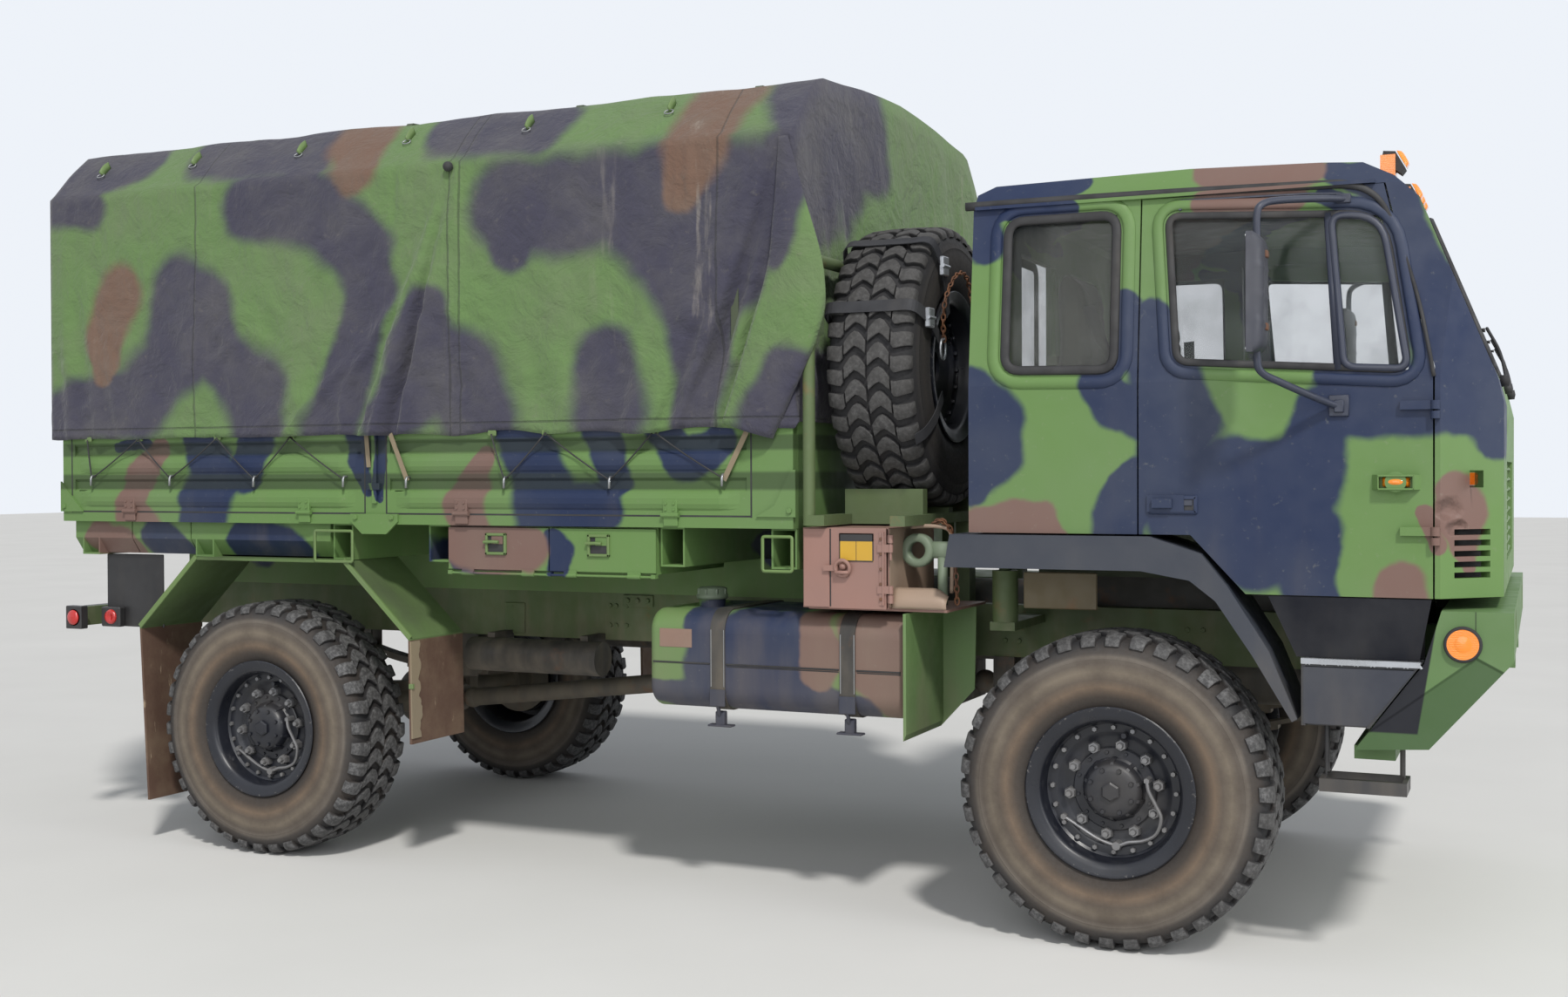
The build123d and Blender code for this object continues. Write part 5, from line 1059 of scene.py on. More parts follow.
def hub_fins(count=10):
    """Short radial ribs round the cap: one wedge, repeated by turning it about the axis."""
    foot, head = 0.090, 0.140
    base = np.array([(0.094, foot, -0.008), (0.118, foot, -0.008), (0.118, foot, 0.008), (0.094, foot, 0.008),
                     (0.086, head, -0.006), (0.104, head - 0.010, -0.006), (0.104, head - 0.010, 0.006),
                     (0.086, head, 0.006)])
    a = (np.arange(count) * 2 * pi / count + 0.3)[:, None]
    x = base[:, 0] * np.cos(a) - base[:, 2] * np.sin(a)
    z = base[:, 0] * np.sin(a) + base[:, 2] * np.cos(a)
    points = np.stack([x, np.broadcast_to(base[:, 1], x.shape), z], -1).reshape(-1, 3)
    one = [(0, 1, 2, 3), (4, 7, 6, 5), (0, 4, 5, 1), (1, 5, 6, 2), (2, 6, 7, 3), (3, 7, 4, 0)]
    return points, [[8 * k + i for i in f] for k in range(count) for f in one]


AIR_LINE = ((0.126, 0.128, 0.044), (0.134, 0.130, 0.008), (0.160, 0.124, -0.046), (0.176, 0.120, -0.090),
            (0.156, 0.112, -0.148), (0.110, 0.108, -0.176), (0.056, 0.108, -0.186), (0.012, 0.110, -0.200),
            (-0.050, 0.108, -0.184), (-0.100, 0.108, -0.158), (-0.150, 0.104, -0.130),
            (-0.184, 0.102, -0.112))


def air_line():
    """Steel air line in the dish: a tube along AIR_LINE, a fitting at the hub and at the rim, and a valve."""
    return joined([tube(smooth_path(AIR_LINE, 60), 0.0070, 8),
                   bolt_heads([(0.126, 0.088, 0.044)], "Y", 0.0130, 0.046),
                   bolt_heads([(-0.184, 0.092, -0.112)], "Y", 0.0140, 0.018),
                   bolt_heads([(0.012, 0.080, -0.202)], "Y", 0.0190, 0.038, sides=8)])


def rim_paint_worn():
    """Black paint, chipped at the lip and dusty in the dish."""
    f = Finish("rim_black_worn")
    mark = f.node("ShaderNodeAttribute", {"attribute_name": "reach"}, {}, 2)
    base = f.mix(f.noise(5.0, 4.0), (0.005, 0.006, 0.010), (0.018, 0.020, 0.028))
    dust = f.step(f.noise(4.0, 5.0, 0.6) + f.step(mark, 0.30, 0.16, 0.0, 0.12), 0.52, 0.85, 0.0, 0.22)
    chips = f.step(f.noise(70.0, 3.0, 0.7), 0.60, 0.68) * f.step(mark, 0.292, 0.303)
    colour = f.mix(chips * 0.6, f.mix(dust, base, (0.13, 0.115, 0.095)), (0.20, 0.19, 0.18))
    return f.feed(Base_Color=colour, Roughness=f.step(f.noise(11.0, 4.0), 0.3, 0.7, 0.26, 0.42) + dust * 0.4,
                  Normal=f.bump(f.noise(130.0, 3.0), 0.12, 0.0008))


rim_worn = rim_paint_worn()
nut_metal = plain_paint("wheel_nut_metal", (0.22, 0.225, 0.24), 0.35, 0.2, Metallic=0.6)


def rim_arrays(spare=False):
    """All parts of one rim round the Y axis at the origin, outboard towards +Y, and its nuts."""
    body = [turned(RIM_LINE, (0, 0, 0), "Y", 72, close=True)]
    rim_bolts = bolt_heads(round_spots(20, 0.2260, 0.0920), "Y", 0.0105, 0.014)
    if spare:
        return body + [rim_bolts], []
    body += [turned(CAP_LINE, (0, 0, 0), "Y", 48), turned(DRUM_LINE, (0, 0, 0), "Y", 48, close=True),
             hub_fins(), bolt_heads([(0, 0.1450, 0)], "Y", 0.036, 0.016),
             bolt_heads(round_spots(8, 0.0800, 0.1380, 0.4), "Y", 0.0095, 0.013),
             bolt_heads(round_spots(12, 0.135, 0.086, 0.2), "Y", 0.0075, 0.008),
             tube([(0.0425, y, 0.2005) for y in (0.092, 0.118, 0.126)], 0.010, 8)]
    nuts = [rim_bolts, air_line(), bolt_heads(round_spots(10, 0.1640, 0.0765, 0.15), "Y", 0.0235, 0.030),
            bolt_heads(round_spots(10, 0.1640, 0.1060, 0.15), "Y", 0.0120, 0.018, sides=8)]
    return body, nuts


def place_rim(name, node, body, spare, turn, flip):
    """Rim and nuts moved to a wheel. A turn that mirrors has its faces turned back by flip."""
    parts_black, parts_nuts = rim_arrays(spare)
    points, faces = joined(parts_black)
    piece = put(f"rim_dish_{name}", turn(points), faces, rim_worn, body, flip=flip)
    reach = piece.data.attributes.new("reach", "FLOAT", "POINT")
    reach.data.foreach_set("value", np.hypot(points[:, 0], points[:, 2]))
    smooth_by_angle(piece, 35)
    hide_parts(node)
    if parts_nuts:
        points, faces = joined(parts_nuts)
        nuts = put(f"wheel_nuts_{name}", turn(points), faces, nut_metal, body, smooth=False, flip=flip)


for axle, wheel_x in AXLES:
    for name, sign in SIDES:
        place_rim(f"{axle}_{name}", f"rim_{axle}_{name}", f"wheel_{axle}_{name}", False,
                  lambda p: p * (1, sign, 1) + (wheel_x, sign * TRACK_Y, WHEEL_Z), sign < 0)
place_rim("spare", "spare_rim", "chassis", True, on_spare, False)


# Bed: ribs on the side boards, hinges, gussets, stowage latches and the cover's lacing
rubber_black = plain_paint("rope_black", (0.018, 0.018, 0.020), 0.7, 0.35)
strap_tan = plain_paint("strap_tan", (0.25, 0.20, 0.13), 0.85, 0.4)
bare_metal = plain_paint("worn_metal", (0.33, 0.34, 0.35), 0.38, 0.3, 0.2, Metallic=0.8)
gold_plate = plain_paint("yellow_plate", (0.62, 0.36, 0.02), 0.5, 0.15)
pink_patch = plain_paint("faded_patch", (0.26, 0.16, 0.12), 0.6, 0.3)
rust_finish = plain_paint("rusty_steel", (0.14, 0.06, 0.03), 0.75, 0.4, 0.8)
clean_green = plain_paint("green_trim_paint", (0.13, 0.21, 0.065), 0.5, 0.25)
BOARD_Y = -1.195
BOARD_RUNS = ((-3.124, -1.381), (-1.265, 0.497))
RIB_ROWS = ((1.578, 1.658, 0.014), (1.735, 1.815, 0.014), (1.880, 1.960, 0.006))
RIB_SECTION = np.array([(0.0, 0.0), (0.55, 0.12), (1.0, 0.34), (1.0, 0.62), (0.62, 0.88), (0.0, 1.0)])
HINGE_X, HINGE_Z = (-2.747, -1.711, -0.868, 0.141), 1.560


def rib(x0, x1, z0, z1, out):
    """Pressed rib along a board: six-sided section carried from end to end, drawn in to the board at both
    ends."""
    x = np.array([x0, x0 + 0.055, x0 + 0.09, x1 - 0.09, x1 - 0.055, x1])
    rise = np.array([0.0, 0.6, 1.0, 1.0, 0.6, 0.0])
    y = BOARD_Y + 0.001 - out * rise[:, None] * RIB_SECTION[:, 0]
    z = z0 + (z1 - z0) * RIB_SECTION[:, 1] + 0 * y
    points = np.stack([np.broadcast_to(x[:, None], y.shape), y, z], -1).reshape(-1, 3)
    return points, grid_faces(6, 6, close_cols=True).tolist() + [list(range(6))[::-1], list(range(30, 36))]


ribs = [rib(x0 + 0.045, x1 - 0.045, *row) for row in RIB_ROWS for x0, x1 in BOARD_RUNS]
for piece in pair("board_ribs", ribs, bed_paint, "chassis", "camo_paint"):
    edge = piece.modifiers.new("soft_edges", "BEVEL")
    edge.width, edge.segments, edge.limit_method = 0.004, 2, "ANGLE"


def hinge(x, z):
    """Board hinge: a leaf on the board, a leaf on the deck's edge, the barrel and four rivets."""
    rivets = [(x + dx, BOARD_Y - 0.015, z + dz) for dx in (-0.018, 0.018) for dz in (0.022, 0.046)]
    return joined([box_part((x - 0.032, BOARD_Y, z + 0.006), (x + 0.032, BOARD_Y - 0.016, z + 0.062), 0.003),
                   box_part((x - 0.032, BOARD_Y, z - 0.045), (x + 0.032, BOARD_Y - 0.012, z - 0.006), 0.003),
                   tube([(x + dx, BOARD_Y - 0.012, z) for dx in (-0.040, 0.0, 0.040)], 0.010, 10),
                   bolt_heads(rivets, "Y", 0.006, 0.005, -1, 8)])


pair("board_hinges", [hinge(x, HINGE_Z) for x in HINGE_X], bed_paint, "chassis", "camo_paint")

GUSSETS = (((-1.455, 1.556), (-1.200, 1.556), (-1.200, 1.522), (-1.262, 1.468), (-1.392, 1.468),
            (-1.455, 1.522)),
           ((-3.19, 1.556), (-3.05, 1.556), (-3.19, 1.70)),
           ((0.52, 1.556), (0.690, 1.556), (0.690, 1.74), (0.672, 1.74), (0.600, 1.600)))
GUSSET_BOLTS = ((-1.425, 1.540), (-1.230, 1.540), (-3.165, 1.580), (0.665, 1.580))
POST_X = -1.323
face_y = BOARD_Y - 0.010
gusset_parts = [outline_plate(outline, BOARD_Y, face_y) for outline in GUSSETS]
gusset_parts += [bolt_heads([(x, face_y, z) for x, z in GUSSET_BOLTS], "Y", 0.012, 0.009, -1),
                 box_part((POST_X - 0.012, BOARD_Y, 1.60), (POST_X + 0.012, BOARD_Y - 0.016, 1.985), 0.003),
                 box_part((POST_X - 0.032, BOARD_Y, 1.66), (POST_X + 0.032, BOARD_Y - 0.02, 1.69), 0.003)]
pair("bed_gussets", gusset_parts, bed_paint, "chassis", "camo_paint")
seams = [box_part((x - 0.0035, BOARD_Y + 0.004, 1.552), (x + 0.0035, BOARD_Y - 0.0006, 1.999))
         for run in BOARD_RUNS for x in run]
seams += [box_part((x0, BOARD_Y + 0.004, 1.5535), (x1, BOARD_Y - 0.0008, 1.5605)) for x0, x1 in BOARD_RUNS]
pair("board_seams", seams, rubber_black, "chassis", "black_rubber")

# Hooks on the boards and the black rope that laces the cover's hem to them
HOOKS = ((-2.973, 1.714), (-2.481, 1.713), (-1.983, 1.708), (-1.478, 1.707), (-1.14, 1.703), (-0.639, 1.702),
         (-0.13, 1.701), (0.382, 1.710))
EYELETS = tuple((x, 1.897) for x in (-2.999, -2.678, -2.201, -1.777, -0.704, -0.437, 0.073))
STRAPS = (((-1.231, 1.905), (-1.140, 1.700), -1.212, -1.214),
          ((0.490, 1.890), (0.386, 1.700), -1.222, -1.214),
          ((-1.360, 1.905), (-1.352, 1.760), -1.212, -1.205))
STRAP_SECTION = ((-0.011, -0.0011), (0.011, -0.0011), (0.011, 0.0011), (-0.011, 0.0011))


def rope_run(a, b):
    """Tight rope between two (x, z) spots: straight, with a few millimetres of slack."""
    t = np.linspace(0, 1, 7)
    x, z = a[0] + (b[0] - a[0]) * t, a[1] + (b[1] - a[1]) * t - 0.006 * np.sin(pi * t)
    return tube(np.stack([x, np.full(7, BOARD_Y - 0.024), z], 1), 0.0035, 6)


def flat_strap(a, b, y0, y1):
    """Flat strap from one (x, z) spot to another, its wide side outwards."""
    t = np.linspace(0, 1, 6)
    path = np.stack([a[0] + (b[0] - a[0]) * t, y0 + (y1 - y0) * t, a[1] + (b[1] - a[1]) * t], 1)
    return swept(path, STRAP_SECTION)


hooks = [tube([(x, BOARD_Y + 0.002, z + 0.012), (x, BOARD_Y - 0.022, z + 0.012), (x, BOARD_Y - 0.028, z),
               (x, BOARD_Y - 0.028, z - 0.034)], 0.0055, 8) for x, z in HOOKS]
pair("lacing_hooks", hooks, bare_metal, "chassis", "camo_paint", True)
ropes = []
for eyelets, caught in ((EYELETS[:4], HOOKS[:4]), (EYELETS[4:], HOOKS[5:])):
    stops = [spot for ends in zip(eyelets, caught) for spot in ends]
    ropes += [rope_run(a, b) for a, b in zip(stops, stops[1:])]
pair("lacing_rope", ropes, rubber_black, "chassis", "black_rubber", True)
pair("hem_straps", [flat_strap(*row) for row in STRAPS], strap_tan, "chassis", "canvas")
tabs = [box_part((x - 0.020, -1.2045, 1.888), (x + 0.020, -1.216, 1.912), 0.003) for x, _ in EYELETS]
pair("hem_tabs", tabs, clean_green, "chassis", "canvas")

# Webbing tabs with rings on the roof slope, and the black ball that holds the cover's long fold
TABS = ((-3.014, -1.070, 3.198), (-2.441, -1.065, 3.203), (-1.815, -1.065, 3.203), (-1.222, -1.055, 3.214),
        (-0.602, -1.055, 3.214), (0.076, -1.040, 3.230))
DOWN_SLOPE, OFF_SLOPE = np.array([0, -0.686, -0.727]), np.array([0, -0.727, 0.686])
TAB_SECTION = ((-0.022, -0.003), (0.022, -0.003), (0.022, 0.003), (-0.022, 0.003))


def roof_tab(place):
    """Short doubled strap that lies down the roof's slope, with a ring hung from its lower end."""
    t = np.linspace(-0.035, 0.035, 8)[:, None]
    path = np.array([place]) + DOWN_SLOPE * t + OFF_SLOPE * (0.008 + 0.006 * np.cos(t / 0.035 * pi / 2))
    a = np.linspace(0, 2 * pi, 16, endpoint=False)
    middle = np.array([place]) + DOWN_SLOPE * 0.045 + OFF_SLOPE * 0.012
    ring = middle + np.stack([0.020 * np.cos(a), 0 * a, 0 * a], 1) + DOWN_SLOPE * (0.014 * np.sin(a))[:, None]
    return swept(path, TAB_SECTION), tube(ring, 0.0028, 6, closed=True)


straps, rings = zip(*(roof_tab(place) for place in TABS))
pair("roof_tabs", straps, clean_green, "chassis", "canvas", True)
pair("roof_rings", rings, bare_metal, "chassis", "canvas", True)
a = np.linspace(0, pi, 9)
ball = turned(np.stack([-0.020 - 0.022 * np.cos(a), 0.022 * np.sin(a)], 1), (-0.911, -1.205, 3.036), "Y", 18)
pair("cover_knob", [ball], rubber_black, "chassis", "black_rubber", True)

# Recessed latches on the stowage doors
LATCH_Y, LATCH_Z = -1.1815, 1.432
LATCH_BARS = ((-0.052, 0.052, 0.034, 0.046), (-0.052, 0.052, -0.046, -0.034), (-0.052, -0.040, -0.046, 0.046),
              (0.040, 0.052, -0.046, 0.046))
for name, x in (("rear", -0.706), ("front", -0.204)):
    bars = [box_part((x + x0, LATCH_Y - 0.010, LATCH_Z + z0), (x + x1, LATCH_Y + 0.004, LATCH_Z + z1), 0.003)
            for x0, x1, z0, z1 in LATCH_BARS]
    lever = tube([(x - 0.056, LATCH_Y - 0.012, 1.440), (x - 0.01, LATCH_Y - 0.014, 1.442),
                  (x + 0.018, LATCH_Y - 0.012, 1.440)], 0.007, 8)
    # The latch's recess is a black plate: painted shade
    pit = box_part((x - 0.041, LATCH_Y - 0.0015, 1.397), (x + 0.041, LATCH_Y + 0.004, 1.467))
    shell(f"latch_frame_{name}", bars + [lever], clean_green, f"stowage_door_{name}", "camo_paint")
    shell(f"latch_recess_shade_{name}", [pit], rubber_black, f"stowage_door_{name}", "black_plastic")


# Cab: window rubbers and pressed frames, gutters, lamps, mirrors, wipers, steps
WAIST_Z = 2.045


def side_y(z):
    """Half width of the cab at a height: upright to the waist, then leaning in."""
    return 1.200 - 0.072 * np.clip((np.asarray(z, float) - WAIST_Z) / 0.659, 0, 1)


def on_side(u, v, height):
    """Place on the cab's right side: u along the truck, v up, height out from the panel."""
    u, v, height = np.broadcast_arrays(u, v, height)
    return np.stack([u, -(side_y(v) + height), v], -1)


def on_back(u, v, height):
    """Place on the cab's back panel: u across, v up, height out to the rear."""
    u, v, height = np.broadcast_arrays(u, v, height)
    return np.stack([1.353 - height, u, v], -1)


def on_screen(u, v, height):
    """Place on the leaning windscreen panel: u across, v up, height out from its plane."""
    u, v, height = np.broadcast_arrays(u, v, height)
    return np.stack([3.195 - 0.3967 * (v - WAIST_Z) + 0.93 * height, u, v + 0.37 * height], -1)


def on_plane(y):
    """Lay for an upright plane at y on the right side: u along the truck, v up, height out."""
    return lambda u, v, height: np.stack(np.broadcast_arrays(u, y - height, v), -1)


def on_corner(part, shift=0.0):
    """A part moved along by shift, turned by 45 degrees and set on the panel of the cab's right front
    corner."""
    points, faces = part
    x, y, z = (points + (shift, 0, 0)).T
    c = cos(pi / 4)
    return np.stack([3.107 - (x + y) * c, -1.108 + (x + y) * c, z + 1.672], -1), faces


door_loop = rounded(((2.157, 2.114), (2.927, 2.064), (2.842, 2.598),
                     (2.118, 2.637)), (0.045, 0.06, 0.12, 0.045))
quarter_loop = rounded(((1.529, 2.100), (1.934, 2.093), (1.934, 2.654), (1.529, 2.654)), 0.06)
vent_loop = rounded(((2.718, 2.078), (2.927, 2.066), (2.838, 2.594),
                     (2.669, 2.606)), (0.04, 0.045, 0.10, 0.05))
screen_loop = rounded(((-1.010, 2.110), (1.010, 2.110), (0.925, 2.590), (-0.925, 2.590)), 0.08)
rear_loops = [rounded(rectangle(s * 0.13, 2.13, s * 0.64, 2.60), 0.05) for s in (-1, 1)]

# Sections of mouldings as (outward, height) points
QUARTER_STEP = ((0.022, -0.002), (0.024, 0.005), (0.034, 0.010), (0.052, 0.010), (0.066, 0.004),
                (0.070, -0.002))
DOOR_STEP = ((0.020, -0.002), (0.022, 0.006), (0.030, 0.011), (0.046, 0.011), (0.058, 0.005), (0.062, -0.002))
DIVIDER = ((-0.014, -0.020), (-0.014, 0.004), (-0.009, 0.010), (0.009, 0.010), (0.014, 0.004),
           (0.014, -0.020))
VENT_FRAME = ((-0.014, -0.016), (-0.014, 0.010), (-0.008, 0.015), (0.004, 0.015), (0.010, 0.008),
              (0.010, -0.016))
HANDLE_RIM = ((0.0, -0.002), (0.0, 0.004), (-0.004, 0.008), (-0.012, 0.008), (-0.015, 0.001),
              (-0.015, -0.002))
GUTTER = np.array([(-0.016, -0.004), (-0.014, 0.012), (0.0, 0.0150), (0.014, 0.012), (0.016, -0.004)])

# Rubbers and pressed frames of the fixed windows
shell("quarter_rubber", both(moulding(quarter_loop, band(0.017, 0.010), on_side)), rubber_black, "cab",
      "black_rubber", True)
shell("quarter_frame", both(moulding(quarter_loop, QUARTER_STEP, on_side)), cab_paint, "cab", "camo_paint",
      True)
shell("rear_window_rubber", [moulding(loop, band(0.018, 0.010), on_back) for loop in rear_loops],
      rubber_black, "cab", "black_rubber", True)
shell("screen_rubber", [moulding(screen_loop, band(0.022, 0.012), on_screen)], rubber_black, "cab",
      "black_rubber", True)

# Doors: rubber, pressed frame, divider, vent pane and handle
pair("door_rubber", [moulding(door_loop, band(0.013, 0.009), on_side)], rubber_black, "door_{}",
     "black_rubber", True)
pair("door_frame", [moulding(door_loop, DOOR_STEP, on_side)], cab_paint, "door_{}", "camo_paint", True)
bar = moulding(((2.702, 2.070), (2.662, 2.612)), DIVIDER, on_side, closed=False)
pair("vent_frame", [bar, moulding(vent_loop, VENT_FRAME, on_side)], blue_trim, "door_{}", "camo_paint", True)
x0, z0, x1, z1 = handle_box = (2.058, 1.577, 2.232, 1.644)
rim = moulding(rounded(rectangle(*handle_box), 0.008, 4), HANDLE_RIM, on_side)
pair("handle_rim", [rim], cab_paint, "door_{}", "camo_paint", True)
# The handle's recess is a near black plate: painted shade
pair("handle_recess_shade", [box_part((x0 + 0.012, -1.2025, z0 + 0.012), (x1 - 0.012, -1.199, z1 - 0.012))],
     rubber_black, "door_{}", "black_rubber")
pair("handle_paddle", [box_part((x0 + 0.048, -1.2070, z0 + 0.030), (x1 - 0.018, -1.2015, z1 - 0.016), 0.002)],
     blue_trim, "door_{}", "black_steel")
button = turned([(0.0, 0.010), (-0.005, 0.010), (-0.0075, 0.008), (-0.0085, 0.0)],
                (x0 + 0.029, -1.2022, 0.5 * (z0 + z1) - 0.002), "Y", 20)
pair("handle_button", [button], bright_metal, "door_{}", "black_steel", True)


def lamp_hood(length, height, depth):
    """Hood over a side lamp, wide at its foot: along the truck it keeps its section, whose top lip runs out
    and down, open below. The ends are closed plates with a wedge outside each."""
    parts = [box_part((0, -depth, height - 0.007), (length, 0.002, height), 0.002),
             box_part((0, -depth, -0.001), (length, 0.002, 0.005), 0.0015)]
    parts += [box_part((x, -depth, 0.0), (x + 0.005, 0.002, height - 0.002), 0.0015)
              for x in (0.0, length - 0.005)]
    for x, foot in ((0.0, -0.020), (length, length + 0.020)):
        points = np.array([(u, v, z) for z in (0, height)
                           for u, v in ((x, 0.002), (x, -depth), (foot, 0.002))])
        parts.append((points, [(0, 1, 4, 3), (1, 2, 5, 4), (2, 0, 3, 5), (0, 2, 1), (3, 4, 5)]))
    return joined(parts)


def lamp_glass(x0, x1, y_out, z0, z1):
    """Small lens: across its length it bulges outward as half a sine, and its ends and edges close to the
    panel."""
    u, v = np.meshgrid(np.linspace(0, 1, 15), np.linspace(0, 1, 9), indexing="ij")
    swell = np.sin(pi * u) ** 0.35 * np.sin(pi * v) ** 0.35
    front = np.stack([x0 + (x1 - x0) * u, -1.198 - (y_out - 1.198) * swell, z0 + (z1 - z0) * v], -1)
    return front.reshape(-1, 3), grid_faces(15, 9).tolist()


points, faces = lamp_hood(0.116, 0.050, 0.034)
pair("door_lamp_hood", [(points + (2.829, -1.1995, 1.664), faces)], cab_paint, "door_{}", "camo_paint")
glass = lamp_glass(2.842, 2.932, 1.2325, 1.672, 1.708)
for name, sign in SIDES:
    put(f"door_lamp_glass_{name}", *(glass if sign < 0 else mirrored(glass)), amber, f"door_{name}",
        slot="amber_lens", flip=True)
shell("corner_lamp_hoods", both(on_corner(lamp_hood(0.070, 0.056, 0.034), -0.035)), cab_paint, "cab",
      "camo_paint")
shell("corner_lamp_glass", both(on_corner(box_part((-0.026, -0.024, 0.008), (0.026, 0.0, 0.048), 0.006))),
      amber, "cab", "amber_lens")

# Gutter along the roof's edge and down the windscreen pillar, its lip black as painted shade of the groove, and
# the bolts over the door
gutter_line = smooth_path([(1.362, 2.722), (1.70, 2.722), (2.05, 2.720), (2.36, 2.716), (2.62, 2.711),
                           (2.72, 2.706), (2.79, 2.680), (2.845, 2.620), (2.901, 2.482), (2.954, 2.303),
                           (2.986, 2.149), (3.005, 2.040)], 70)
thin = np.interp(gutter_line[:, 0], [2.70, 2.90], [1.0, 0.42])[:, None]
tangent = np.gradient(gutter_line, axis=0)
tangent /= np.linalg.norm(tangent, axis=1)[:, None]
normal = np.stack([-tangent[:, 1], tangent[:, 0]], 1)
flat = gutter_line[:, None] + (GUTTER[None, :, :1] * thin[:, None]) * normal[:, None]
points = on_side(flat[..., 0], flat[..., 1], GUTTER[:, 1] * (0.45 + 0.55 * thin))
faces = grid_faces(70, 5, close_cols=True).tolist() + [list(range(5))[::-1], list(range(345, 350))]
# Black here is painted shade: the gutter's groove is dark with shadow
shell("roof_gutter_shade", both((points.reshape(-1, 3), faces)), rubber_black, "cab", "black_rubber", True)
drip = moulding(((2.16, 2.690), (2.60, 2.683), (2.70, 2.676), (2.765, 2.640)), band(0.004, 0.006), on_side,
                closed=False)
door_bolts = ((2.160, 2.660), (2.240, 2.662), (2.500, 2.668), (2.565, 2.668), (2.625, 2.667))
heads = bolt_heads([on_side(x, z, 0.0) for x, z in door_bolts], "Y", 0.008, 0.008, -1)
pair("door_top_bolts", [heads, drip], blue_trim, "door_{}", "black_steel")

# Roof marker lamps: a black wedge foot, and the lens as a rounded block over the foot's front face
MARKER_Y = (-0.90, -0.16, 0.0, 0.16, 0.90)
MARKER_SIDE = ((2.818, 2.812), (2.884, 2.762), (2.898, 2.780), (2.864, 2.842), (2.824, 2.846))
u, v = np.meshgrid(np.linspace(-1, 1, 11), np.linspace(-1, 1, 9), indexing="ij")
swell = 0.016 * (1 - u**4) ** 0.5 * (1 - v**4) ** 0.5
rise_x, rise_z = np.array((0.034, 0.062)) / np.hypot(0.034, 0.062)
block = np.stack([2.884 - rise_x * 0.034 * v + rise_z * swell, 0.029 * u,
                  2.815 + rise_z * 0.034 * v + rise_x * swell],
                 -1).reshape(-1, 3)
shell("marker_feet", [outline_plate(MARKER_SIDE, y - 0.032, y + 0.032) for y in MARKER_Y], rubber_black,
      "cab", "black_rubber")
put("marker_glasses", *placed((block, grid_faces(11, 9).tolist()), [(0, y, 0) for y in MARKER_Y]), amber,
    "cab", slot="amber_lens", flip=True)

# Wipers: arm, blade and link from the cowl up the windscreen
wiper_parts = []
for y in (-0.62, 0.02, 0.60):
    foot, tip = on_screen(y, 2.040, 0.020), on_screen(y + 0.30, 2.250, 0.030)
    low_end, high_end = on_screen(y + 0.10, 2.235, 0.016), on_screen(y + 0.52, 2.262, 0.016)
    wiper_parts += [tube(smooth_path([foot, 0.5 * (foot + tip) + (0.012, 0, 0.004), tip], 9), 0.006, 6),
                    swept(np.linspace(low_end, high_end, 6), [(-0.004, -0.008), (0.004, -0.008),
                                                              (0.006, 0.006), (-0.006, 0.006)]),
                    turned([(0.0, 0.0), (0.0, 0.022), (0.030, 0.020),
                            (0.034, 0.0)], foot - (0.022, 0, 0.0), "X", 14)]
shell("wipers", wiper_parts, rubber_black, "cab", "black_steel", True)


# Mirrors: one bent tube from the door's top to its waist, a shell on two clamps, and the glass
def mirror_shell(rows=41, cols=15):
    """Shallow dish: the outline is carried forward and drawn in, and three ribs cross its front as V
    shapes."""
    v, u = np.meshgrid(np.linspace(0, 1, rows), np.linspace(-1, 1, cols), indexing="ij")
    across, up = -1.445 + 0.093 * u, 2.118 + 0.394 * v
    crown = (1 - np.abs(u) ** 6) * (1 - np.abs(2 * v - 1) ** 14)
    ribs = sum(np.exp(-(((v - at) * 0.394 + 0.022 * (1 - np.abs(u)) - 0.022) / 0.0045) ** 2)
               for at in (0.22, 0.44, 0.68))
    x = 2.470 + 0.030 * crown + 0.0045 * np.clip(ribs, 0, 1) * (np.abs(u) < 0.9)
    layers = [np.stack([depth, across, up], -1).reshape(-1, 3) for depth in (x, np.full_like(x, 2.449))]
    n = rows * cols
    index = np.arange(n).reshape(rows, cols)
    rim = np.r_[index[0], index[1:, -1], index[-1, -2::-1], index[-2:0:-1, 0]]
    ahead = np.roll(rim, -1)
    front = grid_faces(rows, cols)
    faces = np.vstack([front, front[:, [0, 3, 2, 1]] + n, np.stack([rim, rim + n, ahead + n, ahead], 1)])
    return np.concatenate(layers), faces.tolist()


ARM_X, ARM_Y = 2.471, -1.440
MIRROR_BOX = (-1.533, 2.124, -1.357, 2.506)
route = [(2.714, -1.150, 2.655), (2.640, -1.235, 2.648), (2.530, -1.370, 2.630), (2.486, -1.425, 2.612),
         (ARM_X, ARM_Y, 2.575), (ARM_X, ARM_Y, 2.45), (ARM_X, ARM_Y, 2.20), (ARM_X, ARM_Y, 2.10),
         (2.484, -1.428, 2.055), (2.540, -1.372, 2.022), (2.640, -1.265, 1.973), (2.704, -1.203, 1.945)]
loop_parts = [tube(smooth_path(route, 64), 0.0125, 10),
              box_part((2.672, -1.2125, 1.912), (2.738, -1.1985, 1.985), 0.003),
              box_part((2.690, -1.222, 1.925), (2.722, -1.2105, 1.968), 0.003),
              box_part((2.690, -1.158, 2.640), (2.738, -1.135, 2.672), 0.003)]
clamps = [box_part((ARM_X - 0.020, ARM_Y - 0.020, z - 0.012), (ARM_X + 0.036, ARM_Y + 0.020, z + 0.012),
                   0.003)
          for z in (2.205, 2.445)]
for (name, _), piece in zip(SIDES, pair("mirror_loop", loop_parts, blue_trim, "door_{}", "black_steel",
                                        True)):
    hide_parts(f"mirror_{name}")
    smooth_by_angle(piece, 40)
pair("mirror_clamps", clamps, rust_finish, "door_{}", "black_steel")
for head in pair("mirror_shell", [mirror_shell()], mirror_grey, "door_{}", "black_plastic", True):
    smooth_by_angle(head, 45)
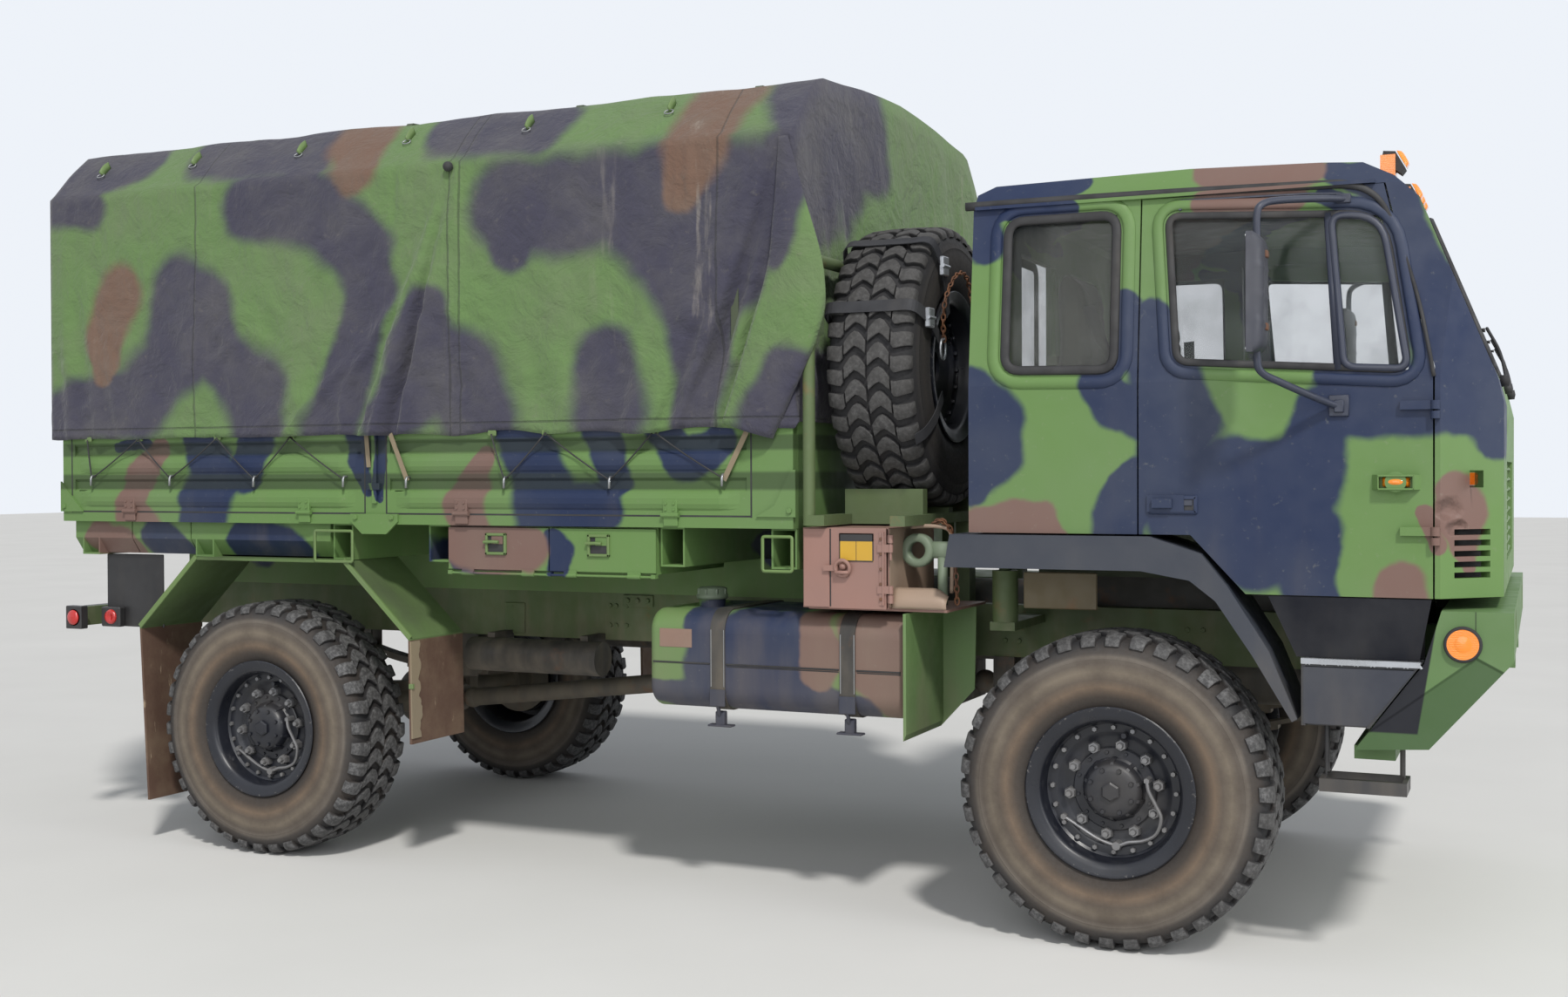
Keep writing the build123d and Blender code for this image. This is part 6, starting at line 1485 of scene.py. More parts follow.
pair("mirror_glass", [box_part((2.4465, -1.530, 2.128), (2.4495, -1.360, 2.502))], mirror_glass, "door_{}",
     "glass")
glass_rim = moulding(rounded(rectangle(*MIRROR_BOX), 0.02, 4),
                     [(0.0, 0.0), (0.0, 0.003), (-0.004, 0.0035), (-0.004, 0.0)],
                     lambda u, v, height: np.stack(np.broadcast_arrays(2.449 - height, u, v), -1))
pair("mirror_rim", [glass_rim], rubber_black, "door_{}", "black_rubber")

# Steps: tread plate with raised bars, front panel and the apron above it
tread_parts = [swept([(2.583, -1.212, 1.080), (2.965, -1.212, 1.080)],
                     [(-0.008, -0.018), (0.011, -0.018), (0.012, 0.002), (0.006, 0.0035), (-0.008, 0.0035)])]
for k in range(15):
    x, lean = 2.592 + 0.0262 * k, 0.010 if k % 2 else -0.010
    tread_parts.append(swept([(x - lean, -1.2215, 1.070), (x, -1.2225, 1.083), (x + lean, -1.205, 1.0845)],
                             ring_profile(0.0045, 6)))
    tread_parts += [box_part((x - 0.009, y - 0.0035, 1.080), (x + 0.009, y + 0.0035, 1.0835), 0.001)
                    for y in (-1.175, -1.135, -1.095, -1.055)]
panel = outline_plate(((2.590, 0.868), (2.796, 0.868), (2.948, 1.062), (2.590, 1.062)), -1.2215, -1.2165)
apron = outline_plate(((2.470, 1.298), (2.998, 1.298), (2.960, 1.092), (2.565, 1.092)), -1.196, -1.190)
shell("step_treads", both(joined(tread_parts)), bright_metal, "chassis", "chassis_steel")
shell("step_panels", both(panel), step_blue, "chassis", "chassis_steel")
# The aprons are painted near black as the shade under the doors
shell("step_aprons", both(apron), apron_painted_shade, "chassis", "chassis_steel")

# Bumper: side lamps with their rims
BUMPER_LAMP = (3.095, -1.205, 1.154)
ring = turned([(0.004, 0.060), (-0.010, 0.060), (-0.016, 0.055), (-0.012, 0.048), (0.004, 0.047)],
              BUMPER_LAMP, "Y", 32)
dome = turned([(0.002, 0.049), (-0.004, 0.047), (-0.011, 0.038), (-0.015, 0.024), (-0.017, 0.010),
               (-0.0175, 0.0)],
              BUMPER_LAMP, "Y", 32)
shell("bumper_lamp_rings", both(ring), rubber_black, "chassis", "black_rubber", True)
shell("bumper_side_lamps", both(dome), amber, "chassis", "amber_lens", True)


# Chassis: tank trim, equipment box trim, plates and bolts on the rails, flap wear, tail lamps, spare's straps
beige_paint = plain_paint("beige_paint", (0.36, 0.26, 0.19), 0.55, 0.25, 0.1)
eye_green = plain_paint("grey_green_paint", (0.17, 0.22, 0.15), 0.5, 0.2, 0.1)
plate_black = plain_paint("plate_black", (0.012, 0.012, 0.014), 0.4, 0.1)
webbing = plain_paint("strap_webbing", (0.016, 0.017, 0.022), 0.8, 0.2, 0.0, 0.3)
RAIL_Y = -0.432
DOOR_Y = -1.1742
FLAP_Y = -1.2165


# Tank: seam and crease round it, cap, faded patch, strap feet
def tank_ring(x0, x1, z, out, thick):
    """Thin rib along the tank's side at one height, ends rounded into the corners."""
    return box_part((x0, -1.130 - out, z), (x1, -1.126, z + thick), min(0.45 * thick, 0.002))


seam_rings = [tank_ring(x0, x1, 0.958, 0.0035, 0.007)
              for x0, x1 in ((0.018, 0.278), (0.350, 0.840), (0.912, 1.095))]
crease_rings = [tank_ring(x0, x1, 0.950, 0.0012, 0.006) for x0, x1 in ((0.352, 0.840), (0.914, 1.095))]
shell("tank_seams", seam_rings + crease_rings, plate_black, "chassis", "camo_paint")
cap_x, cap_y = 0.175, -0.90
cap = turned([(-0.030, 0.0), (-0.030, 0.063), (-0.022, 0.066), (-0.012, 0.066), (-0.008, 0.060),
              (0.012, 0.060), (0.019, 0.052), (0.024, 0.0)], (cap_x, cap_y, 1.235), "Z", 32)
grip = placed(box_part((-0.006, -0.006, 1.222), (0.006, 0.006, 1.250), 0.003),
              [(cap_x + 0.058 * cos(a), cap_y + 0.058 * sin(a), 0) for a in np.arange(8) * pi / 4])
shell("tank_cap", [cap, grip], eye_green, "chassis", "camo_paint", True)
shell("tank_patch", [box_part((0.050, -1.1318, 1.023), (0.197, -1.128, 1.098), 0.001)], pink_patch, "chassis",
      "camo_paint")
foot = joined([box_part((-0.010, -1.142, 0.792), (0.058, -1.132, 0.860), 0.003),
               box_part((0.004, -1.118, 0.712), (0.044, -1.085, 0.770), 0.004),
               box_part((-0.028, -1.125, 0.708), (0.078, -1.080, 0.716), 0.003),
               tube([(0.024, -1.136, 0.800), (0.024, -1.120, 0.765), (0.024, -1.102, 0.735)], 0.008, 8)])
shell("tank_strap_feet", [placed(foot, [(0.291, 0, 0), (0.853, 0, 0)])], blue_trim, "chassis",
      "chassis_steel")
strap_edge = box_part((0, -1.1385, 0.87), (0.004, -1.1335, 1.10), 0.001)
shell("tank_strap_edges", [placed(strap_edge, [(x, 0, 0) for x in (0.285, 0.342, 0.847, 0.904)])], bare_metal,
      "chassis", "chassis_steel")
shell("tank_guard", [outline_plate(((1.118, 1.190), (1.130, 1.190), (1.130, 0.730),
                                    (1.118, 0.705)), -1.165, -0.72),
                     outline_plate(((1.118, 1.190), (1.270, 1.190), (1.262, 0.860),
                                    (1.118, 0.705)), -0.730, -0.722)],
      green_paint, "chassis", "camo_paint")

# Equipment box: an instruction plate left blank, a yellow field under a black band, both a hair proud of the
# door
PLATE_BOX = x0, z0, x1, z1 = (0.862, 1.387, 1.003, 1.495)
band_z, middle_x = z1 - 0.28 * (z1 - z0), 0.5 * (x0 + x1)
plate_rim = moulding(rounded(rectangle(*PLATE_BOX), 0.004, 3),
                     [(0.0, 0.0), (0.0, 0.0024), (-0.004, 0.0024), (-0.004, 0.0)], on_plane(DOOR_Y))
plate_line = box_part((middle_x - 0.001, DOOR_Y - 0.0023, z0 + 0.004),
                      (middle_x + 0.001, DOOR_Y - 0.001, band_z))
shell("box_plate_field", [box_part((x0, DOOR_Y - 0.0018, z0), (x1, DOOR_Y + 0.0005, z1), 0.0006)], gold_plate,
      "equipment_door", "camo_paint")
shell("box_plate_band", [box_part((x0, DOOR_Y - 0.0024, band_z), (x1, DOOR_Y, z1)), plate_rim, plate_line],
      plate_black, "equipment_door", "camo_paint")

# Its ring handle, piano hinge, rivets, beige end and tray, and the shackle eye with its chain
hinge_parts = [tube([(1.043, DOOR_Y - 0.004, z) for z in np.linspace(1.222, 1.500, 4)], 0.0045, 8),
               box_part((1.026, DOOR_Y - 0.003, 1.220), (1.046, DOOR_Y + 0.001, 1.502), 0.001)]
hinge_bolts = bolt_heads([(1.034, DOOR_Y - 0.003, z) for z in np.linspace(1.245, 1.475, 5)], "Y", 0.0065,
                         0.006, -1)
a = np.linspace(0, 2 * pi, 20, endpoint=False)
ring_path = np.stack([0.880 + 0.030 * np.sin(a), DOOR_Y - 0.016 - 0.004 * np.cos(a),
                      1.362 + 0.030 * np.cos(a)], 1)
handle_parts = [tube(ring_path, 0.0075, 8, closed=True),
                turned([(0.0, 0.0), (0.0, 0.016), (-0.010, 0.015), (-0.018, 0.010), (-0.020, 0.0)],
                       (0.880, DOOR_Y, 1.368), "Y", 16),
                box_part((0.850, DOOR_Y - 0.028, 1.338), (0.908, DOOR_Y - 0.014, 1.352), 0.004)]
rivets = bolt_heads([(x, DOOR_Y, z) for x in (0.722, 0.812) for z in (1.225, 1.360, 1.500)], "Y", 0.0045,
                    0.003, -1, 8)
left_panel = box_part((0.713, DOOR_Y - 0.006, 1.209), (0.821, DOOR_Y - 0.0005, 1.513), 0.002)
split = box_part((0.822, DOOR_Y - 0.0006, 1.212), (0.827, DOOR_Y + 0.001, 1.512))
for name, parts, finish, smooth in (("piano_hinge", hinge_parts, brown_paint, False),
                                    ("box_handle", handle_parts, brown_paint, True),
                                    ("box_split", [split], plate_black, False),
                                    ("box_rivets", [rivets], rust_finish, False),
                                    ("box_left_panel", [left_panel], brown_paint, False)):
    shell(name, parts, finish, "equipment_door", "camo_paint", smooth)
shell("piano_bolts", [hinge_bolts], rust_finish, "equipment_door", "black_steel")
shell("box_end", [box_part((1.0600, -1.155, 1.212), (1.0625, -0.660, 1.512), 0.001)], beige_paint, "chassis",
      "camo_paint")
u, v = np.meshgrid(np.linspace(0, 1, 13), np.linspace(0, 1, 9), indexing="ij")
lip = 1.208 + (0.078 - 0.030 * np.clip(u - 0.80, 0, 1) / 0.2) * v
tray = np.stack([1.064 + 0.218 * u, -1.135 + 0.030 * v**2 - 0.010 * np.sin(pi * v), lip], -1)
thicken(put("box_tray", tray.reshape(-1, 3), grid_faces(13, 9).tolist(), beige_paint, "chassis",
            slot="camo_paint"),
        0.004)
eye_ring = turned([(-0.024, 0.034), (0.018, 0.034), (0.024, 0.040), (0.024, 0.058), (0.016, 0.066),
                   (-0.022, 0.066), (-0.028, 0.058),
                   (-0.028, 0.040)], (1.118, -0.985, 1.425), "Y", 36, close=True)
shank = box_part((1.170, -1.000, 1.395), (1.245, -0.960, 1.460), 0.010)
post = tube([(1.215, -0.98, z) for z in (1.215, 1.30, 1.40)], 0.020, 12)
shell("shackle_eye", [eye_ring, shank, post], eye_green, "chassis", "camo_paint", True)
hoop = smooth_path([(1.090, -0.99, 1.515), (1.150, -0.99, 1.520), (1.225, -0.99, 1.515),
                    (1.252, -0.99, 1.490), (1.256, -0.99, 1.420), (1.256, -0.99, 1.340),
                    (1.250, -0.98, 1.262)], 30)
shell("box_hoop", [tube(hoop, 0.008, 8)], beige_paint, "chassis", "camo_paint", True)


def chain(path, count, size=0.016):
    """Links along a path: each is a closed oval of wire, one in two turned a quarter round the path."""
    at = np.linspace(0, len(path) - 1.001, count)
    i = at.astype(int)
    spots = path[i] + (path[np.minimum(i + 1, len(path) - 1)] - path[i]) * (at - i)[:, None]
    tangent, side, up = frames_along(spots)
    a = np.linspace(0, 2 * pi, 12, endpoint=False)[:, None]
    links = []
    for k in range(count):
        across = side[k] if k % 2 else up[k]
        loop = spots[k] + size * np.cos(a) * tangent[k] + 0.55 * size * np.sin(a) * across
        links.append(tube(loop, 0.0035, 5, closed=True))
    return links


drop = smooth_path([(1.185, -0.985, 1.535), (1.222, -1.000, 1.540), (1.262, -1.010, 1.500),
                    (1.275, -1.015, 1.440), (1.280, -1.018, 1.370), (1.284, -1.020, 1.300),
                    (1.286, -1.020, 1.235)], 40)
shell("box_chain", chain(drop, 18), rust_finish, "chassis", "chassis_steel", True)

# Rails: bolt groups and plates
RAIL_BOLTS = ((-0.587, 1.12), (-0.555, 1.12), (-0.587, 1.03), (-0.555, 1.03), (-0.50, 1.12), (-0.50, 1.03),
              (-1.12, 1.10), (-1.12, 1.04), (-1.12, 0.985), (0.42, 1.10), (0.46, 1.10), (0.42, 1.03),
              (1.30, 1.10), (1.36, 1.10), (1.30, 1.03), (1.36, 1.03), (2.05, 1.10), (2.11, 1.10))
face_y = RAIL_Y - 0.008
rail_parts = [bolt_heads([(x, RAIL_Y - 0.0005, z) for x, z in RAIL_BOLTS], "Y", 0.011, 0.009, -1),
              box_part((-0.516, RAIL_Y, 1.118), (-0.360, face_y, 1.172), 0.002),
              bolt_heads([(x, face_y, 1.147) for x in (-0.49, -0.438, -0.386)], "Y", 0.012, 0.010, -1),
              box_part((-1.16, RAIL_Y, 0.975), (-1.05, face_y, 1.12), 0.003)]
shell("rail_bolts", both(joined(rail_parts)), green_dirty, "chassis", "frame_paint")

# Mudguards: flanges down the slants, worn edges and clips of the rubber flaps
flanges = [swept([(x0, y, 1.352), (x1, y, 1.020)],
                 [(-0.011, -0.004), (0.011, -0.004), (0.011, 0.005), (-0.011, 0.005)])
           for y in (-1.213, 1.213) for x0, x1 in ((-2.334, -2.679), (-1.486, -1.129))]
shell("guard_flanges", flanges, clean_green, "chassis", "frame_paint")
fringe = []
for sign in (-1, 1):
    z = np.linspace(1.005, 0.585, 36)
    y = np.full(36, -sign * FLAP_Y)
    wear = sign * (0.052 + 0.018 * wobble(z, z * 0.0, 77 + sign, 4, 0.12) + 0.03 * (1.0 - z))
    x = -1.1245 + (z - 1.0) * -0.014
    edges = ((x - 0.006, y), (x + 0.0015, y), (x + 0.0015, y - wear), (x - 0.006, y - wear))
    strip = np.stack([np.stack([along, out, z], 1) for along, out in edges], 1).reshape(-1, 3)
    fringe.append((strip, grid_faces(36, 4, close_cols=True).tolist() + [[3, 2, 1, 0], [140, 141, 142, 143]]))
shell("flap_edges", fringe, strap_tan, "chassis", "black_rubber")
shell("flap_clips", both(box_part((-1.136, -1.205, 0.80), (-1.114, -1.220, 0.822), 0.002)), clean_green,
      "chassis", "frame_paint")

# Tail lamps: lenses and black rims
lens_front = [turned([(0.0, 0.030), (-0.006, 0.030), (-0.012, 0.021),
                      (-0.014, 0.0)], (-3.2255, y, 1.045), "X", 24)
              for y in (-0.84, -0.95, -1.06)]
lens_side = turned([(0.0, 0.036), (-0.004, 0.036), (-0.010, 0.026),
                    (-0.012, 0.0)], (-3.125, -1.1965, 1.045), "Y", 24)
rims = [box_part((-3.226, -0.765, 1.004), (-3.2185, -1.125, 1.086), 0.002),
        box_part((-3.175, -1.150, 0.990), (-3.075, -1.196, 1.100), 0.004)]
shell("tail_lenses", both(joined(lens_front + [lens_side])), red, "chassis", "red_lens", True)
shell("tail_rims", both(joined(rims)), plate_black, "chassis", "black_plastic")

# The spare's webbing straps, their buckles, a ring and a chain
OVER_TREAD = ((-0.196, 0.40), (-0.194, 0.52), (-0.170, 0.577), (-0.08, 0.5785), (0.08, 0.5785),
              (0.170, 0.577), (0.196, 0.52), (0.203, 0.42), (0.192, 0.32), (0.182, 0.24))
STRAP_TURNS = (radians(56), radians(21))


def tyre_strap(turn, line, half):
    """Webbing over the spare. Its line gives (along, radius) stations in the half plane at an angle from the
    truck's right side; the band's width runs round the wheel and its thickness stands on the line."""
    line = smooth_path(line, 40)
    step = np.gradient(line, axis=0)
    step /= np.linalg.norm(step, axis=1)[:, None]
    normal = np.stack([-step[:, 1], step[:, 0]], 1)
    rows = []
    for across, rise in ((-half, 0.0), (half, 0.0), (half, 0.0035), (-half, 0.0035)):
        along, radius = (line + rise * normal).T
        rows.append(SPARE + np.stack([along, -radius * cos(turn) + across * sin(turn),
                                      radius * sin(turn) + across * cos(turn)], -1))
    points = np.stack(rows, 1).reshape(-1, 3)
    return points, grid_faces(40, 4, close_cols=True).tolist() + [[3, 2, 1, 0], [156, 157, 158, 159]]


straps = [tyre_strap(turn, OVER_TREAD, 0.024) for turn in STRAP_TURNS]
straps.append(tyre_strap(radians(-32), OVER_TREAD[5:], 0.022))
shell("spare_straps", straps, webbing, "chassis", "black_rubber")
buckles = []
for turn in STRAP_TURNS:
    y, z = SPARE[1] - 0.46 * cos(turn), SPARE[2] + 0.46 * sin(turn)
    buckles += [box_part((1.166, y - 0.030, z - 0.038), (1.188, y + 0.030, z + 0.038), 0.004),
                tube([(1.184, y + dy, z) for dy in (-0.038, 0.0, 0.038)], 0.008, 8)]
shell("spare_buckles", buckles, bright_metal, "chassis", "chassis_steel")
ring = [(1.172, -0.845 + 0.030 * cos(a), 2.215 + 0.040 * sin(a)) for a in np.arange(18) * pi / 9]
shell("spare_ring", [tube(ring, 0.006, 8, closed=True)], bright_metal, "chassis", "chassis_steel", True)
hang = smooth_path([(1.176, -0.845, 2.255), (1.182, -0.870, 2.32), (1.186, -0.860, 2.40),
                    (1.188, -0.800, 2.47), (1.188, -0.72, 2.52), (1.186, -0.62, 2.535), (1.180, -0.54, 2.50),
                    (1.176, -0.50, 2.44)], 50)
shell("spare_chain", chain(hang, 24, 0.015), rust_finish, "chassis", "chassis_steel", True)


# Cab inside: padded seats, blown up by cloth pressure, with belts
def seat_fabric():
    """Dark green seat cloth: weave of two crossed waves, faded in patches."""
    f = Finish("seat_fabric", Sheen_Weight=0.2, Sheen_Roughness=0.5, Specular_IOR_Level=0.25)
    tone = f.mix(f.noise(6.0, 5.0), (0.030, 0.034, 0.026), (0.058, 0.060, 0.046))
    worn = f.mix(f.step(f.noise(14.0, 4.0), 0.55, 0.75, 0.0, 0.3), tone, (0.10, 0.095, 0.078))
    warp, weft = f.waves("Z", 160.0), f.waves("Y", 160.0)
    return f.feed(Base_Color=worn, Roughness=f.step(f.noise(9.0, 3.0), 0.2, 0.8, 0.82, 0.95),
                  Normal=f.bump(warp * 0.5 + weft * 0.5, 0.15, 0.0004))


def swollen(points, faces, voxel, most, frames=20):
    """Pad from a closed shape: voxel remeshed, pressed outward by Blender's Cloth from inside with no
    gravity, and each point's way held to the most given. Gives points and faces."""
    mesh = bpy.data.meshes.new("pad")
    mesh.from_pydata([tuple(p) for p in np.asarray(points, float)], [], faces)
    pad = bpy.data.objects.new("pad", mesh)
    bpy.context.collection.objects.link(pad)
    cells = pad.modifiers.new("cells", "REMESH")
    cells.mode, cells.voxel_size = "VOXEL", voxel
    dense = bpy.data.meshes.new_from_object(pad.evaluated_get(bpy.context.evaluated_depsgraph_get()))
    pad.modifiers.clear()
    pad.data = dense
    before = np.empty(3 * len(dense.vertices))
    dense.vertices.foreach_get("co", before)
    before = before.reshape(-1, 3)
    quads = [tuple(p.vertices) for p in dense.polygons]
    after = before
    cloth = pad.modifiers.new("cloth", "CLOTH")
    cloth.settings.use_pressure = True
    cloth.settings.uniform_pressure_force = 4.0
    cloth.settings.effector_weights.gravity = 0.0
    cloth.point_cache.frame_start, cloth.point_cache.frame_end = 1, frames
    for frame_number in range(1, frames + 1):
        bpy.context.scene.frame_set(frame_number)
    blown = pad.evaluated_get(bpy.context.evaluated_depsgraph_get()).to_mesh()
    after = np.empty(3 * len(blown.vertices))
    blown.vertices.foreach_get("co", after)
    after = after.reshape(-1, 3)
    bpy.context.scene.frame_set(1)
    way = after - before
    far = np.maximum(np.linalg.norm(way, axis=1, keepdims=True), 1e-9)
    bpy.data.objects.remove(pad)
    return before + way * np.minimum(1.0, most / far), quads


SEAT_Y = 0.76
(seat_x0, _, seat_z0), (seat_x1, _, seat_z1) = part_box("seats")
CUSHION_TOP = seat_z0 + 0.120


def pad_shape(kind):
    """Start of a seat's pad on the right: cushion or back, a little smaller than the solid it stands for."""
    low, high = (seat_x0 + 0.035, seat_z0 + 0.016), (seat_x1 - 0.020, CUSHION_TOP - 0.016)
    if kind == "cushion":
        outline = ((low[0], low[1]), (high[0], low[1]), (high[0] + 0.002, 0.5 * (low[1] + high[1])),
                   (high[0] - 0.020, high[1]), (low[0], high[1] - 0.012))
        return outline_plate(outline, -SEAT_Y - 0.215, -SEAT_Y + 0.215)
    outline = ((seat_x0 + 0.022, CUSHION_TOP + 0.018), (seat_x0 + 0.105, CUSHION_TOP + 0.018),
               (seat_x0 + 0.120, CUSHION_TOP + 0.120), (seat_x0 + 0.085, seat_z1 - 0.120),
               (seat_x0 + 0.060, seat_z1 - 0.020), (seat_x0 + 0.022, seat_z1 - 0.022))
    return outline_plate(outline, -SEAT_Y - 0.205, -SEAT_Y + 0.205)


seat_material = seat_fabric()
for kind, channels, axis in (("cushion", (-0.30, 0.0, 0.30), 0), ("back", (-0.55, -0.2, 0.15, 0.5), 2)):
    points, quads = swollen(*pad_shape(kind), 0.011, 0.022)
    middle, half = 0.5 * (points.max(0) + points.min(0)), 0.5 * (points.max(0) - points.min(0))
    share = (points - middle) / half
    facing = np.clip((share[:, 2] if kind == "cushion" else share[:, 0]) * 3 - 0.6, 0, 1)
    sunk = sum(np.exp(-((share[:, axis] - at) * half[axis] / 0.007) ** 2) for at in channels)
    points[:, 2 if kind == "cushion" else 0] -= 0.010 * sunk * facing
    for name, sign in SIDES:
        lot = points * (1, -sign, 1)
        piece = put(f"seat_{kind}_{name}", lot, [q[::-1] for q in quads] if sign > 0 else quads,
                    seat_material, "cab", slot="black_plastic")
        rounding = piece.modifiers.new("round", "SUBSURF")
        rounding.levels = rounding.render_levels = 1
        if kind == "cushion" and sign < 0:
            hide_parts("seats")

belt_profile = [(-0.0012, -0.024), (0.0012, -0.024), (0.0012, 0.024), (-0.0012, 0.024)]
for name, sign in SIDES:
    y_out, y_in = sign * (SEAT_Y + 0.215), sign * (SEAT_Y - 0.215)
    shoulder = smooth_path([(seat_x0 + 0.135, y_out, seat_z1 - 0.16),
                            (seat_x0 + 0.155, y_out - sign * 0.10, seat_z1 - 0.28),
                            (seat_x0 + 0.165, sign * SEAT_Y, CUSHION_TOP + 0.28),
                            (seat_x0 + 0.170, y_in + sign * 0.06, CUSHION_TOP + 0.12),
                            (seat_x0 + 0.175, y_in, CUSHION_TOP + 0.045)], 24)
    belt = put(f"seat_belt_{name}", *swept(shoulder, belt_profile), webbing, "cab", slot="black_plastic")


# Region finishes: tank, lockers, bed frame, mudguards with rubber flaps
TANK_DARK = (
    ((0.22, 1.15, 0.07), (0.30, 1.04, 0.11), (0.46, 1.08, 0.13), (0.60, 1.10, 0.10), (0.66, 0.98, 0.08)),
    ((0.28, 0.96, 0.12), (0.46, 0.88, 0.15), (0.66, 0.86, 0.10), (0.95, 0.80, 0.06)),
    ((0.04, 0.84, 0.06), (0.22, 0.84, 0.09)),
)
TANK_BROWN = (
    ((0.74, 1.15, 0.07), (0.78, 1.02, 0.09), (0.76, 0.94, 0.07)),
    ((0.98, 1.15, 0.14), (1.02, 0.98, 0.13), (1.08, 0.86, 0.09)),
)
LOCKER_DARK = (
    ((-0.44, 1.46, 0.05), (-0.40, 1.40, 0.06), (-0.42, 1.34, 0.05)),
    ((-0.92, 1.36, 0.05), (-0.70, 1.34, 0.035)),
)
LOCKER_BROWN = (((-0.90, 1.44, 0.12), (-0.70, 1.43, 0.12), (-0.56, 1.42, 0.10)),)
FRAME_DARK = (
    ((-2.62, 1.44, 0.10), (-2.50, 1.36, 0.10)),
    ((-2.10, 1.44, 0.10), (-1.90, 1.40, 0.12), (-1.80, 1.36, 0.10)),
    ((-1.30, 1.42, 0.08), (-1.15, 1.38, 0.10)), ((0.30, 1.42, 0.06), (0.36, 1.36, 0.06)),
)
FRAME_BROWN = (((-3.00, 1.44, 0.08), (-2.86, 1.40, 0.10), (-2.80, 1.36, 0.08)),)


def mudguard_finish():
    """Green sheet steel above, brown worn rubber in the flaps below, split at the flap's top edge."""
    f = Finish("mudguard_and_flap", Specular_IOR_Level=0.3)
    _, _, z = f.axes()
    metal = f.mix(f.step(f.noise(3.0, 5.0), 0.35, 0.75), (0.105, 0.165, 0.062), (0.075, 0.105, 0.048))
    soot = f.mix(f.step(f.noise(2.2, 5.0), 0.45, 0.75, 0.0, 0.5), metal, (0.045, 0.048, 0.040))
    flap = f.mix(f.step(f.noise(5.0, 5.0, 0.6), 0.35, 0.7), (0.105, 0.062, 0.045), (0.155, 0.105, 0.072))
    scrapes = f.noise(26.0, 5.0, 0.7, where=f.vector("MULTIPLY", f.place, (1.0, 1.0, 0.22)))
    pale = f.mix(f.step(scrapes, 0.62, 0.72, 0.0, 0.8), flap, (0.42, 0.33, 0.23))
    shade = f.mix(f.step(z, 1.006, 1.012), pale, soot)
    return f.feed(Base_Color=shade, Roughness=f.step(f.noise(12.0, 4.0), 0.3, 0.7, 0.6, 0.85),
                  Normal=f.bump(f.noise(60.0, 4.0), 0.25, 0.003))


dress("fuel_tank", painted("tank_camouflage", TANK_DARK, TANK_BROWN, (), 0.30))
locker_paint = painted("locker_camouflage", LOCKER_DARK, LOCKER_BROWN, (), 0.30)
for node in ("stowage_box", "stowage_door_rear", "stowage_door_front"):
    dress(node, locker_paint)
dress("bed_frame", painted("frame_camouflage", FRAME_DARK, FRAME_BROWN, (), 0.45))
dress("rear_mudguards", mudguard_finish())

# Wheel arch liner behind the flare, tail lamp panel with its lamp, stake pocket rims
liner = plain_paint("tan_liner", (0.150, 0.118, 0.062), 0.6, 0.45, 0.35)
pair("arch_liner", [box_part((1.514, -0.902, 1.205), (1.800, -0.890, 1.345), 0.004)], liner, "chassis",
     "black_steel")
pair("lamp_panel", [box_part((-3.02, -1.085, 1.000), (-2.66, -1.075, 1.350), 0.004),
                    box_part((-3.02, -1.125, 1.000), (-2.90, -1.085, 1.095), 0.006)], plate_black, "chassis",
     "black_steel")
panel_lens = turned([(0.0, 0.0), (-0.008, 0.020), (-0.010, 0.030), (0.0, 0.036), (0.010, 0.036),
                     (0.010, 0.0)],
                    (-2.955, -1.126, 1.048), "Y", 28)
pair("lamp_lens", [panel_lens], red, "chassis", "red_lens", True)
pockets = [moulding(rounded(rectangle(x0, 1.345, x1, 1.480), 0.010, 4),
                    [(-0.006, 0.0), (-0.006, 0.007), (0.006, 0.007), (0.006, 0.0)], on_plane(FLAP_Y))
           for x0, x1 in ((-1.638, -1.432), (0.557, 0.683))]
pair("pocket_rims", pockets, clean_green, "chassis", "camo_paint", True)

# Black box behind the louvres of the cab's corners: painted shade, so that no light shows through the slots
shell("louvre_shadow_box", [box_part((3.020, -1.020, 1.335), (3.150, 1.020, 1.560), 0.004)], plate_black, "cab",
      "black_plastic")


# Floor, light and camera
def floor_piece(half=60.0):
    """Pale floor as one large square, kept out of the object."""
    f = Finish("pale_floor", Roughness=0.9)
    tone = f.mix(f.noise(0.8, 4.0), (0.66, 0.66, 0.65), (0.74, 0.74, 0.73))
    corners = [(x, y, 0) for x, y in rectangle(-half, -half, half, half)]
    put("floor", corners, [(0, 1, 2, 3)], f.feed(Base_Color=tone), None, smooth=False)


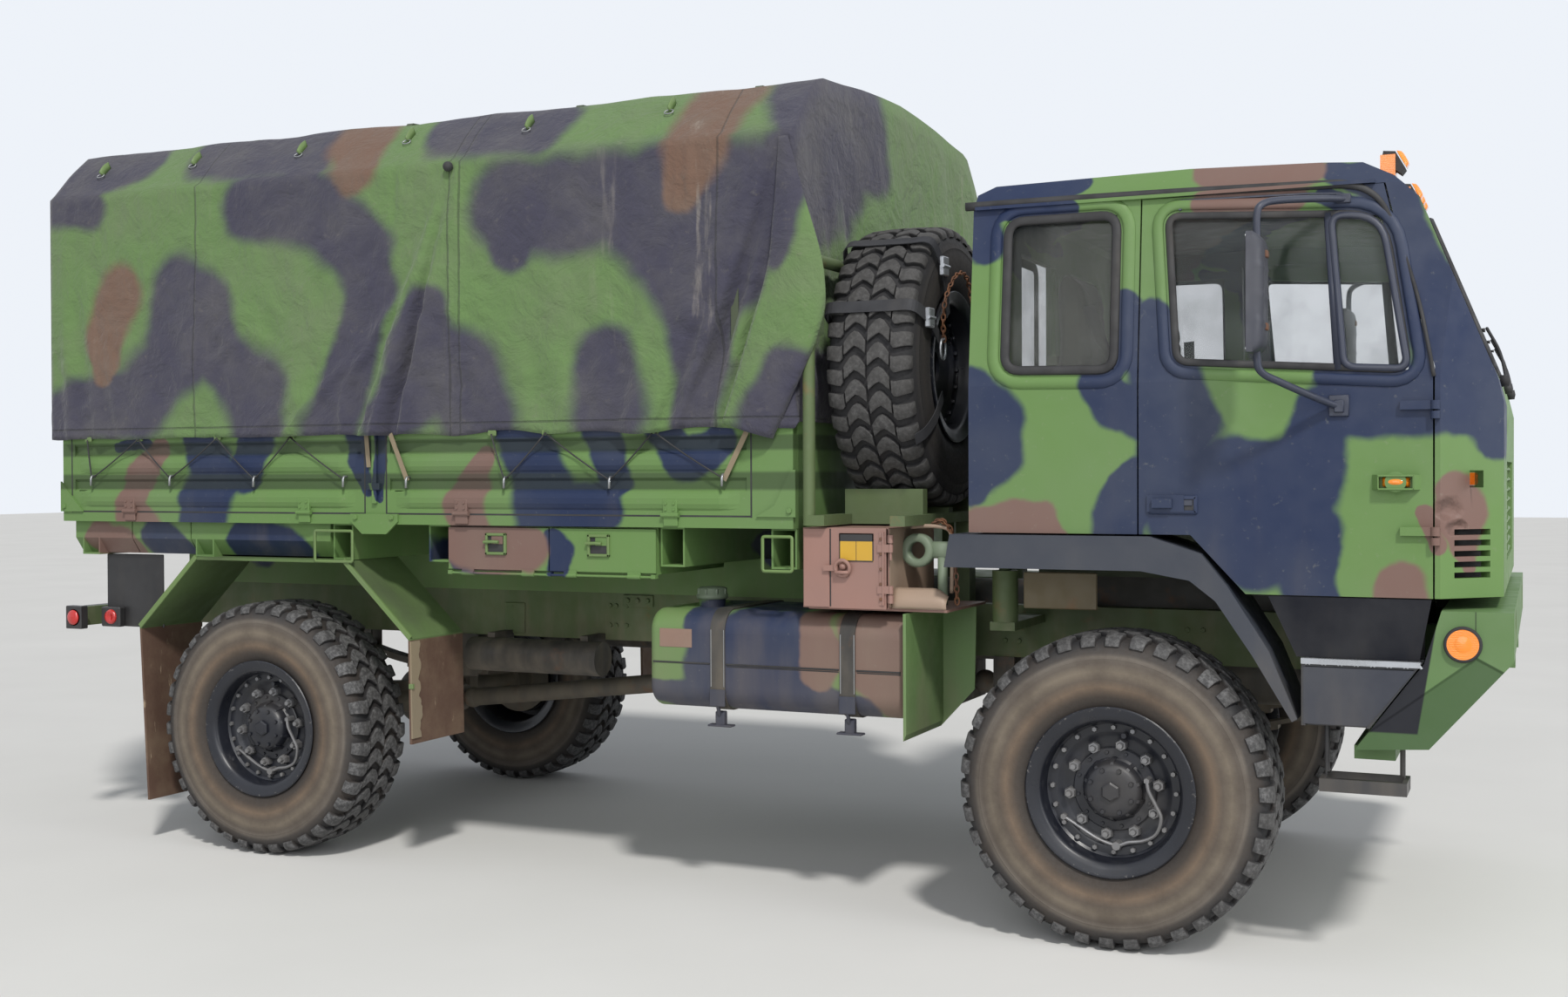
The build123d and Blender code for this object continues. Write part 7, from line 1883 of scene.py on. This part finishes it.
def studio_sky(dim, bright):
    """Even world light: dim on the object, bright where the camera, a reflection or glass sees it."""
    world = bpy.data.worlds.new("studio")
    bpy.context.scene.world = world
    world.use_nodes = True
    nodes, link = world.node_tree.nodes, world.node_tree.links.new
    path, first, second = (nodes.new("ShaderNode" + kind) for kind in ("LightPath", "Math", "Math"))
    first.operation = second.operation = "MAXIMUM"
    link(path.outputs["Is Camera Ray"], first.inputs[0])
    link(path.outputs["Is Glossy Ray"], first.inputs[1])
    link(first.outputs[0], second.inputs[0])
    link(path.outputs["Is Transmission Ray"], second.inputs[1])
    strength = nodes.new("ShaderNodeMapRange")
    link(second.outputs[0], strength.inputs["Value"])
    strength.inputs["To Min"].default_value, strength.inputs["To Max"].default_value = dim, bright
    link(strength.outputs[0], nodes["Background"].inputs["Strength"])
    nodes["Background"].inputs["Color"].default_value = (0.90, 0.94, 1.0, 1.0)


def lamp(name, kind, place, aim, energy, size, colour=(1, 1, 1)):
    """Light at a place, turned to a point. Its size is a disc's width, or the sun's angle."""
    data = bpy.data.lights.new(name, kind)
    data.energy, data.color = energy, colour
    if kind == "AREA":
        data.shape, data.size = "DISK", size
    else:
        data.angle = size
    lit = bpy.data.objects.new(name, data)
    bpy.context.collection.objects.link(lit)
    way = np.array(aim, float) - np.array(place, float)
    lit.location = place
    lit.rotation_euler = (atan2(float(np.hypot(way[0], way[1])), -way[2]), 0, atan2(way[1], way[0]) - pi / 2)


floor_piece()
studio_sky(0.36, 0.95)
lamp("sun", "SUN", (5.0, -6.5, 10.0), (0, 0, 1), 2.3, 0.10, (1.0, 0.97, 0.92))
lamp("side_fill", "AREA", (2.0, -11.0, 5.0), (0, 0, 1.4), 300, 7.0)
lamp("front_fill", "AREA", (11.0, -3.0, 5.0), (1, 0, 1.6), 240, 6.0)

# The camera that was fitted to the photograph: its middle row is 562.9 of 1144, in a frame 1800 wide
eye = bpy.data.cameras.new("camera")
eye.sensor_fit = "HORIZONTAL"
eye.sensor_width, eye.lens, eye.clip_end = 36.0, 38.63, 300.0
eye.shift_y = (562.9 - 1144 / 2) / 1800
camera = bpy.data.objects.new("camera", eye)
bpy.context.collection.objects.link(camera)
camera.location = (3.338, -7.171, 1.728)
camera.rotation_euler = (radians(90.0 - 0.60), radians(0.22), radians(24.31))
bpy.context.scene.camera = camera
bpy.context.scene.view_settings.view_transform = "Standard"
